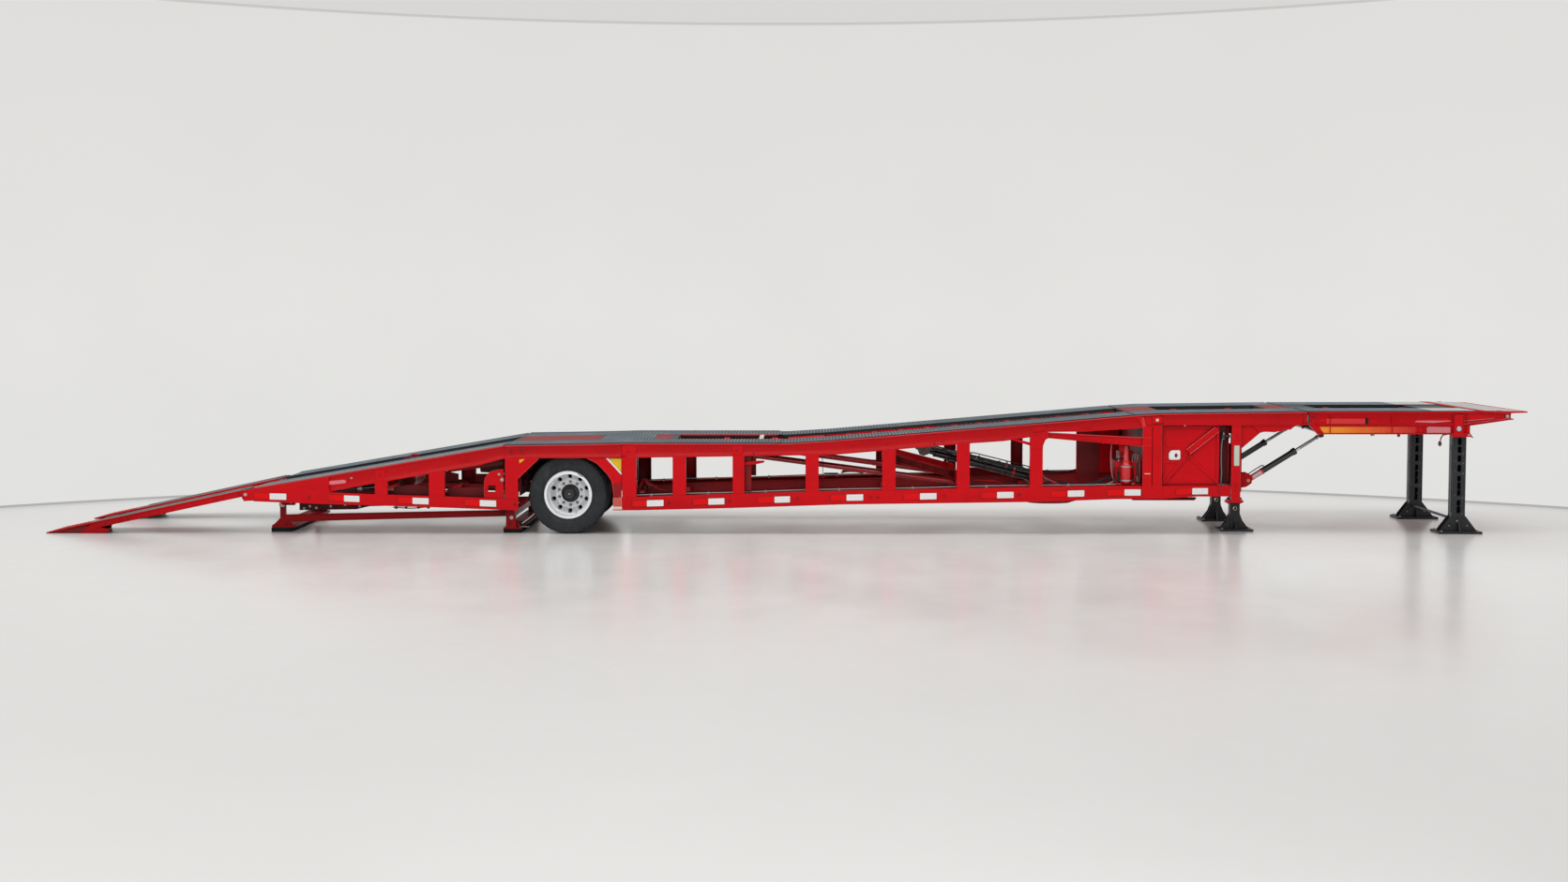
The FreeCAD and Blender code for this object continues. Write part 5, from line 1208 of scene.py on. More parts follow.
# ================================================================== rear end of the frame
re = Piece("rear_frame_details", "chassis", "red_paint")
for s in S:
    # oblong boss on the rear web
    pts = []
    for cx, a0 in ((-5.350, -90), (-5.520, 90)):
        for k in range(9):
            a = math.radians(a0 + 22.5 * k)
            pts.append((cx + 0.043 * math.cos(a), 0.627 + (0.021 if cx > -5.4 else -0.004) + 0.043 * math.sin(a)))
    re.prism("y", pts, s * (UWEB - 0.001), s * (UWEB + 0.006), mat_red, 0.003)
    re.prism("y", [(p[0] * 1.0 + (0.018 if p[0] < -5.43 else -0.018), 0.638 + (p[1] - 0.638) * 0.52) for p in pts], s * (UWEB + 0.004), s * (UWEB + 0.0085), mat_pale_pink_and_highlight, 0.002)
    re.bolt((-5.262, s * UWEB, 0.690), (0, s, 0), 0.016, mat_zinc, head=0.4)
    # rear end plate of the web with its folded edge
    re.prism("y", [(-6.604, 0.441), (-6.579, 0.406), (-6.470, 0.412), (-6.470, 0.424), (-6.572, 0.418), (-6.592, 0.446), (-6.592, 0.512), (-6.542, 0.540), (-6.542, 0.545), (-6.604, 0.516)],
             s * 1.2485, s * 1.2530, mat_red, 0.001)
    # stand brackets: silver clevis bolts, small bolts in a row
    re.bolt((-6.070, s * 0.9745, 0.372), (0, s, 0), 0.034, mat_pin, head=0.4)
    for k in range(5):
        re.bolt((-6.330 + 0.058 * k, s * 0.9745, 0.446), (0, s, 0), 0.014, mat_zinc, head=0.5)
    re.prism("y", [(-6.150, 0.330), (-6.020, 0.330), (-5.990, 0.420), (-6.180, 0.420)], s * 0.974, s * 0.982, mat_red, 0.002)
    # inner frame: deep-red plates in the darker red copy (painted shade), an air tank and hose runs under the rear deck
    re.prism("y", [(-4.780, 0.470), (-4.330, 0.470), (-4.330, 0.560), (-4.520, 0.600), (-4.780, 0.560)], s * 1.060, s * 1.072, mat_red_shaded, 0.002)
    re.prism("y", [(-4.110, 0.452), (-3.660, 0.446), (-3.660, 0.560), (-4.110, 0.560)], s * 1.060, s * 1.072, mat_red_shaded, 0.002)
    re.prism("y", [(-4.110, 0.748), (-3.420, 0.840), (-3.420, 0.900), (-4.110, 0.800)], s * 1.100, s * 1.112, mat_red_shaded, 0.002)
    re.bolt((-3.455, s * 1.2360, 0.735), (0, s, 0), 0.016, mat_zinc, head=0.4)
    # folded rim round the slotted bracket plate
    re.tube([(-3.634, s * 1.2375, 0.452), (-3.634, s * 1.2375, 0.640), (-3.606, s * 1.2375, 0.716), (-3.538, s * 1.2375, 0.774), (-3.404, s * 1.2375, 0.795)], 0.0045, mat_red_gloss, 8, n=5)
    re.tube([(-3.592, s * 1.2375, 0.520), (-3.592, s * 1.2375, 0.600), (-3.500, s * 1.2375, 0.600), (-3.500, s * 1.2375, 0.520), (-3.592, s * 1.2375, 0.520)], 0.003, mat_red, 6, n=1)
    # valves and lines hung below the rear chord
    for k, x in enumerate((-4.740, -4.620, -4.470, -4.350)):
        re.lathe((x, s * (1.120 - 0.012 * k), 0.300), (0, 0, 1), [(0, 0.012), (0.004, 0.018), (0.026, 0.018), (0.030, 0.010), (0.052, 0.010), (0.052, 0)], mat_black, 14)
        re.lathe((x - 0.020, s * (1.120 - 0.012 * k), 0.316), (1, 0, 0), [(0, 0.006), (0.040, 0.006), (0.040, 0)], mat_zinc, 8)
    re.tube([(-4.780, s * 1.110, 0.318), (-4.560, s * 1.105, 0.306), (-4.400, s * 1.100, 0.318), (-4.200, s * 1.105, 0.330), (-3.900, s * 1.110, 0.338)], 0.006, mat_hose, 8)
    re.tube([(-4.760, s * 1.130, 0.332), (-4.500, s * 1.125, 0.330), (-4.250, s * 1.130, 0.345)], 0.005, mat_zinc, 8)
    # brace between the chord foot and the axle: a rod
    re.tube([(-3.205, s * 1.020, 0.110), (-3.100, s * 1.010, 0.190), (-3.020, s * 0.990, 0.262)], 0.008, mat_pin, 8, n=3)
re.tube([(-3.99, 0.62, 0.765), (-3.90, 0.60, 0.742), (-3.84, 0.63, 0.722), (-3.78, 0.60, 0.742), (-3.72, 0.62, 0.715), (-3.67, 0.60, 0.700)], 0.013, mat_pale_pink_and_highlight, 10)
for k in range(15):
    x = -3.985 + 0.021 * k
    re.ring((x, 0.55, 0.768 - 0.0035 * k), (1, 0, 0.1), 0.026 + 0.010 * math.sin(k * 1.1), 0.0045, mat_red, 18, 6)
re.lathe((-4.750, 0.0, 0.600), (0, 1, 0), [(-0.40, 0.0), (-0.398, 0.060), (-0.360, 0.105), (0.360, 0.105), (0.398, 0.060), (0.40, 0.0)], mat_red_shaded, 40)
for y in (-0.25, 0.25):
    re.lathe((-4.750, y, 0.600), (0, 1, 0), [(-0.018, 0.1065), (0.018, 0.1065), (0.018, 0.1095), (-0.018, 0.1095)], mat_zinc, 40, loop=True)
    re.box(-4.800, -4.700, y - 0.018, y + 0.018, 0.700, 0.880, mat_red_shaded, 0.003)
re.done()

# inner plates and belly rails at the rear, and tail lamps on the rear cross beam
dp = Piece("rear_inner_plates", "chassis", "red_paint")
for s in S:
    # deep inner side plates over the stand in the darker red copy (painted shade), with bright bolt heads
    dp.prism("y", [(-6.010, 0.250), (-5.300, 0.262), (-5.140, 0.300), (-5.140, 0.372), (-6.010, 0.392)], s * 0.790, s * 0.798, mat_red_shaded, 0.002)
    for x, z in ((-5.95, 0.272), (-5.88, 0.300), (-5.80, 0.280), (-5.62, 0.300), (-5.44, 0.322), (-5.26, 0.300)):
        dp.bolt((x, s * 0.7975, z), (0, s, 0), 0.018, mat_zinc, head=0.4)
    # blocks behind the rear bays: dark plate at the tall bay, painted shade behind the opening, black pipe behind the
    # wedge opening
    dp.prism("y", [(-3.800, 0.905), (-3.760, 0.720), (-3.400, 0.700), (-3.400, 1.000), (-3.800, 0.960)], s * 0.700, s * 0.708, mat_red_shaded, 0.002)
    dp.rod((-5.560, s * 1.120, 0.525), (-4.990, s * 1.120, 0.568), 0.026, mat_black_gloss, 20)
    dp.prism("y", [(-5.500, 0.500), (-4.980, 0.500), (-4.980, 0.625), (-5.500, 0.540)], s * 1.060, s * 1.066, mat_red_shaded, 0.002)
    dp.lathe((-5.180, s * 1.120, 0.554), (0.997, 0, 0.075), [(-0.030, 0.026), (-0.028, 0.033), (0.028, 0.033), (0.030, 0.026)], mat_zinc, 24, loop=True)
dp.done()
rl = Piece("belly_rails", "chassis", "red_paint")
for s in S:
    # long inner rails of the belly, seen low through the side windows, in the darker red copy: painted shade
    def rail(table_lo, table_hi, x0, x1, y, dz0, dz1):
        pts_t, pts_b = cut(table_hi, x0, x1), cut(table_lo, x0, x1)
        rl.prism("y", [(x, z + dz1) for x, z in pts_t] + [(x, z + dz0) for x, z in reversed(pts_b)], s * y, s * (y + 0.012), mat_red_shaded, 0.002)
        rl.tube([(x, s * (y + 0.006), z + dz1) for x, z in pts_t], 0.010, mat_red_shaded, 8, n=0)
    rail(LOW_BOT_F, LOW_TOP_F, -1.900, 5.400, 0.640, 0.040, -0.012)
    rail(LOW_BOT_R, LOW_TOP_R, -4.950, -3.520, 0.640, 0.070, -0.012)
rl.done()
tl = Piece("tail_lamp_clusters", "chassis", "lamp_lens")
for s in S:
    for k in range(3):
        y = 0.235 + 0.105 * k
        tl.lathe((-6.4515, s * y, 0.465), (-1, 0, 0), [(0, 0.0225), (0.006, 0.0225), (0.011, 0.019), (0.013, 0.010), (0.013, 0)], (mat_lens_red, mat_amber, mat_lens)[k], 28)
        tl.ring((-6.4520, s * y, 0.465), (-1, 0, 0), 0.0235, 0.0022, mat_gasket, 28, 6)
tl.done()

# ================================================================== rear stand
rs = Piece("rear_stand_details", "rear_stand", "red_paint")
for s in S:
    # rolled edges on the two long beams
    for dz0, dz1 in ((0.0, 0.0), ):
        for za, zb, t in ((0.208, 0.268, -0.010), (0.122, 0.194, 0.0)):
            rs.prism("y", [(-6.140, za + t), (-3.400, zb + t), (-3.400, zb + t + 0.010), (-6.140, za + t + 0.010)], s * 0.954, s * 0.961, mat_red, 0.0015)
    for x in (-5.6, -4.9, -4.2, -3.75):
        za = 0.122 + (0.194 - 0.122) * (x + 6.150) / 2.758
        zb = 0.208 + (0.268 - 0.208) * (x + 6.150) / 2.758
        rs.box(x, x + 0.008, s * 0.9545, s * 0.9595, za + 0.008, zb - 0.008, mat_red, 0.001)
    # rear post: cleats, silver pin and base bolts
    rs.bolt((-6.180, s * 0.9555, 0.336), (0, s, 0), 0.034, mat_pin, low=True)
    rs.ring((-6.180, s * 0.9562, 0.336), (0, s, 0), 0.038, 0.004, mat_red, 32, 8)
    for x in (-6.285, -6.240, -6.110, -6.060):
        rs.bolt((x, s * 0.930, 0.0815), (0, 0, 1), 0.016, mat_zinc, head=0.5)
    rs.prism("y", [(-6.147, 0.082), (-6.050, 0.082), (-6.147, 0.190)], s * 0.940, s * 0.948, mat_red, 0.0015)
    rs.prism("y", [(-6.213, 0.082), (-6.300, 0.082), (-6.213, 0.170)], s * 0.940, s * 0.948, mat_red, 0.0015)
    for z in (0.130, 0.205, 0.262):
        rs.lathe((-6.180, s * 0.9555, z), (0, s, 0), [(0, 0.010), (0.003, 0.010), (0.0045, 0.007), (0.0045, 0)], mat_red_shaded, 14)
    # front post: bolt, edge lip, base bolts
    rs.bolt((-3.330, s * 1.0695, 0.187), (0, s, 0), 0.024, mat_zinc, head=0.4)
    rs.bolt((-3.345, s * 1.0695, 0.120), (0, s, 0), 0.018, mat_red_shaded, head=0.4)
    rs.tube([(-3.396, s * 1.0705, 0.055), (-3.391, s * 1.0705, 0.286)], 0.004, mat_red_gloss, 6, n=0)
    rs.tube([(-3.274, s * 1.0705, 0.055), (-3.293, s * 1.0705, 0.286)], 0.004, mat_red_gloss, 6, n=0)
    rs.prism("y", [(-3.290, 0.066), (-3.215, 0.066), (-3.290, 0.190)], s * 1.030, s * 1.038, mat_red, 0.0015)
    for x in (-3.415, -3.225):
        rs.bolt((x, s * 1.045, 0.0655), (0, 0, 1), 0.014, mat_zinc, head=0.5)
    # inclined tie rods behind the front post
    rs.tube([(-3.215, s * 1.000, 0.070), (-3.120, s * 1.000, 0.066)], 0.006, mat_pin, 8, n=0)
rs.done()
pd = Piece("stand_pad_lugs", "rear_stand", "rubber_pad")
for s in S:
    for k in range(8):
        pd.box(-6.312 + 0.0315 * k, -6.293 + 0.0315 * k, s * 0.9595, s * 0.9640, 0.006, 0.046, mat_rubberpad, 0.0015)
    for k in range(7):
        pd.box(-3.424 + 0.0315 * k, -3.405 + 0.0315 * k, s * 1.0695, s * 1.0740, 0.006, 0.044, mat_rubberpad, 0.0015)
pd.done()

# ================================================================== wheel arches
ar = Piece("wheel_arch_trim", "chassis", "red_paint")
CURVE = [(-2.377, 0.930), (-2.253, 0.866), (-2.162, 0.771), (-2.105, 0.700), (-2.082, 0.656), (-2.066, 0.560), (-2.051, 0.461)]
for s in S:
    # bright rolled lip on the curved edge
    ar.tube([(x + 0.004, s * 1.2485, z + 0.001) for x, z in CURVE], 0.0055, mat_red_gloss, 8, n=4)
    ar.tube([(-2.965, s * 1.2475, 0.929), (-3.095, s * 1.2475, 0.806), (-3.218, s * 1.2475, 0.688)], 0.0055, mat_red_gloss, 8, n=4)
    # mottled yellow field with its white diagonal border, behind the triangular opening
    ar.prism("y", [(-2.146, 0.931), (-1.957, 0.727), (-1.957, 0.931)], s * 1.2335, s * 1.2385, mat_yellow, 0.001)
    ar.prism("y", [(-2.150, 0.935), (-2.120, 0.935), (-1.957, 0.758), (-1.957, 0.722)], s * 1.2385, s * 1.2455, mat_white, 0.002)
    ar.prism("y", [(-3.205, 0.915), (-3.140, 0.925), (-3.160, 0.900), (-3.200, 0.870)], s * 1.2500, s * 1.2508, mat_yellow, 0.0003)
    # dark panel over the marker lamp: a thin plate in the darker red copy, painted shade of a recess
    ar.prism("y", [(-2.054, 0.462), (-1.956, 0.458), (-1.956, 0.620), (-2.066, 0.620)], s * 1.2500, s * 1.2512, mat_red_shaded, 0.0008)
    for z in (0.454, 0.624):
        ar.weld((-2.060, s * 1.2505, z), (-1.958, s * 1.2505, z), 0.0030, mat_red)
    # inner guard plate that closes the arch
    ar.prism("y", [(-3.215, 0.470), (-3.205, 0.900), (-3.195, 0.900), (-3.200, 0.470)], s * 0.700, s * 1.180, mat_red_shaded, 0.002)
    # dark sheet behind the tyres and round the inside of the arch: painted shade of the arch
    ar.prism("y", [(-3.190, 0.560), (-2.980, 0.760), (-2.840, 0.820), (-2.400, 0.820), (-2.240, 0.740), (-2.075, 0.560), (-2.075, 0.960), (-3.190, 0.960)],
             s * 0.560, s * 0.566, mat_arch_shade, 0.001)
ar.done()
lm = Piece("side_marker_lamps", "chassis", "lamp_lens")
for s in S:
    lm.box(-2.060, -1.961, s * 1.2485, s * 1.2530, 0.3400, 0.4480, mat_lens_marker, 0.0015)
    lm.box(-2.050, -1.971, s * 1.2525, s * 1.2538, 0.3520, 0.4380, mat_lens_marker, 0.0006)
    lm.box(-2.062, -1.950, s * 1.2440, s * 1.2520, 0.3080, 0.3320, mat_cream, 0.0015)
    lm.box(-2.066, -1.946, s * 1.2440, s * 1.2530, 0.2960, 0.3060, mat_red, 0.002)
    for x in (-2.052, -1.969):
        lm.lathe((x, s * 1.2520, 0.3450), (0, s, 0), [(0, 0.0035), (0.0012, 0.0035), (0.0018, 0.002), (0.0018, 0)], mat_zinc, 10)
lm.done()


# ================================================================== belly of the trailer: arms, hoses, jacks' fittings
be = Piece("brace_arm_details", "chassis", "red_paint")
for s in S:
    # glossy tube over the long brace, with its collars and the two bolts at its end
    be.rod((-0.386, s * 0.760, 0.942), (2.150, s * 0.760, 0.609), 0.0355, mat_red_gloss, 32)
    for t in (0.03, 0.30, 0.62, 0.965):
        x, z = -0.386 + 2.536 * t, 0.942 - 0.333 * t
        be.lathe((x, s * 0.760, z), (2.536, 0, -0.333), [(-0.020, 0.0350), (-0.018, 0.0395), (0.018, 0.0395), (0.020, 0.0350)], mat_red_gloss, 32, loop=True)
    be.bolt((-0.400, s * 0.7145, 0.985), (0, -s, 0), 0.030, mat_zinc, head=0.5)
    be.bolt((-0.400, s * 0.8055, 0.985), (0, s, 0), 0.030, mat_zinc, head=0.5)
    # small arm off the post
    be.prism("y", [(-0.456, 0.846), (-0.300, 0.862), (-0.215, 0.880), (-0.215, 0.905), (-0.330, 0.902), (-0.456, 0.890)], s * 1.196, s * 1.212, mat_red, 0.003)
    be.prism("y", [(-0.456, 0.530), (-0.372, 0.530), (-0.372, 0.952), (-0.456, 0.952)], s * 1.172, s * 1.184, mat_red_shaded, 0.003)
    # web stiffeners along the broad lower arm
    for k in range(5):
        x = 1.470 + 0.150 * k
        za = 0.850 + (0.640 - 0.850) * (x - 1.380) / 0.770
        zb = 0.925 + (0.725 - 0.925) * (x - 1.380) / 0.770
        be.prism("y", [(x, za + 0.022), (x + 0.008, za + 0.022), (x + 0.008, zb), (x, zb)], s * 0.652, s * 0.688, mat_red, 0.001)
    be.bolt((2.185, s * 0.8055, 0.610), (0, s, 0), 0.036, mat_zinc, head=0.5)
    be.ring((2.185, s * 0.8060, 0.610), (0, s, 0), 0.046, 0.004, mat_red, 32, 8)
    # plates that fill the base of the eighth and ninth bays
    be.prism("y", [(2.353, 0.512), (3.033, 0.535), (3.033, 0.560), (2.760, 0.600), (2.600, 0.655), (2.353, 0.665)], s * 0.980, s * 0.990, mat_red_shaded, 0.003)
    be.prism("y", [(2.353, 0.640), (2.600, 0.632), (2.760, 0.580), (3.033, 0.540), (3.033, 0.552), (2.760, 0.594), (2.600, 0.650), (2.353, 0.662)], s * 0.960, s * 1.010, mat_red, 0.003)
    # bulge under the chord and the dark plate ahead of it
    pts = [(2.952, 0.412), (3.030, 0.392), (3.160, 0.383), (3.360, 0.383), (3.480, 0.390), (3.580, 0.420)]
    be.prism("y", pts, s * 1.150, s * 1.236, mat_red_shaded, 0.004)
    be.prism("y", [(4.253, 0.441), (4.300, 0.424), (5.020, 0.424), (5.053, 0.452)], s * 1.120, s * 1.230, mat_gasket, 0.003)
    be.box(4.270, 5.030, s * 1.225, s * 1.238, 0.425, 0.433, mat_red, 0.002)
be.done()

jk = Piece("lift_jack_fittings_base", "chassis", "red_paint")
for s in S:
    y = s * 0.500
    for d in (-1, 1):
        jk.bolt((3.286, y + d * 0.0535, 0.604), (0, d, 0), 0.044, mat_zinc, head=0.45)
        jk.tube([(3.200, y + d * 0.046, 0.524), (3.246, y + d * 0.046, 0.640), (3.326, y + d * 0.046, 0.651), (3.436, y + d * 0.046, 0.524)], 0.0055, mat_red, 6, n=1)
    # hoses that run forward along the frame
    for k, dz in enumerate((0.0, 0.028, 0.056)):
        jk.tube([(3.240, s * (0.70 + 0.05 * k), 0.548 + dz), (3.420, s * (0.78 + 0.05 * k), 0.560 + dz), (3.700, s * (0.92 + 0.02 * k), 0.565 + dz * 0.5),
                 (4.080, s * (0.95 + 0.02 * k), 0.640 + dz)], 0.0105, (mat_red, mat_red_shaded, mat_hose)[k], 10)
# red hose loops near the foot of the near jack
for k in range(4):
    yy = -0.980 - 0.030 * k
    jk.tube([(3.190, yy, 0.740 - 0.030 * k), (3.250, yy, 0.700 - 0.028 * k), (3.330, yy, 0.640 - 0.010 * k), (3.420, yy, 0.592), (3.500, yy, 0.580)], 0.0085, (mat_red, mat_pale_pink_and_highlight, mat_red_shaded, mat_red)[k], 8)
jk.done()

for s, side in ((-1, "right"), (1, "left")):
    y = s * 0.500
    lug, eye = Vector((3.286, y, 0.604)), Vector((1.764, y, 0.985))
    d = (eye - lug).normalized()
    n = (eye - lug).length
    lb = n * 0.62
    up = Vector((0, 1, 0)).cross(d).normalized()
    if up.z < 0:
        up = -up
    b = Piece("lift_jack_trim_" + side, "lift_barrel_" + side, "black_paint")
    b.lathe(lug, d, [(0.058, 0.030), (0.062, 0.046), (0.070, 0.0485), (0.118, 0.0485), (0.124, 0.0468), (lb - 0.090, 0.0468), (lb - 0.084, 0.0500), (lb - 0.060, 0.0500),
                     (lb - 0.052, 0.0545), (lb - 0.004, 0.0545), (lb, 0.0500), (lb, 0.030)], mat_black_gloss, 40)
    for t in (0.20, 0.52, 0.80):
        b.lathe(lug + d * (lb * t), d, [(-0.014, 0.0468), (-0.012, 0.0500), (0.012, 0.0500), (0.014, 0.0468)], mat_black, 40, loop=True)
        b.bolt(lug + d * (lb * t) + up * 0.050, up, 0.014, mat_zinc, head=0.5)
    # red saddle clamp with its bolts
    b.lathe(lug + d * (lb * 0.42), d, [(-0.016, 0.0470), (-0.016, 0.0530), (0.016, 0.0530), (0.016, 0.0470)], mat_red_gloss, 36, loop=True)
    for sg in (-1, 1):
        p = lug + d * (lb * 0.42) + up * 0.040 + Vector((0, sg * 0.042, 0))
        b.rod(p, p + up * 0.034, 0.006, mat_zinc, 10)
    # pressure pipe along the top with unions
    pipe = [lug + d * 0.110 + up * 0.050, lug + d * 0.118 + up * 0.072, lug + d * 0.200 + up * 0.074, lug + d * (lb - 0.160) + up * 0.074, lug + d * (lb - 0.090) + up * 0.066, lug + d * (lb - 0.072) + up * 0.050]
    b.tube(pipe, 0.0075, mat_black_gloss, 10)
    for t in (0.108, lb - 0.072):
        b.lathe(lug + d * t + up * 0.044, up, [(0, 0.013), (0.014, 0.013), (0.016, 0.010), (0.026, 0.010), (0.028, 0.0)], mat_zinc, 6)
    # square-shouldered gland nut
    b.lathe(lug + d * lb, d, [(-0.006, 0.046), (0.010, 0.046), (0.013, 0.040), (0.013, 0.0280)], mat_black, 8)
    b.done()
    r = Piece("lift_rod_trim_" + side, "lift_rod_" + side, "rod_chrome")
    r.lathe(eye, d, [(-0.076, 0.0275), (-0.074, 0.034), (-0.052, 0.034), (-0.048, 0.0275)], mat_black_gloss, 32, loop=True)
    for sg in (-1, 1):
        r.ring(eye + Vector((0, sg * 0.0242, 0)), (0, 1, 0), 0.0325, 0.003, mat_black, 32, 8)
    # black dust tube over the rod, short of the gland
    r.lathe(eye, d, [(-0.130, 0.0280), (-0.128, 0.0450), (-(n - lb) + 0.034, 0.0450), (-(n - lb) + 0.032, 0.0280)], mat_black_gloss, 36, loop=True)
    for t in (-0.150, -0.330):
        r.lathe(eye + d * t, d, [(-0.010, 0.0450), (-0.008, 0.0485), (0.008, 0.0485), (0.010, 0.0450)], mat_black, 36, loop=True)
    r.done()
md = Piece("mid_deck_lug_pins", "mid_deck", "red_paint")
for s in S:
    for d in (-1, 1):
        md.bolt((1.764, s * 0.500 + d * 0.0455, 0.985), (0, d, 0), 0.034, mat_zinc, head=0.45)
        md.ring((-0.030, s * 0.585 + d * 0.0255, 1.086), (0, 1, 0), 0.0215, 0.0028, mat_red, 28, 8)
    # black cheeks round the jack eye with red bolts, and a black plate above them
    for d in (-1, 1):
        md.prism("y", [(1.690, 1.055), (1.905, 1.072), (1.850, 0.985), (1.815, 0.935), (1.764, 0.918), (1.714, 0.935), (1.694, 0.985)],
                 s * 0.500 + d * 0.0535, s * 0.500 + d * 0.0610, mat_black_gloss, 0.002)
        md.bolt((1.764, s * 0.500 + d * 0.0605, 0.985), (0, d, 0), 0.034, mat_red_gloss, head=0.35)
    md.box(1.640, 1.890, s * 0.452, s * 0.548, line(TOP, 1.64) - 0.100, line(TOP, 1.64) - 0.088, mat_black, 0.003)
md.done()

# far-side odds and ends seen through the frame
od = Piece("belly_fittings", "chassis", "red_paint")
# thin bright air line and cable tray along the inside of both lower chords
for s in S:
    pts = [(x, s * 1.150, line(LOW_TOP_F, x) + 0.014 + 0.004 * math.sin(x * 3.1)) for x in (-1.90, -1.2, -0.5, 0.2, 0.9, 1.6, 2.3, 3.0, 3.7, 4.3)]
    od.tube(pts, 0.0075, mat_pin, 8, n=3)
    pts = [(x, s * 1.135, line(LOW_TOP_F, x) - 0.060) for x in (-1.90, -1.0, 0.0, 1.0, 2.0, 3.0, 4.3)]
    od.tube(pts, 0.010, mat_red_shaded, 8, n=3)
    for x in (-1.6, -0.9, -0.2, 0.7, 1.6, 2.5, 3.5):
        od.box(x - 0.012, x + 0.012, s * 1.136, s * 1.166, line(LOW_TOP_F, x) - 0.012, line(LOW_TOP_F, x) + 0.026, mat_zinc, 0.002)
# small hanging hook and cable in the fourth bay
od.tube([(-1.640, -0.400, 0.965), (-1.650, -0.400, 0.935), (-1.600, -0.400, 0.948), (-1.540, -0.400, 0.952), (-1.490, -0.400, 0.938), (-1.478, -0.400, 0.905), (-1.505, -0.400, 0.900)], 0.0075, mat_red, 8)
od.tube([(-1.640, -0.400, 0.965), (-1.640, -0.400, 1.010)], 0.006, mat_zinc, 8, n=0)
# tangle of red air hoses by the fourth post
random.seed(7)
for k in range(7):
    y = -1.050 + 0.026 * k
    a, b_ = 0.020 * math.sin(k * 2.1), 0.022 * math.cos(k * 1.7)
    od.tube([(-1.760 + a, y, 0.520), (-1.735, y, 0.600 + b_), (-1.690 + a, y, 0.640 + b_), (-1.640, y, 0.600 + a), (-1.585 + b_, y, 0.572 + 0.5 * a), (-1.520, y, 0.545), (-1.430 + a, y, 0.520)],
            0.0075, (mat_red, mat_red_shaded, mat_red_gloss)[k % 3], 8)
od.lathe((-1.700, -0.900, 0.520), (0, 0, 1), [(0, 0.045), (0.006, 0.050), (0.060, 0.050), (0.075, 0.035), (0.090, 0.020), (0.095, 0)], mat_red_shaded, 28)
# red chain with its hook in the seventh bay
for k in range(6):
    z = 0.665 - 0.030 * k
    u = Vector((0.006, 0, 0)) if k % 2 else Vector((0, 0.006, 0))
    od.tube([Vector((0.500, -0.950, z + 0.018)) + u, Vector((0.500, -0.950, z)) + u * 1.6, Vector((0.500, -0.950, z - 0.018)) + u,
             Vector((0.500, -0.950, z - 0.018)) - u, Vector((0.500, -0.950, z)) - u * 1.6, Vector((0.500, -0.950, z + 0.018)) - u, Vector((0.500, -0.950, z + 0.018)) + u],
            0.0048, mat_red, 6, n=2)
od.tube([(0.500, -0.950, 0.500), (0.520, -0.950, 0.478), (0.540, -0.950, 0.498), (0.530, -0.950, 0.520)], 0.0065, mat_red, 8)
od.box(0.476, 0.524, -0.975, -0.925, 0.672, 0.690, mat_red, 0.003)
od.tube([(0.500, -0.950, 0.685), (0.500, -0.950, 0.830), (0.495, -0.950, 0.940)], 0.004, mat_red_shaded, 6, n=1)
# grey slider bar and the strap bundle on the far chord
od.box(0.530, 0.720, 1.130, 1.150, 0.556, 0.572, mat_grey, 0.003)
for k in range(5):
    od.tube([(0.760 + 0.01 * k, 1.085 + 0.012 * k, 0.578 + 0.010 * k), (0.850, 1.085 + 0.012 * k, 0.594 + 0.011 * k), (0.960, 1.085 + 0.012 * k, 0.590 + 0.010 * k), (1.055 - 0.01 * k, 1.085 + 0.012 * k, 0.572 + 0.010 * k)],
            0.011, mat_khaki, 8)
# cross pipes behind the ninth and tenth bays
for z, y0, r in ((0.565, -0.9, 0.016), (0.640, -0.6, 0.012)):
    od.rod((3.110, y0, z), (3.110, 0.95, z), r, mat_red_shaded, 16)
od.done()


# ================================================================== bulkhead, locker side and king posts
def amber_band():
    """Long orange band: orange at its rear end, running out into red towards the front."""
    m = Mat("finish_amber_band")
    x = m.sep()[0]
    t = m.rng(x, 6.58, 7.68, 0.0, 1.0)
    mott = m.noise(6.0, 4, 0.6)
    t2 = m.math("ADD", t, m.rng(mott, 0.3, 0.7, -0.08, 0.08))
    c = m.ramp(t2, [(0.0, lin(246, 150, 20)), (0.35, lin(236, 112, 16)), (0.7, lin(222, 62, 20)), (1.0, lin(204, 16, 24))])
    w = m.n("TexWave", wave_type="BANDS", bands_direction="X")
    w.inputs["Scale"].default_value = 22.0
    m.link(m.co, w.inputs["Vector"])
    m.set(base=c, rough=m.rng(m.noise(18.0, 3), 0.3, 0.7, 0.22, 0.40), coat=0.3, coat_rough=0.1, spec=0.3)
    m.set(normal=m.bump(w.outputs["Fac"], 0.08, 0.001))
    return m.m


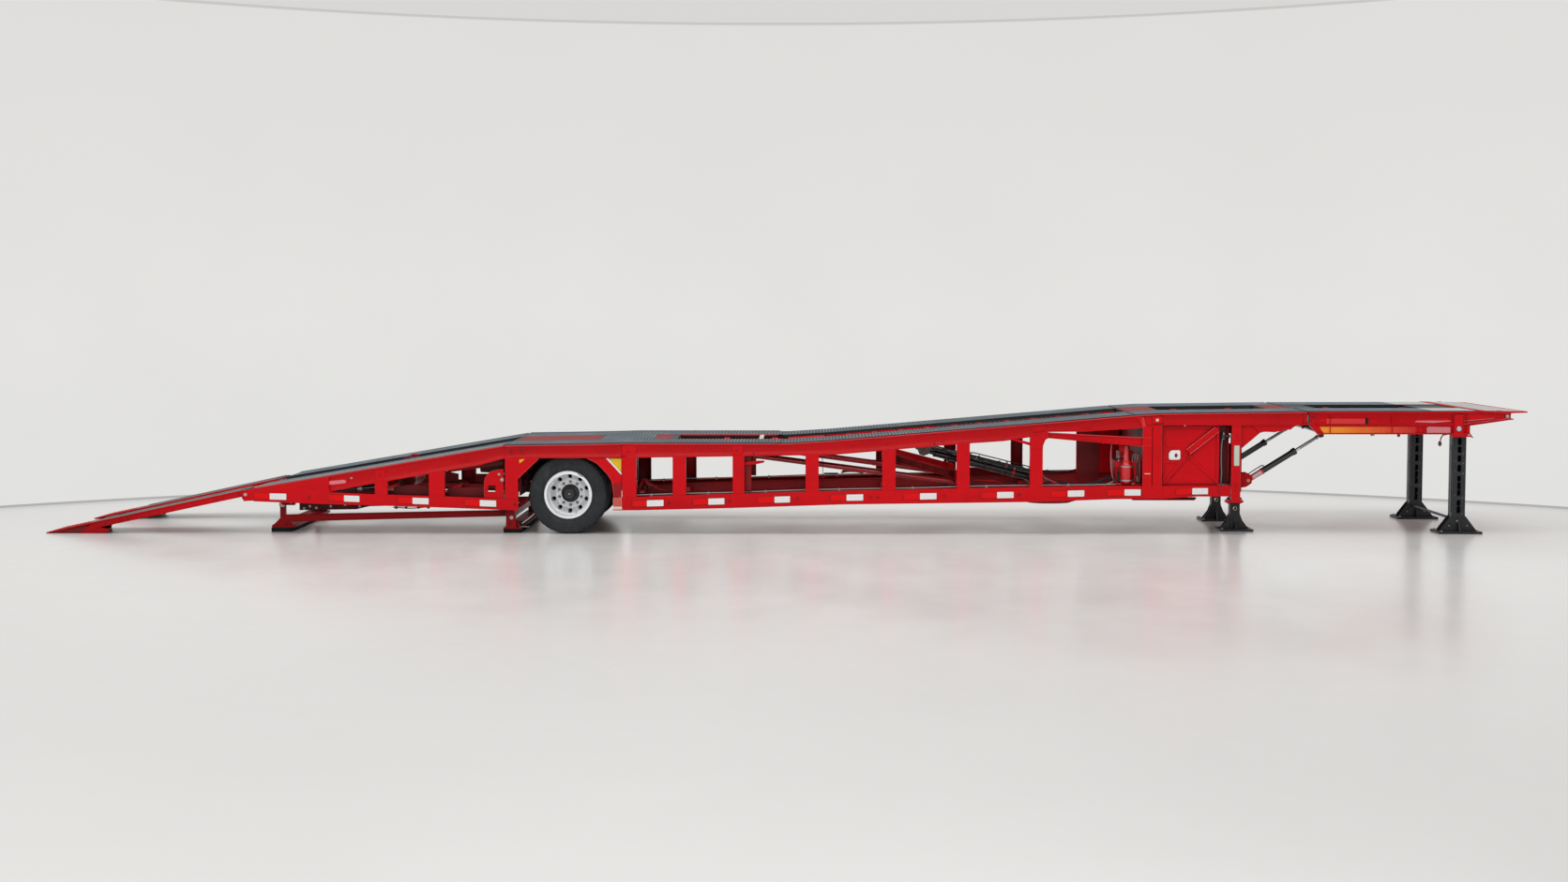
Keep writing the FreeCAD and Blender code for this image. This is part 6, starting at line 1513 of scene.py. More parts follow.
mat_band = amber_band()
bk = Piece("bulkhead_details", "chassis", "red_paint")
for s in S:
    yp = 1.206
    # pressed border and corner rivets of the side panel
    for x0, x1, z0, z1 in ((4.662, 5.288, 0.628, 0.640), (4.662, 5.288, 1.286, 1.298), (4.662, 4.672, 0.640, 1.286), (5.278, 5.288, 0.640, 1.286)):
        bk.box(x0, x1, s * (yp - 0.001), s * (yp + 0.004), z0, z1, mat_red, 0.0018)
    for k in range(7):
        for z in (0.618, 1.314):
            bk.lathe((4.700 + 0.092 * k, s * 1.2115, z), (0, s, 0), [(0, 0.008), (0.002, 0.0075), (0.0035, 0.0045), (0.0035, 0)], mat_red, 12)
    # raised angle brace over the panel and the flat one below it
    bk.prism("y", [(5.308, 1.266), (5.308, 1.318), (5.270, 1.318), (4.922, 1.040), (4.962, 0.990)], s * 1.221, s * 1.229, mat_red, 0.002)
    for (xa, za), (xb, zb) in (((5.308, 1.258), (4.966, 0.988)), ((5.266, 1.318), (4.918, 1.042))):
        bk.tube([(xa, s * 1.230, za), (xb, s * 1.230, zb)], 0.0075, mat_red_gloss, 8, n=0)
    # fairing plate between the king post gusset and the nose pivot
    bk.prism("y", [(5.700, 1.352), (5.800, 1.256), (5.885, 1.262), (5.985, 1.256), (6.180, 1.296), (6.236, 1.330), (6.300, 1.352)], s * 1.214, s * 1.2345, mat_red, 0.003)
    bk.prism("y", [(4.936, 0.940), (4.962, 0.955), (5.316, 0.668), (5.316, 0.634), (5.292, 0.634)], s * (yp - 0.001), s * (yp + 0.007), mat_red, 0.002)
    bk.prism("y", [(4.925, 0.965), (4.990, 0.985), (4.985, 0.925), (4.940, 0.915)], s * (yp + 0.004), s * (yp + 0.011), mat_red, 0.002)
    bk.bolt((4.958, s * (yp + 0.0105), 0.950), (0, s, 0), 0.015, mat_red_shaded, head=0.4)
    bk.weld((5.288, s * (yp + 0.002), 1.296), (4.690, s * (yp + 0.002), 0.640), 0.0028, mat_red_shaded)
    # recessed plate with the white rounded fitting
    bk.prism("y", [(4.645, 0.873), (4.881, 0.873), (4.881, 1.062), (4.868, 1.067), (4.658, 1.067), (4.645, 1.060)], s * (yp - 0.001), s * (yp + 0.005), mat_red, 0.002)
    rr, pts = 0.030, []
    for cx, cz, a0, r in ((4.850 - 0.022, 1.036 - 0.022, 0, 0.022), (4.708 + 0.055, 1.036 - 0.055, 90, 0.055), (4.708 + 0.030, 0.917 + 0.030, 180, 0.030), (4.850 - 0.026, 0.917 + 0.026, 270, 0.026)):
        for k in range(7):
            a = math.radians(a0 + 15 * k)
            pts.append((cx + r * math.cos(a), cz + r * math.sin(a)))
    bk.prism("y", pts, s * (yp + 0.004), s * (yp + 0.022), mat_white, 0.006)
    bk.prism("y", [(4.778 + (x - 4.778) * 0.84, 0.977 + (z - 0.977) * 0.84) for x, z in pts], s * (yp + 0.020), s * (yp + 0.0245), mat_white, 0.003)
    ell = [(4.796 + 0.019 * math.cos(math.radians(15 * k)), 0.974 + 0.025 * math.sin(math.radians(15 * k))) for k in range(24)]
    bk.prism("y", ell, s * (yp + 0.022), s * (yp + 0.0275), mat_red_shaded, 0.003)
    bk.rod((4.790, s * (yp + 0.024), 0.960), (4.790, s * (yp + 0.0335), 0.960), 0.006, mat_gasket, 14)
    # hinge straps and the small latch on the front post of the bulkhead
    for z in (0.700, 1.180):
        bk.box(4.628, 4.668, s * 1.2110, s * 1.2160, z - 0.040, z + 0.040, mat_red, 0.002)
        bk.rod((4.640, s * 1.2170, z - 0.044), (4.640, s * 1.2170, z + 0.044), 0.006, mat_red, 12)
    bk.box(4.412, 4.484, s * 1.2490, s * 1.2515, 0.746, 0.755, mat_cream, 0.001)
    # groove between the two bulkhead posts, edge lips, bolts
    bk.box(4.5005, 4.5075, s * 1.190, s * 1.236, 0.612, 1.300, mat_gasket, 0.001)
    for x in (4.392, 4.618):
        bk.tube([(x, s * 1.2495, 0.612), (x, s * 1.2495, line(UP_BOT, x) - 0.006)], 0.0035, mat_red_gloss, 6, n=0)
    for z in (0.66, 0.90, 1.14, 1.27):
        bk.lathe((4.565, s * 1.2492, z), (0, s, 0), [(0, 0.008), (0.0022, 0.0075), (0.0035, 0.0045), (0.0035, 0)], mat_red, 12)
    # open gap behind the king post: black fitting, two cables, and a dark red sheet that paints the shade in the gap
    bk.prism("y", [(5.325, 0.620), (5.455, 0.620), (5.455, 1.325), (5.325, 1.325)], s * 1.120, s * 1.126, mat_red_shaded, 0.002)
    bk.lathe((5.350, s * 1.190, 1.205), (1, 0, 0), [(0, 0.020), (0.010, 0.026), (0.040, 0.026), (0.046, 0.016), (0.080, 0.016), (0.086, 0.022), (0.104, 0.022), (0.104, 0)], mat_hub, 20)
    bk.lathe((5.378, s * 1.190, 1.170), (0, 0, 1), [(0, 0.008), (0.020, 0.014), (0.075, 0.014), (0.085, 0.006), (0.085, 0)], mat_zinc, 16)
    bk.tube([(5.366, s * 1.196, 1.190), (5.352, s * 1.200, 1.080), (5.350, s * 1.200, 0.900), (5.356, s * 1.198, 0.760), (5.350, s * 1.190, 0.630)], 0.0075, mat_grey, 8)
    bk.tube([(5.392, s * 1.180, 1.180), (5.410, s * 1.180, 1.050), (5.402, s * 1.180, 0.850), (5.410, s * 1.180, 0.630)], 0.006, mat_hose, 8)
    bk.tube([(5.440, s * 1.160, 1.320), (5.436, s * 1.160, 0.640)], 0.009, mat_red, 8, n=0)
    # king post: edge lips, weld lines, foot plate bolts, side gusset lips
    for x in (5.4705, 5.5725):
        bk.tube([(x, s * 1.2490, 0.430), (x, s * 1.2490, 1.335)], 0.0035, mat_red_gloss, 6, n=0)
    for x in (5.420, 5.445, 5.598):
        bk.bolt((x, s * 1.190, 0.4235), (0, 0, 1), 0.018, mat_zinc, head=0.5)
    bk.tube([(5.580, s * 1.2235, 1.054), (5.812, s * 1.2235, 1.254), (5.885, s * 1.2235, 1.270), (6.005, s * 1.2235, 1.338)], 0.005, mat_red_gloss, 8, n=0)
    bk.weld((5.470, s * 1.2505, 0.620), (5.574, s * 1.2505, 0.620), 0.0032, mat_red)
    bk.weld((5.470, s * 1.2505, 1.336), (5.574, s * 1.2505, 1.336), 0.0032, mat_red)
    for z in (0.480, 0.540, 0.590):
        bk.lathe((5.522, s * 1.2492, z), (0, s, 0), [(0, 0.009), (0.0024, 0.0085), (0.0036, 0.005), (0.0036, 0)], mat_red_shaded, 14)
    # end plate of the tapered arm where it laps over the rear post
    bk.prism("y", [(4.384, 1.086), (4.500, 1.094), (4.500, 1.190), (4.384, 1.196)], s * 1.2490, s * 1.2525, mat_red, 0.0015)
    bk.tube([(4.386, s * 1.2515, 1.193), (4.498, s * 1.2515, 1.187)], 0.0022, mat_red_gloss, 6, n=0)
    bk.tube([(4.386, s * 1.2515, 1.089), (4.498, s * 1.2515, 1.097)], 0.0022, mat_red_gloss, 6, n=0)
    # lower chord end: joint plate and vertical seams
    bk.box(5.312, 5.318, s * 1.2490, s * 1.2520, 0.480, 0.604, mat_red_shaded, 0.001)
    bk.box(4.640, 4.644, s * 1.2490, s * 1.2512, 0.450, 0.604, mat_red_shaded, 0.001)
    bk.box(4.380, 4.384, s * 1.2490, s * 1.2512, 0.446, 0.602, mat_red_shaded, 0.001)
    # upper chord in front of the bulkhead: cover strip and end cleat
    bk.prism("y", [(6.330, 1.350), (6.352, 1.350), (6.352, 1.484), (6.330, 1.484)], s * (UWEB - 0.001), s * (UWEB + 0.009), mat_red, 0.002)
    for z in (1.375, 1.415, 1.455):
        bk.lathe((6.341, s * (UWEB + 0.008), z), (0, s, 0), [(0, 0.007), (0.003, 0.0065), (0.0045, 0.004), (0.0045, 0)], mat_red_shaded, 12)
bk.done()

kl = Piece("king_post_lamps", "chassis", "lamp_lens")
for s in S:
    def pill(x0, x1, z0, z1, n=10):
        r = (x1 - x0) / 2
        cx = (x0 + x1) / 2
        return [(cx + r * math.cos(math.radians(180.0 * k / n)), z1 - r + r * math.sin(math.radians(180.0 * k / n))) for k in range(n + 1)] + \
               [(cx - r * math.cos(math.radians(180.0 * k / n)), z0 + r - r * math.sin(math.radians(180.0 * k / n))) for k in range(n + 1)]
    kl.prism("y", pill(5.490, 5.562, 0.842, 1.095), s * 1.2490, s * 1.2530, mat_grey, 0.0015)
    kl.prism("y", pill(5.4985, 5.5545, 0.8600, 1.0780), s * 1.2525, s * 1.25395, mat_lens, 0.0008)
    for z in (0.852, 1.086):
        kl.lathe((5.526, s * 1.2525, z), (0, s, 0), [(0, 0.005), (0.0010, 0.0045), (0.0014, 0.003), (0.0014, 0)], mat_zinc, 12)
kl.done()

# ================================================================== power pack and locker
pp = Piece("power_pack_details", "chassis", "red_paint")
y = -1.135
pp.lathe((4.205, y + 0.010, 0.612), (0, 0, 1), [(0, 0.070), (0.010, 0.076), (0.240, 0.076), (0.262, 0.060), (0.300, 0.044), (0.470, 0.040), (0.486, 0.026), (0.500, 0.0)], mat_red_gloss, 32)
for z in (0.660, 0.830):
    pp.lathe((4.205, y + 0.010, z), (0, 0, 1), [(-0.010, 0.0765), (-0.008, 0.0800), (0.008, 0.0800), (0.010, 0.0765)], mat_zinc, 32, loop=True)
pp.box(4.090, 4.150, y - 0.004, y + 0.080, 0.640, 0.760, mat_gasket, 0.004)
for k in range(5):
    pp.box(4.096 + 0.0110 * k, 4.102 + 0.0110 * k, y - 0.010, y - 0.003, 0.650, 0.750, mat_black, 0.001)
# valve block with levers and knobs
pp.box(4.262, 4.352, y + 0.010, y + 0.110, 0.760, 0.900, mat_black, 0.004)
for k in range(3):
    x = 4.276 + 0.030 * k
    pp.rod((x, y + 0.012, 0.880), (x + 0.010, y - 0.030, 0.985), 0.0045, mat_zinc, 8)
    pp.lathe((x + 0.0105, y - 0.032, 0.990), (0.1, -0.35, 0.9), [(0, 0.0), (0.004, 0.010), (0.014, 0.013), (0.024, 0.010), (0.028, 0)], (mat_hub, mat_red_gloss, mat_hub)[k], 14)
pp.tube([(4.372, y + 0.020, 0.620), (4.376, y + 0.005, 0.780), (4.366, y, 0.930), (4.372, y, 0.985)], 0.011, mat_red_gloss, 10)
pp.tube([(4.352, y + 0.006, 0.640), (4.340, y, 0.700), (4.330, y - 0.006, 0.700)], 0.008, mat_cream, 8)
for k in range(6):
    a = k * 1.05
    pp.tube([(4.150 + 0.02 * math.sin(a), y + 0.02, 0.930 - 0.03 * k), (4.120 + 0.03 * math.sin(a + 1), y - 0.012, 0.860 - 0.02 * k), (4.170 + 0.03 * math.cos(a), y - 0.022, 0.780),
             (4.250 + 0.02 * math.sin(a), y - 0.016, 0.720 + 0.02 * k), (4.300, y + 0.010, 0.660 + 0.03 * k)], 0.0065, (mat_red_shaded, mat_hose, mat_red)[k % 3], 8)
for k in range(8):
    pp.lathe((4.110 + 0.030 * (k % 4), y + 0.004, 0.905 + 0.05 * (k // 4)), (0, -1, 0), [(0, 0.010), (0.012, 0.010), (0.014, 0.007), (0.014, 0)], (mat_zinc, mat_hub)[k % 2], 6)
# round white cap, pale hose and the inclined pale rod behind
pp.lathe((3.945, -1.020, 1.150), (0, -1, 0), [(0, 0.044), (0.020, 0.044), (0.030, 0.036), (0.032, 0)], mat_white, 28)
pp.tube([(4.052, -1.070, 1.190), (4.030, -1.078, 1.050), (4.026, -1.080, 0.880), (4.044, -1.078, 0.720), (4.075, -1.070, 0.640)], 0.0085, mat_pale_pink_and_highlight, 10)
pp.rod((3.946, -1.060, 0.590), (4.122, -1.060, 0.664), 0.008, mat_cream, 12)
pp.box(3.700, 3.990, -0.300, -0.290, 0.520, 1.240, mat_red_shaded, 0.003)
pp.box(3.700, 3.720, -0.310, -0.280, 0.520, 1.240, mat_red, 0.003)
pp.box(4.400, 4.406, -1.180, 1.180, 0.612, 1.300, mat_red_shaded, 0.002)
pp.done()
lk = Piece("tool_locker_door", "chassis", "red_paint")
lk.box(4.070, 4.0765, 0.665, 1.125, 0.640, 1.180, mat_red, 0.003)
lk.box(4.0660, 4.0720, 0.690, 1.100, 0.668, 1.152, mat_red, 0.003)
lk.box(4.100, 4.360, 1.1495, 1.1560, 0.640, 1.180, mat_red, 0.003)
lk.box(4.126, 4.334, 1.1545, 1.1600, 0.668, 1.152, mat_red, 0.003)
for z in (0.720, 1.100):
    lk.rod((4.106, 1.1600, z - 0.035), (4.106, 1.1600, z + 0.035), 0.008, mat_zinc, 14)
lk.box(4.318, 4.346, 1.1600, 1.1680, 0.880, 0.940, mat_zinc, 0.003)
lk.rod((4.332, 1.166, 0.910), (4.332, 1.178, 0.910), 0.010, mat_hub, 16)
for s in S:
    lk.tube([(4.072, s * 1.1640, 0.614), (4.638, s * 1.1640, 0.614)], 0.005, mat_red_gloss, 8, n=0)
    for k in range(6):
        lk.box(4.090 + 0.092 * k, 4.140 + 0.092 * k, s * 0.72, s * 0.735, 0.611, 0.6145, mat_red_shaded, 0.001)
lk.done()

# ================================================================== nose cylinders
for s, side in ((-1, "right"), (1, "left")):
    y = s * 0.850
    lug, eye = Vector((5.742, y, 0.640)), Vector((6.633, y, 1.200))
    d = (eye - lug).normalized()
    n = (eye - lug).length
    lb = n * 0.66
    b = Piece("nose_jack_trim_" + side, "nose_barrel_" + side, "black_paint")
    # pink-silver end piece, red collar, black barrel, end cap
    b.lathe(lug, d, [(0.034, 0.0225), (0.038, 0.0362), (0.198, 0.0362), (0.204, 0.0300)], mat_pink_steel, 32)
    b.lathe(lug, d, [(0.198, 0.0300), (0.200, 0.0405), (0.220, 0.0405), (0.224, 0.0368)], mat_red_gloss, 36)
    b.lathe(lug, d, [(0.222, 0.0300), (0.223, 0.0368), (lb - 0.052, 0.0368), (lb - 0.050, 0.0440), (lb - 0.004, 0.0440), (lb, 0.0405), (lb + 0.002, 0.0300), (lb + 0.002, 0.0200)], mat_black_gloss, 40)
    for sg in (-1, 1):
        b.ring(lug + Vector((0, sg * 0.0345, 0)), (0, 1, 0), 0.0310, 0.003, mat_red, 30, 8)
    up = Vector((0, 1, 0)).cross(d).normalized()
    up = up if up.z > 0 else -up
    b.lathe(lug + d * 0.260 + up * 0.034, up, [(0, 0.011), (0.012, 0.011), (0.014, 0.008), (0.022, 0.008), (0.024, 0)], mat_zinc, 6)
    b.tube([lug + d * 0.260 + up * 0.056, lug + d * 0.215 + up * 0.064, lug + d * 0.060 + up * 0.060, lug + d * -0.010 + up * 0.050], 0.0065, mat_hose, 8)
    b.done()
    r = Piece("nose_rod_trim_" + side, "nose_rod_" + side, "rod_chrome")
    r.lathe(eye, d, [(-n + lb + 0.060, 0.0192), (-0.070, 0.0192), (-0.068, 0.0240), (-0.042, 0.0240), (-0.036, 0.0192)], mat_rod_dark, 30)
    for sg in (-1, 1):
        r.ring(eye + Vector((0, sg * 0.0242, 0)), (0, 1, 0), 0.0305, 0.003, mat_rod_dark, 30, 8)
    r.done()
    f = Piece("nose_jack_lug_" + side, "chassis", "red_paint")
    for sg in (-1, 1):
        f.prism("y", [(5.566, 0.560), (5.566, 0.722), (5.720, 0.740), (5.790, 0.700), (5.800, 0.660), (5.770, 0.600), (5.720, 0.562), (5.640, 0.548)],
                y + sg * 0.0535, y + sg * 0.0600, mat_red, 0.002)
        f.bolt((5.742, y + sg * 0.0590, 0.640), (0, sg, 0), 0.022, mat_brass, head=0.35)
        f.weld((5.578, y + sg * 0.058, 0.562), (5.578, y + sg * 0.058, 0.720), 0.005, mat_red)
    f.done()

# ================================================================== nose girders
ng = Piece("nose_girder_details", "nose", "red_paint")
for s in S:
    # pocket with its dark ends
    ng.prism("y", [(6.600, 1.352), (7.092, 1.352), (7.092, 1.430), (6.600, 1.430)], s * (UWEB - 0.001), s * (UWEB + 0.0045), mat_red, 0.0015)
    ng.prism("y", [(6.612, 1.360), (7.078, 1.360), (7.078, 1.422), (6.612, 1.422)], s * (UWEB + 0.0035), s * (UWEB + 0.0075), mat_red_gloss, 0.002)
    ng.box(7.082, 7.112, s * (UWEB - 0.001), s * (UWEB + 0.0085), 1.346, 1.434, mat_gasket, 0.001)
    ng.box(6.520, 6.604, s * (UWEB - 0.001), s * (UWEB + 0.003), 1.386, 1.420, mat_red, 0.0015)
    ng.box(7.150, 7.215, s * (UWEB - 0.001), s * (UWEB + 0.003), 1.360, 1.405, mat_red, 0.0015)
    ng.box(7.485, 7.550, s * (UWEB - 0.001), s * (UWEB + 0.003), 1.355, 1.400, mat_red, 0.0015)
    # middle rail of the web, amber band below it
    ng.prism("y", [(6.500, 1.330), (8.148, 1.334), (8.148, 1.345), (6.490, 1.342)], s * (UWEB - 0.001), s * (UWEB + 0.0125), mat_red, 0.002)
    ng.prism("y", [(6.580, 1.2475), (7.690, 1.2475), (7.690, 1.3270), (6.530, 1.3240), (6.548, 1.2900)], s * (UWEB - 0.001), s * (UWEB + 0.0045), mat_band, 0.001)
    # slanted press mark with a pale strip on it that is a painted highlight, and the pale plate before the leg bracket
    ng.prism("y", [(7.655, 1.378), (7.780, 1.358), (8.130, 1.384), (8.130, 1.400), (8.055, 1.432), (7.700, 1.410)], s * (UWEB - 0.001), s * (UWEB + 0.0055), mat_red, 0.002)
    ng.prism("y", [(7.680, 1.382), (7.900, 1.372), (8.120, 1.392), (8.100, 1.400), (7.700, 1.398)], s * (UWEB + 0.0045), s * (UWEB + 0.0085), mat_pale_pink_and_highlight, 0.0015)
    ng.prism("y", [(7.826, 1.2480), (8.112, 1.2480), (8.112, 1.3220), (7.850, 1.3290), (7.826, 1.3200)], s * (UWEB - 0.001), s * (UWEB + 0.0065), mat_pale_pink_and_highlight, 0.002)
    for x in (7.740, 7.800):
        ng.box(x - 0.010, x + 0.010, s * (UWEB - 0.001), s * (UWEB + 0.010), 1.246, 1.332, mat_red, 0.002)
    # leg bracket with the large silver bolt, its flange and rivet rows
    ng.prism("y", [(8.151, 1.208), (8.265, 1.208), (8.265, 1.474), (8.151, 1.474)], s * (UWEB - 0.001), s * 1.2510, mat_red, 0.0025)
    ng.prism("y", [(8.129, 1.2020), (8.362, 1.2020), (8.362, 1.2180), (8.129, 1.2310)], s * 1.170, s * 1.2520, mat_red, 0.002)
    ng.ring((8.214, s * 1.2480, 1.300), (0, s, 0), 0.0330, 0.0045, mat_gasket, 32, 8)
    ng.lathe((8.214, s * 1.2480, 1.300), (0, s, 0), [(0, 0.031), (0.003, 0.031), (0.0045, 0.029), (0.0052, 0.0)], mat_chrome, 32)
    for x in (8.168, 8.210, 8.250):
        for z in (1.420, 1.445):
            ng.lathe((x, s * 1.2500, z), (0, s, 0), [(0, 0.0075), (0.0018, 0.007), (0.003, 0.0045), (0.003, 0)], mat_red_shaded, 12)
    ng.prism("y", [(8.300, 1.2400), (8.318, 1.2400), (8.318, 1.3400), (8.300, 1.3400)], s * (UWEB - 0.001), s * (UWEB + 0.010), mat_red, 0.002)
    # folded lips on the tapering beam, a pale strip along them that is a painted highlight, end lug with washer bolt
    ng.prism("y", [(8.268, 1.350), (8.839, 1.424), (8.839, 1.436), (8.268, 1.362)], s * (UWEB - 0.001), s * 1.2500, mat_red_gloss, 0.002)
    ng.prism("y", [(8.280, 1.392), (8.640, 1.424), (8.640, 1.430), (8.280, 1.400)], s * (UWEB - 0.001), s * (UWEB + 0.005), mat_pale_pink_and_highlight, 0.0015)
    ng.box(8.838, 8.870, s * 1.190, s * 1.2500, 1.410, 1.424, mat_red, 0.003)
    ng.ring((8.797, s * (UWEB + 0.004), 1.452), (0, s, 0), 0.0270, 0.0040, mat_gasket, 30, 8)
    ng.bolt((8.797, s * (UWEB + 0.001), 1.452), (0, s, 0), 0.026, mat_zinc, head=0.25, low=True)
    # pivot ear end bolt and upright weld beads on the web
    ng.bolt((6.460, s * UWEB, 1.440), (0, s, 0), 0.020, mat_red_shaded, head=0.4)
    for x in (6.650, 7.400, 8.130):
        ng.weld((x + 0.012, s * (UWEB + 0.002), 1.250), (x + 0.012, s * (UWEB + 0.002), 1.490), 0.0035, mat_red)
    # landing hooks on the deck edge
    ng.tube([(8.660, s * 1.225, 1.5145), (8.680, s * 1.225, 1.5172), (8.720, s * 1.225, 1.5170), (8.742, s * 1.225, 1.5142)], 0.0032, mat_gasket, 8)
    # yellowish fitting at the near rod eye
    ng.lathe((6.640, s * 0.800, 1.235), (0.4, 0, 0.9), [(0, 0.010), (0.008, 0.015), (0.026, 0.015), (0.032, 0.008), (0.044, 0.008), (0.046, 0)], mat_brass, 16)
    # black curved cross member end
    ng.tube([(6.633, s * 0.700, 1.262), (6.560, s * 0.720, 1.290), (6.470, s * 0.740, 1.300), (6.430, s * 0.750, 1.280)], 0.014, mat_black_gloss, 10)
ng.done()
cb = Piece("nose_cross_tube", "nose", "black_paint")
cb.tube([(6.640, -0.790, 1.235), (6.585, -0.500, 1.262), (6.560, 0.0, 1.270), (6.585, 0.500, 1.262), (6.640, 0.790, 1.235)], 0.022, mat_black_gloss, 16, n=10)
for y in (-0.79, 0.79):
    cb.lathe((6.640, y, 1.235), (0, 1, 0), [(-0.012, 0.024), (-0.010, 0.031), (0.010, 0.031), (0.012, 0.024)], mat_black, 24, loop=True)
cb.done()
cpk = Piece("coupler_details", "nose", "pin_steel")
cpk.lathe((7.500, 0, 1.2225), (0, 0, -1), [(0, 0.060), (0.004, 0.060), (0.007, 0.052), (0.007, 0.0262)], mat_pin, 40)
cpk.ring((7.500, 0, 1.158), (0, 0, 1), 0.0256, 0.0016, mat_zinc, 36, 6)
for x in (6.96, 7.20, 7.80, 8.00):
    for y in (-0.46, -0.23, 0.23, 0.46):
        cpk.bolt((x, y, 1.2225), (0, 0, -1), 0.020, mat_zinc, head=0.4)
cpk.done()
nt = Piece("nose_tip_details", "nose", "red_paint")
nt.prism("y", [(8.452, 1.5115), (9.030, 1.5015), (9.030, 1.4985), (8.846, 1.4925), (8.846, 1.4965)], -1.2505, -1.2475, mat_red_gloss, 0.0006)
for k in range(11):
    for x in (8.520, 8.960):
        y = -1.15 + 0.23 * k
        z = 1.521 - (x - 8.446) / (9.037 - 8.446) * 0.010
        nt.lathe((x, y, z - 0.0052), (0, 0, 1), [(0, 0.012), (0.0040, 0.0115), (0.0050, 0.008), (0.0050, 0)], mat_red, 14)
nt.done()

# ================================================================== legs
for s, side in ((-1, "right"), (1, "left")):
    y = s * 0.610
    lg = Piece("landing_leg_details_" + side, "landing_leg_" + side, "black_paint")
    for sg in (-1, 1):
        lg.lathe((5.632, y + sg * 0.0600, 0.273), (0, sg, 0), [(-0.001, 0.0172), (0.0012, 0.0172), (0.0015, 0.0180), (0.0015, 0.0262), (0.0010, 0.0270), (-0.001, 0.0270)], mat_cream, 36, loop=True)
        pts = [(5.632 + 0.017 * math.cos(math.radians(20 * k)), 0.118 + 0.026 * math.sin(math.radians(20 * k))) for k in range(18)]
        lg.prism("y", pts, y + sg * 0.0590, y + sg * 0.0640, mat_grey, 0.0015)
        for x in (5.575, 5.689):
            lg.tube([(x, y + sg * 0.0595, 0.050), (x, y + sg * 0.0595, 0.222)], 0.0040, mat_black, 6, n=0)
        lg.box(5.600, 5.664, y + sg * 0.0590, y + sg * 0.0625, 0.160, 0.205, mat_black, 0.002)
    for sx in (-1, 1):
        for sy in (-1, 1):
            lg.weld((5.632 + sx * 0.062, y + sy * 0.044, 0.030), (5.632 + sx * 0.062, y + sy * 0.044, 0.200), 0.0045, mat_black)
            lg.bolt((5.632 + sx * 0.180, y + sy * 0.170, 0.0215), (0, 0, 1), 0.020, mat_zinc, head=0.5)
            lg.weld((5.632 + sx * 0.066, y + sy * 0.044, 0.0235), (5.632 + sx * 0.160, y + sy * 0.044, 0.0235), 0.0045, mat_black)
    lg.done()
    # latch housing that hangs from the sleeve beside the leg
    lh = Piece("landing_leg_latch_" + side, "chassis", "black_paint")
    for sx in (-1, 1):
        lh.box(5.632 + sx * 0.0640, 5.632 + sx * 0.0900, y - 0.028, y + 0.028, 0.330, 0.405, mat_black, 0.004)
        lh.box(5.632 + sx * 0.0640, 5.632 + sx * 0.0715, y - 0.020, y + 0.020, 0.400, 0.485, mat_black, 0.001)
        lh.bolt((5.632 + sx * 0.0895, y, 0.366), (sx, 0, 0), 0.020, mat_zinc, head=0.5)
    lh.done()
tg = Piece("front_leg_details", "front_legs", "black_paint")
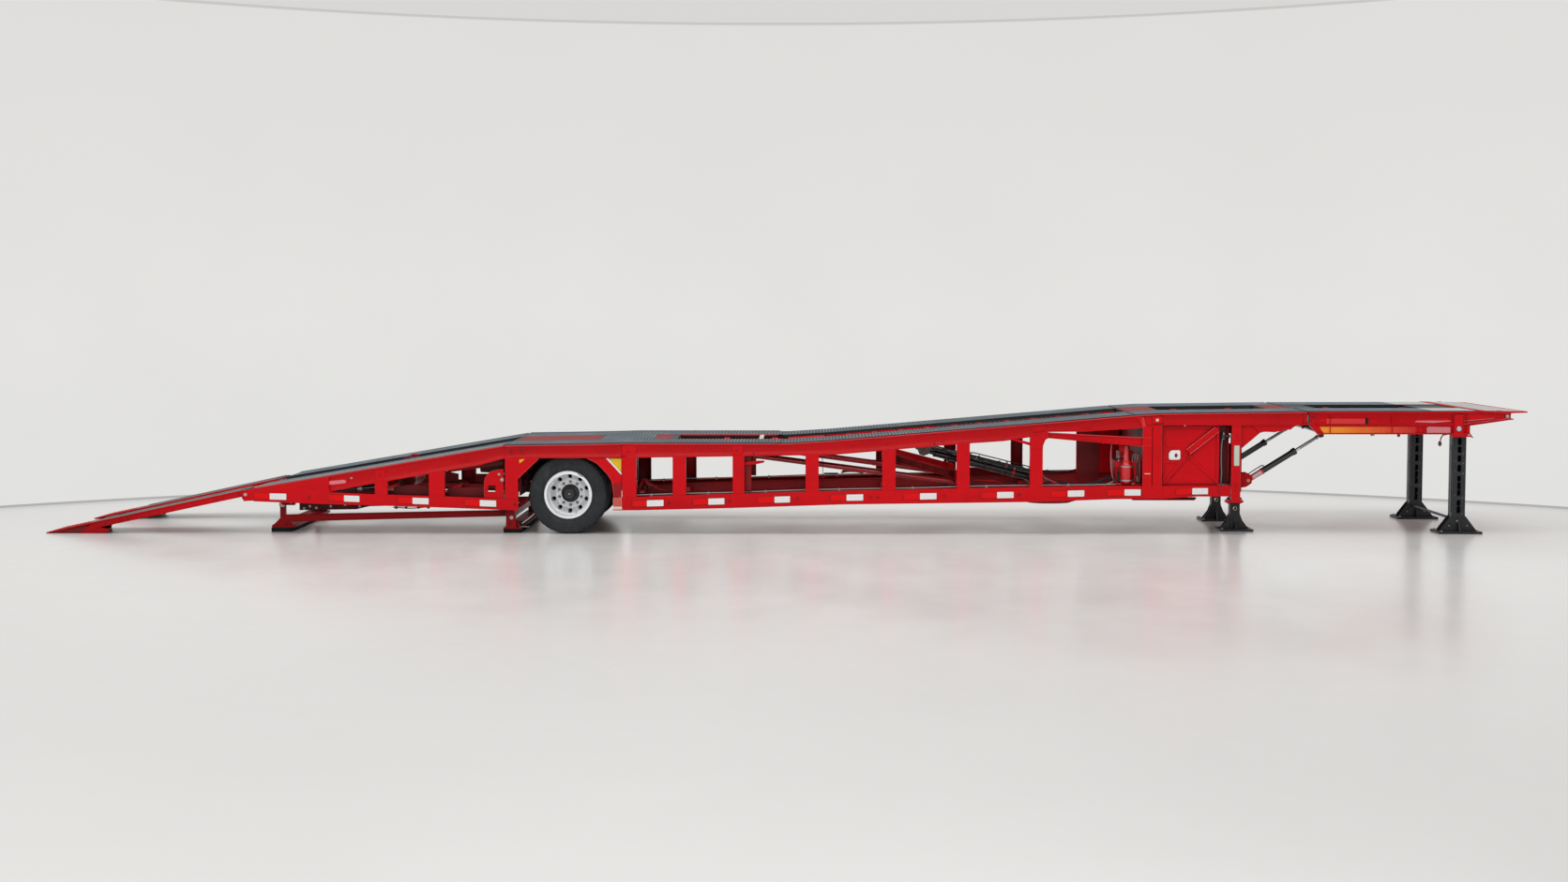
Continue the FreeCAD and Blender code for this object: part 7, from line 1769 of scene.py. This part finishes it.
for s in S:
    y, x = s * 0.910, 8.305
    for sg in (-1, 1):
        # channel flanges that frame the slotted faces
        for dx in (-0.074, 0.074):
            tg.tube([(x + dx, y + sg * 0.0800, 0.250), (x + dx, y + sg * 0.0800, 1.195)], 0.0050, mat_black, 6, n=0)
        # lighter channel strip on the rear and front faces
        tg.box(x + sg * 0.0795, x + sg * 0.0840, y - 0.046, y + 0.046, 0.250, 1.195, mat_black, 0.002)
        tg.box(x + sg * 0.0835, x + sg * 0.0875, y - 0.036, y - 0.008, 0.260, 1.070, mat_grey, 0.001)
        # rims round the slots
        for z, h in ((0.290, 0.040), (0.372, 0.026), (0.500, 0.030), (0.585, 0.044), (0.672, 0.026), (0.800, 0.040), (0.920, 0.034), (1.030, 0.030), (1.130, 0.040)):
            e, f = h / 2 + 0.010, h / 2 + 0.024
            o = [(x - 0.025, z - e), (x - 0.013, z - f - 0.001), (x + 0.013, z - f - 0.001), (x + 0.025, z - e), (x + 0.025, z + e), (x + 0.013, z + f + 0.001),
                 (x - 0.013, z + f + 0.001), (x - 0.025, z + e), (x - 0.025, z - e)]
            tg.tube([(a, y + sg * 0.0805, b) for a, b in o], 0.0022, mat_black, 6, n=1)
        # dull dark studs between the slots
        for z in (0.235, 0.436, 0.735, 0.862, 0.977):
            tg.lathe((x + 0.046, y + sg * 0.0800, z), (0, sg, 0), [(0, 0.009), (0.003, 0.008), (0.0045, 0.005), (0.0045, 0)], mat_grey, 12)
            tg.lathe((x - 0.050, y + sg * 0.0800, z + 0.03), (0, sg, 0), [(0, 0.006), (0.002, 0.005), (0.003, 0.003), (0.003, 0)], mat_grey, 10)
        tg.bolt((x - 0.008, y + sg * 0.0800, 0.150), (0, sg, 0), 0.018, mat_cream, head=0.4)
        for sx in (-1, 1):
            tg.bolt((x + sx * 0.110, y + sg * 0.0720, 0.122 - 0.030), (0, sg, 0), 0.015, mat_zinc, head=0.4)
            tg.weld((x + sx * 0.082, y + sg * 0.058, 0.030), (x + sx * 0.082, y + sg * 0.058, 0.220), 0.0045, mat_black)
            tg.bolt((x + sx * 0.225, y + sg * 0.155, 0.0235), (0, 0, 1), 0.022, mat_zinc, head=0.5)
    # straight outer gussets on the foot
    for sg in (-1, 1):
        for e in (-1, 1):
            tg.prism("y", [(x + e * 0.078, 0.024), (x + e * 0.078, 0.205), (x + e * 0.094, 0.205), (x + e * 0.214, 0.048), (x + e * 0.214, 0.024)],
                     y + sg * 0.0725, y + sg * 0.0785, mat_black, 0.0015)
    # raised edge of the foot plate
    for x0, x1, y0, y1 in ((x - 0.262, x + 0.262, y - 0.188, y - 0.180), (x - 0.262, x + 0.262, y + 0.180, y + 0.188), (x - 0.262, x - 0.254, y - 0.180, y + 0.180), (x + 0.254, x + 0.262, y - 0.180, y + 0.180)):
        tg.box(x0, x1, y0, y1, 0.0235, 0.0285, mat_black, 0.0015)
tg.done()
lp = Piece("leg_lock_pins", "nose", "black_paint")
for s in S:
    y, x = s * 0.910, 8.305
    lp.rod((x - 0.094, y, 1.222), (x - 0.185, y, 1.205), 0.009, mat_black_gloss, 12)
    lp.tube([(x - 0.185, y, 1.205), (x - 0.205, y, 1.170), (x - 0.215, y, 1.130)], 0.007, mat_gasket, 8)
    pts = [(x - 0.220 + 0.020 * math.cos(math.radians(20 * k)), 1.098 + 0.032 * math.sin(math.radians(20 * k))) for k in range(18)]
    lp.prism("y", pts, y - 0.014, y + 0.014, mat_brown, 0.004)
    lp.rod((x + 0.094, y, 1.222), (x + 0.150, y, 1.215), 0.008, mat_black_gloss, 12)
    lp.tube([(x + 0.150, y, 1.215), (x + 0.165, y, 1.190), (x + 0.182, y, 1.172)], 0.007, mat_brown, 8)
    for sg in (-1, 1):
        for z in (1.235, 1.280):
            lp.bolt((x + sg * 0.060, y - s * -0.094, z), (0, s, 0), 0.016, mat_zinc, head=0.4)
lp.done()

# ------------------------------------------------------------------ final view layer update
bpy.context.view_layer.update()
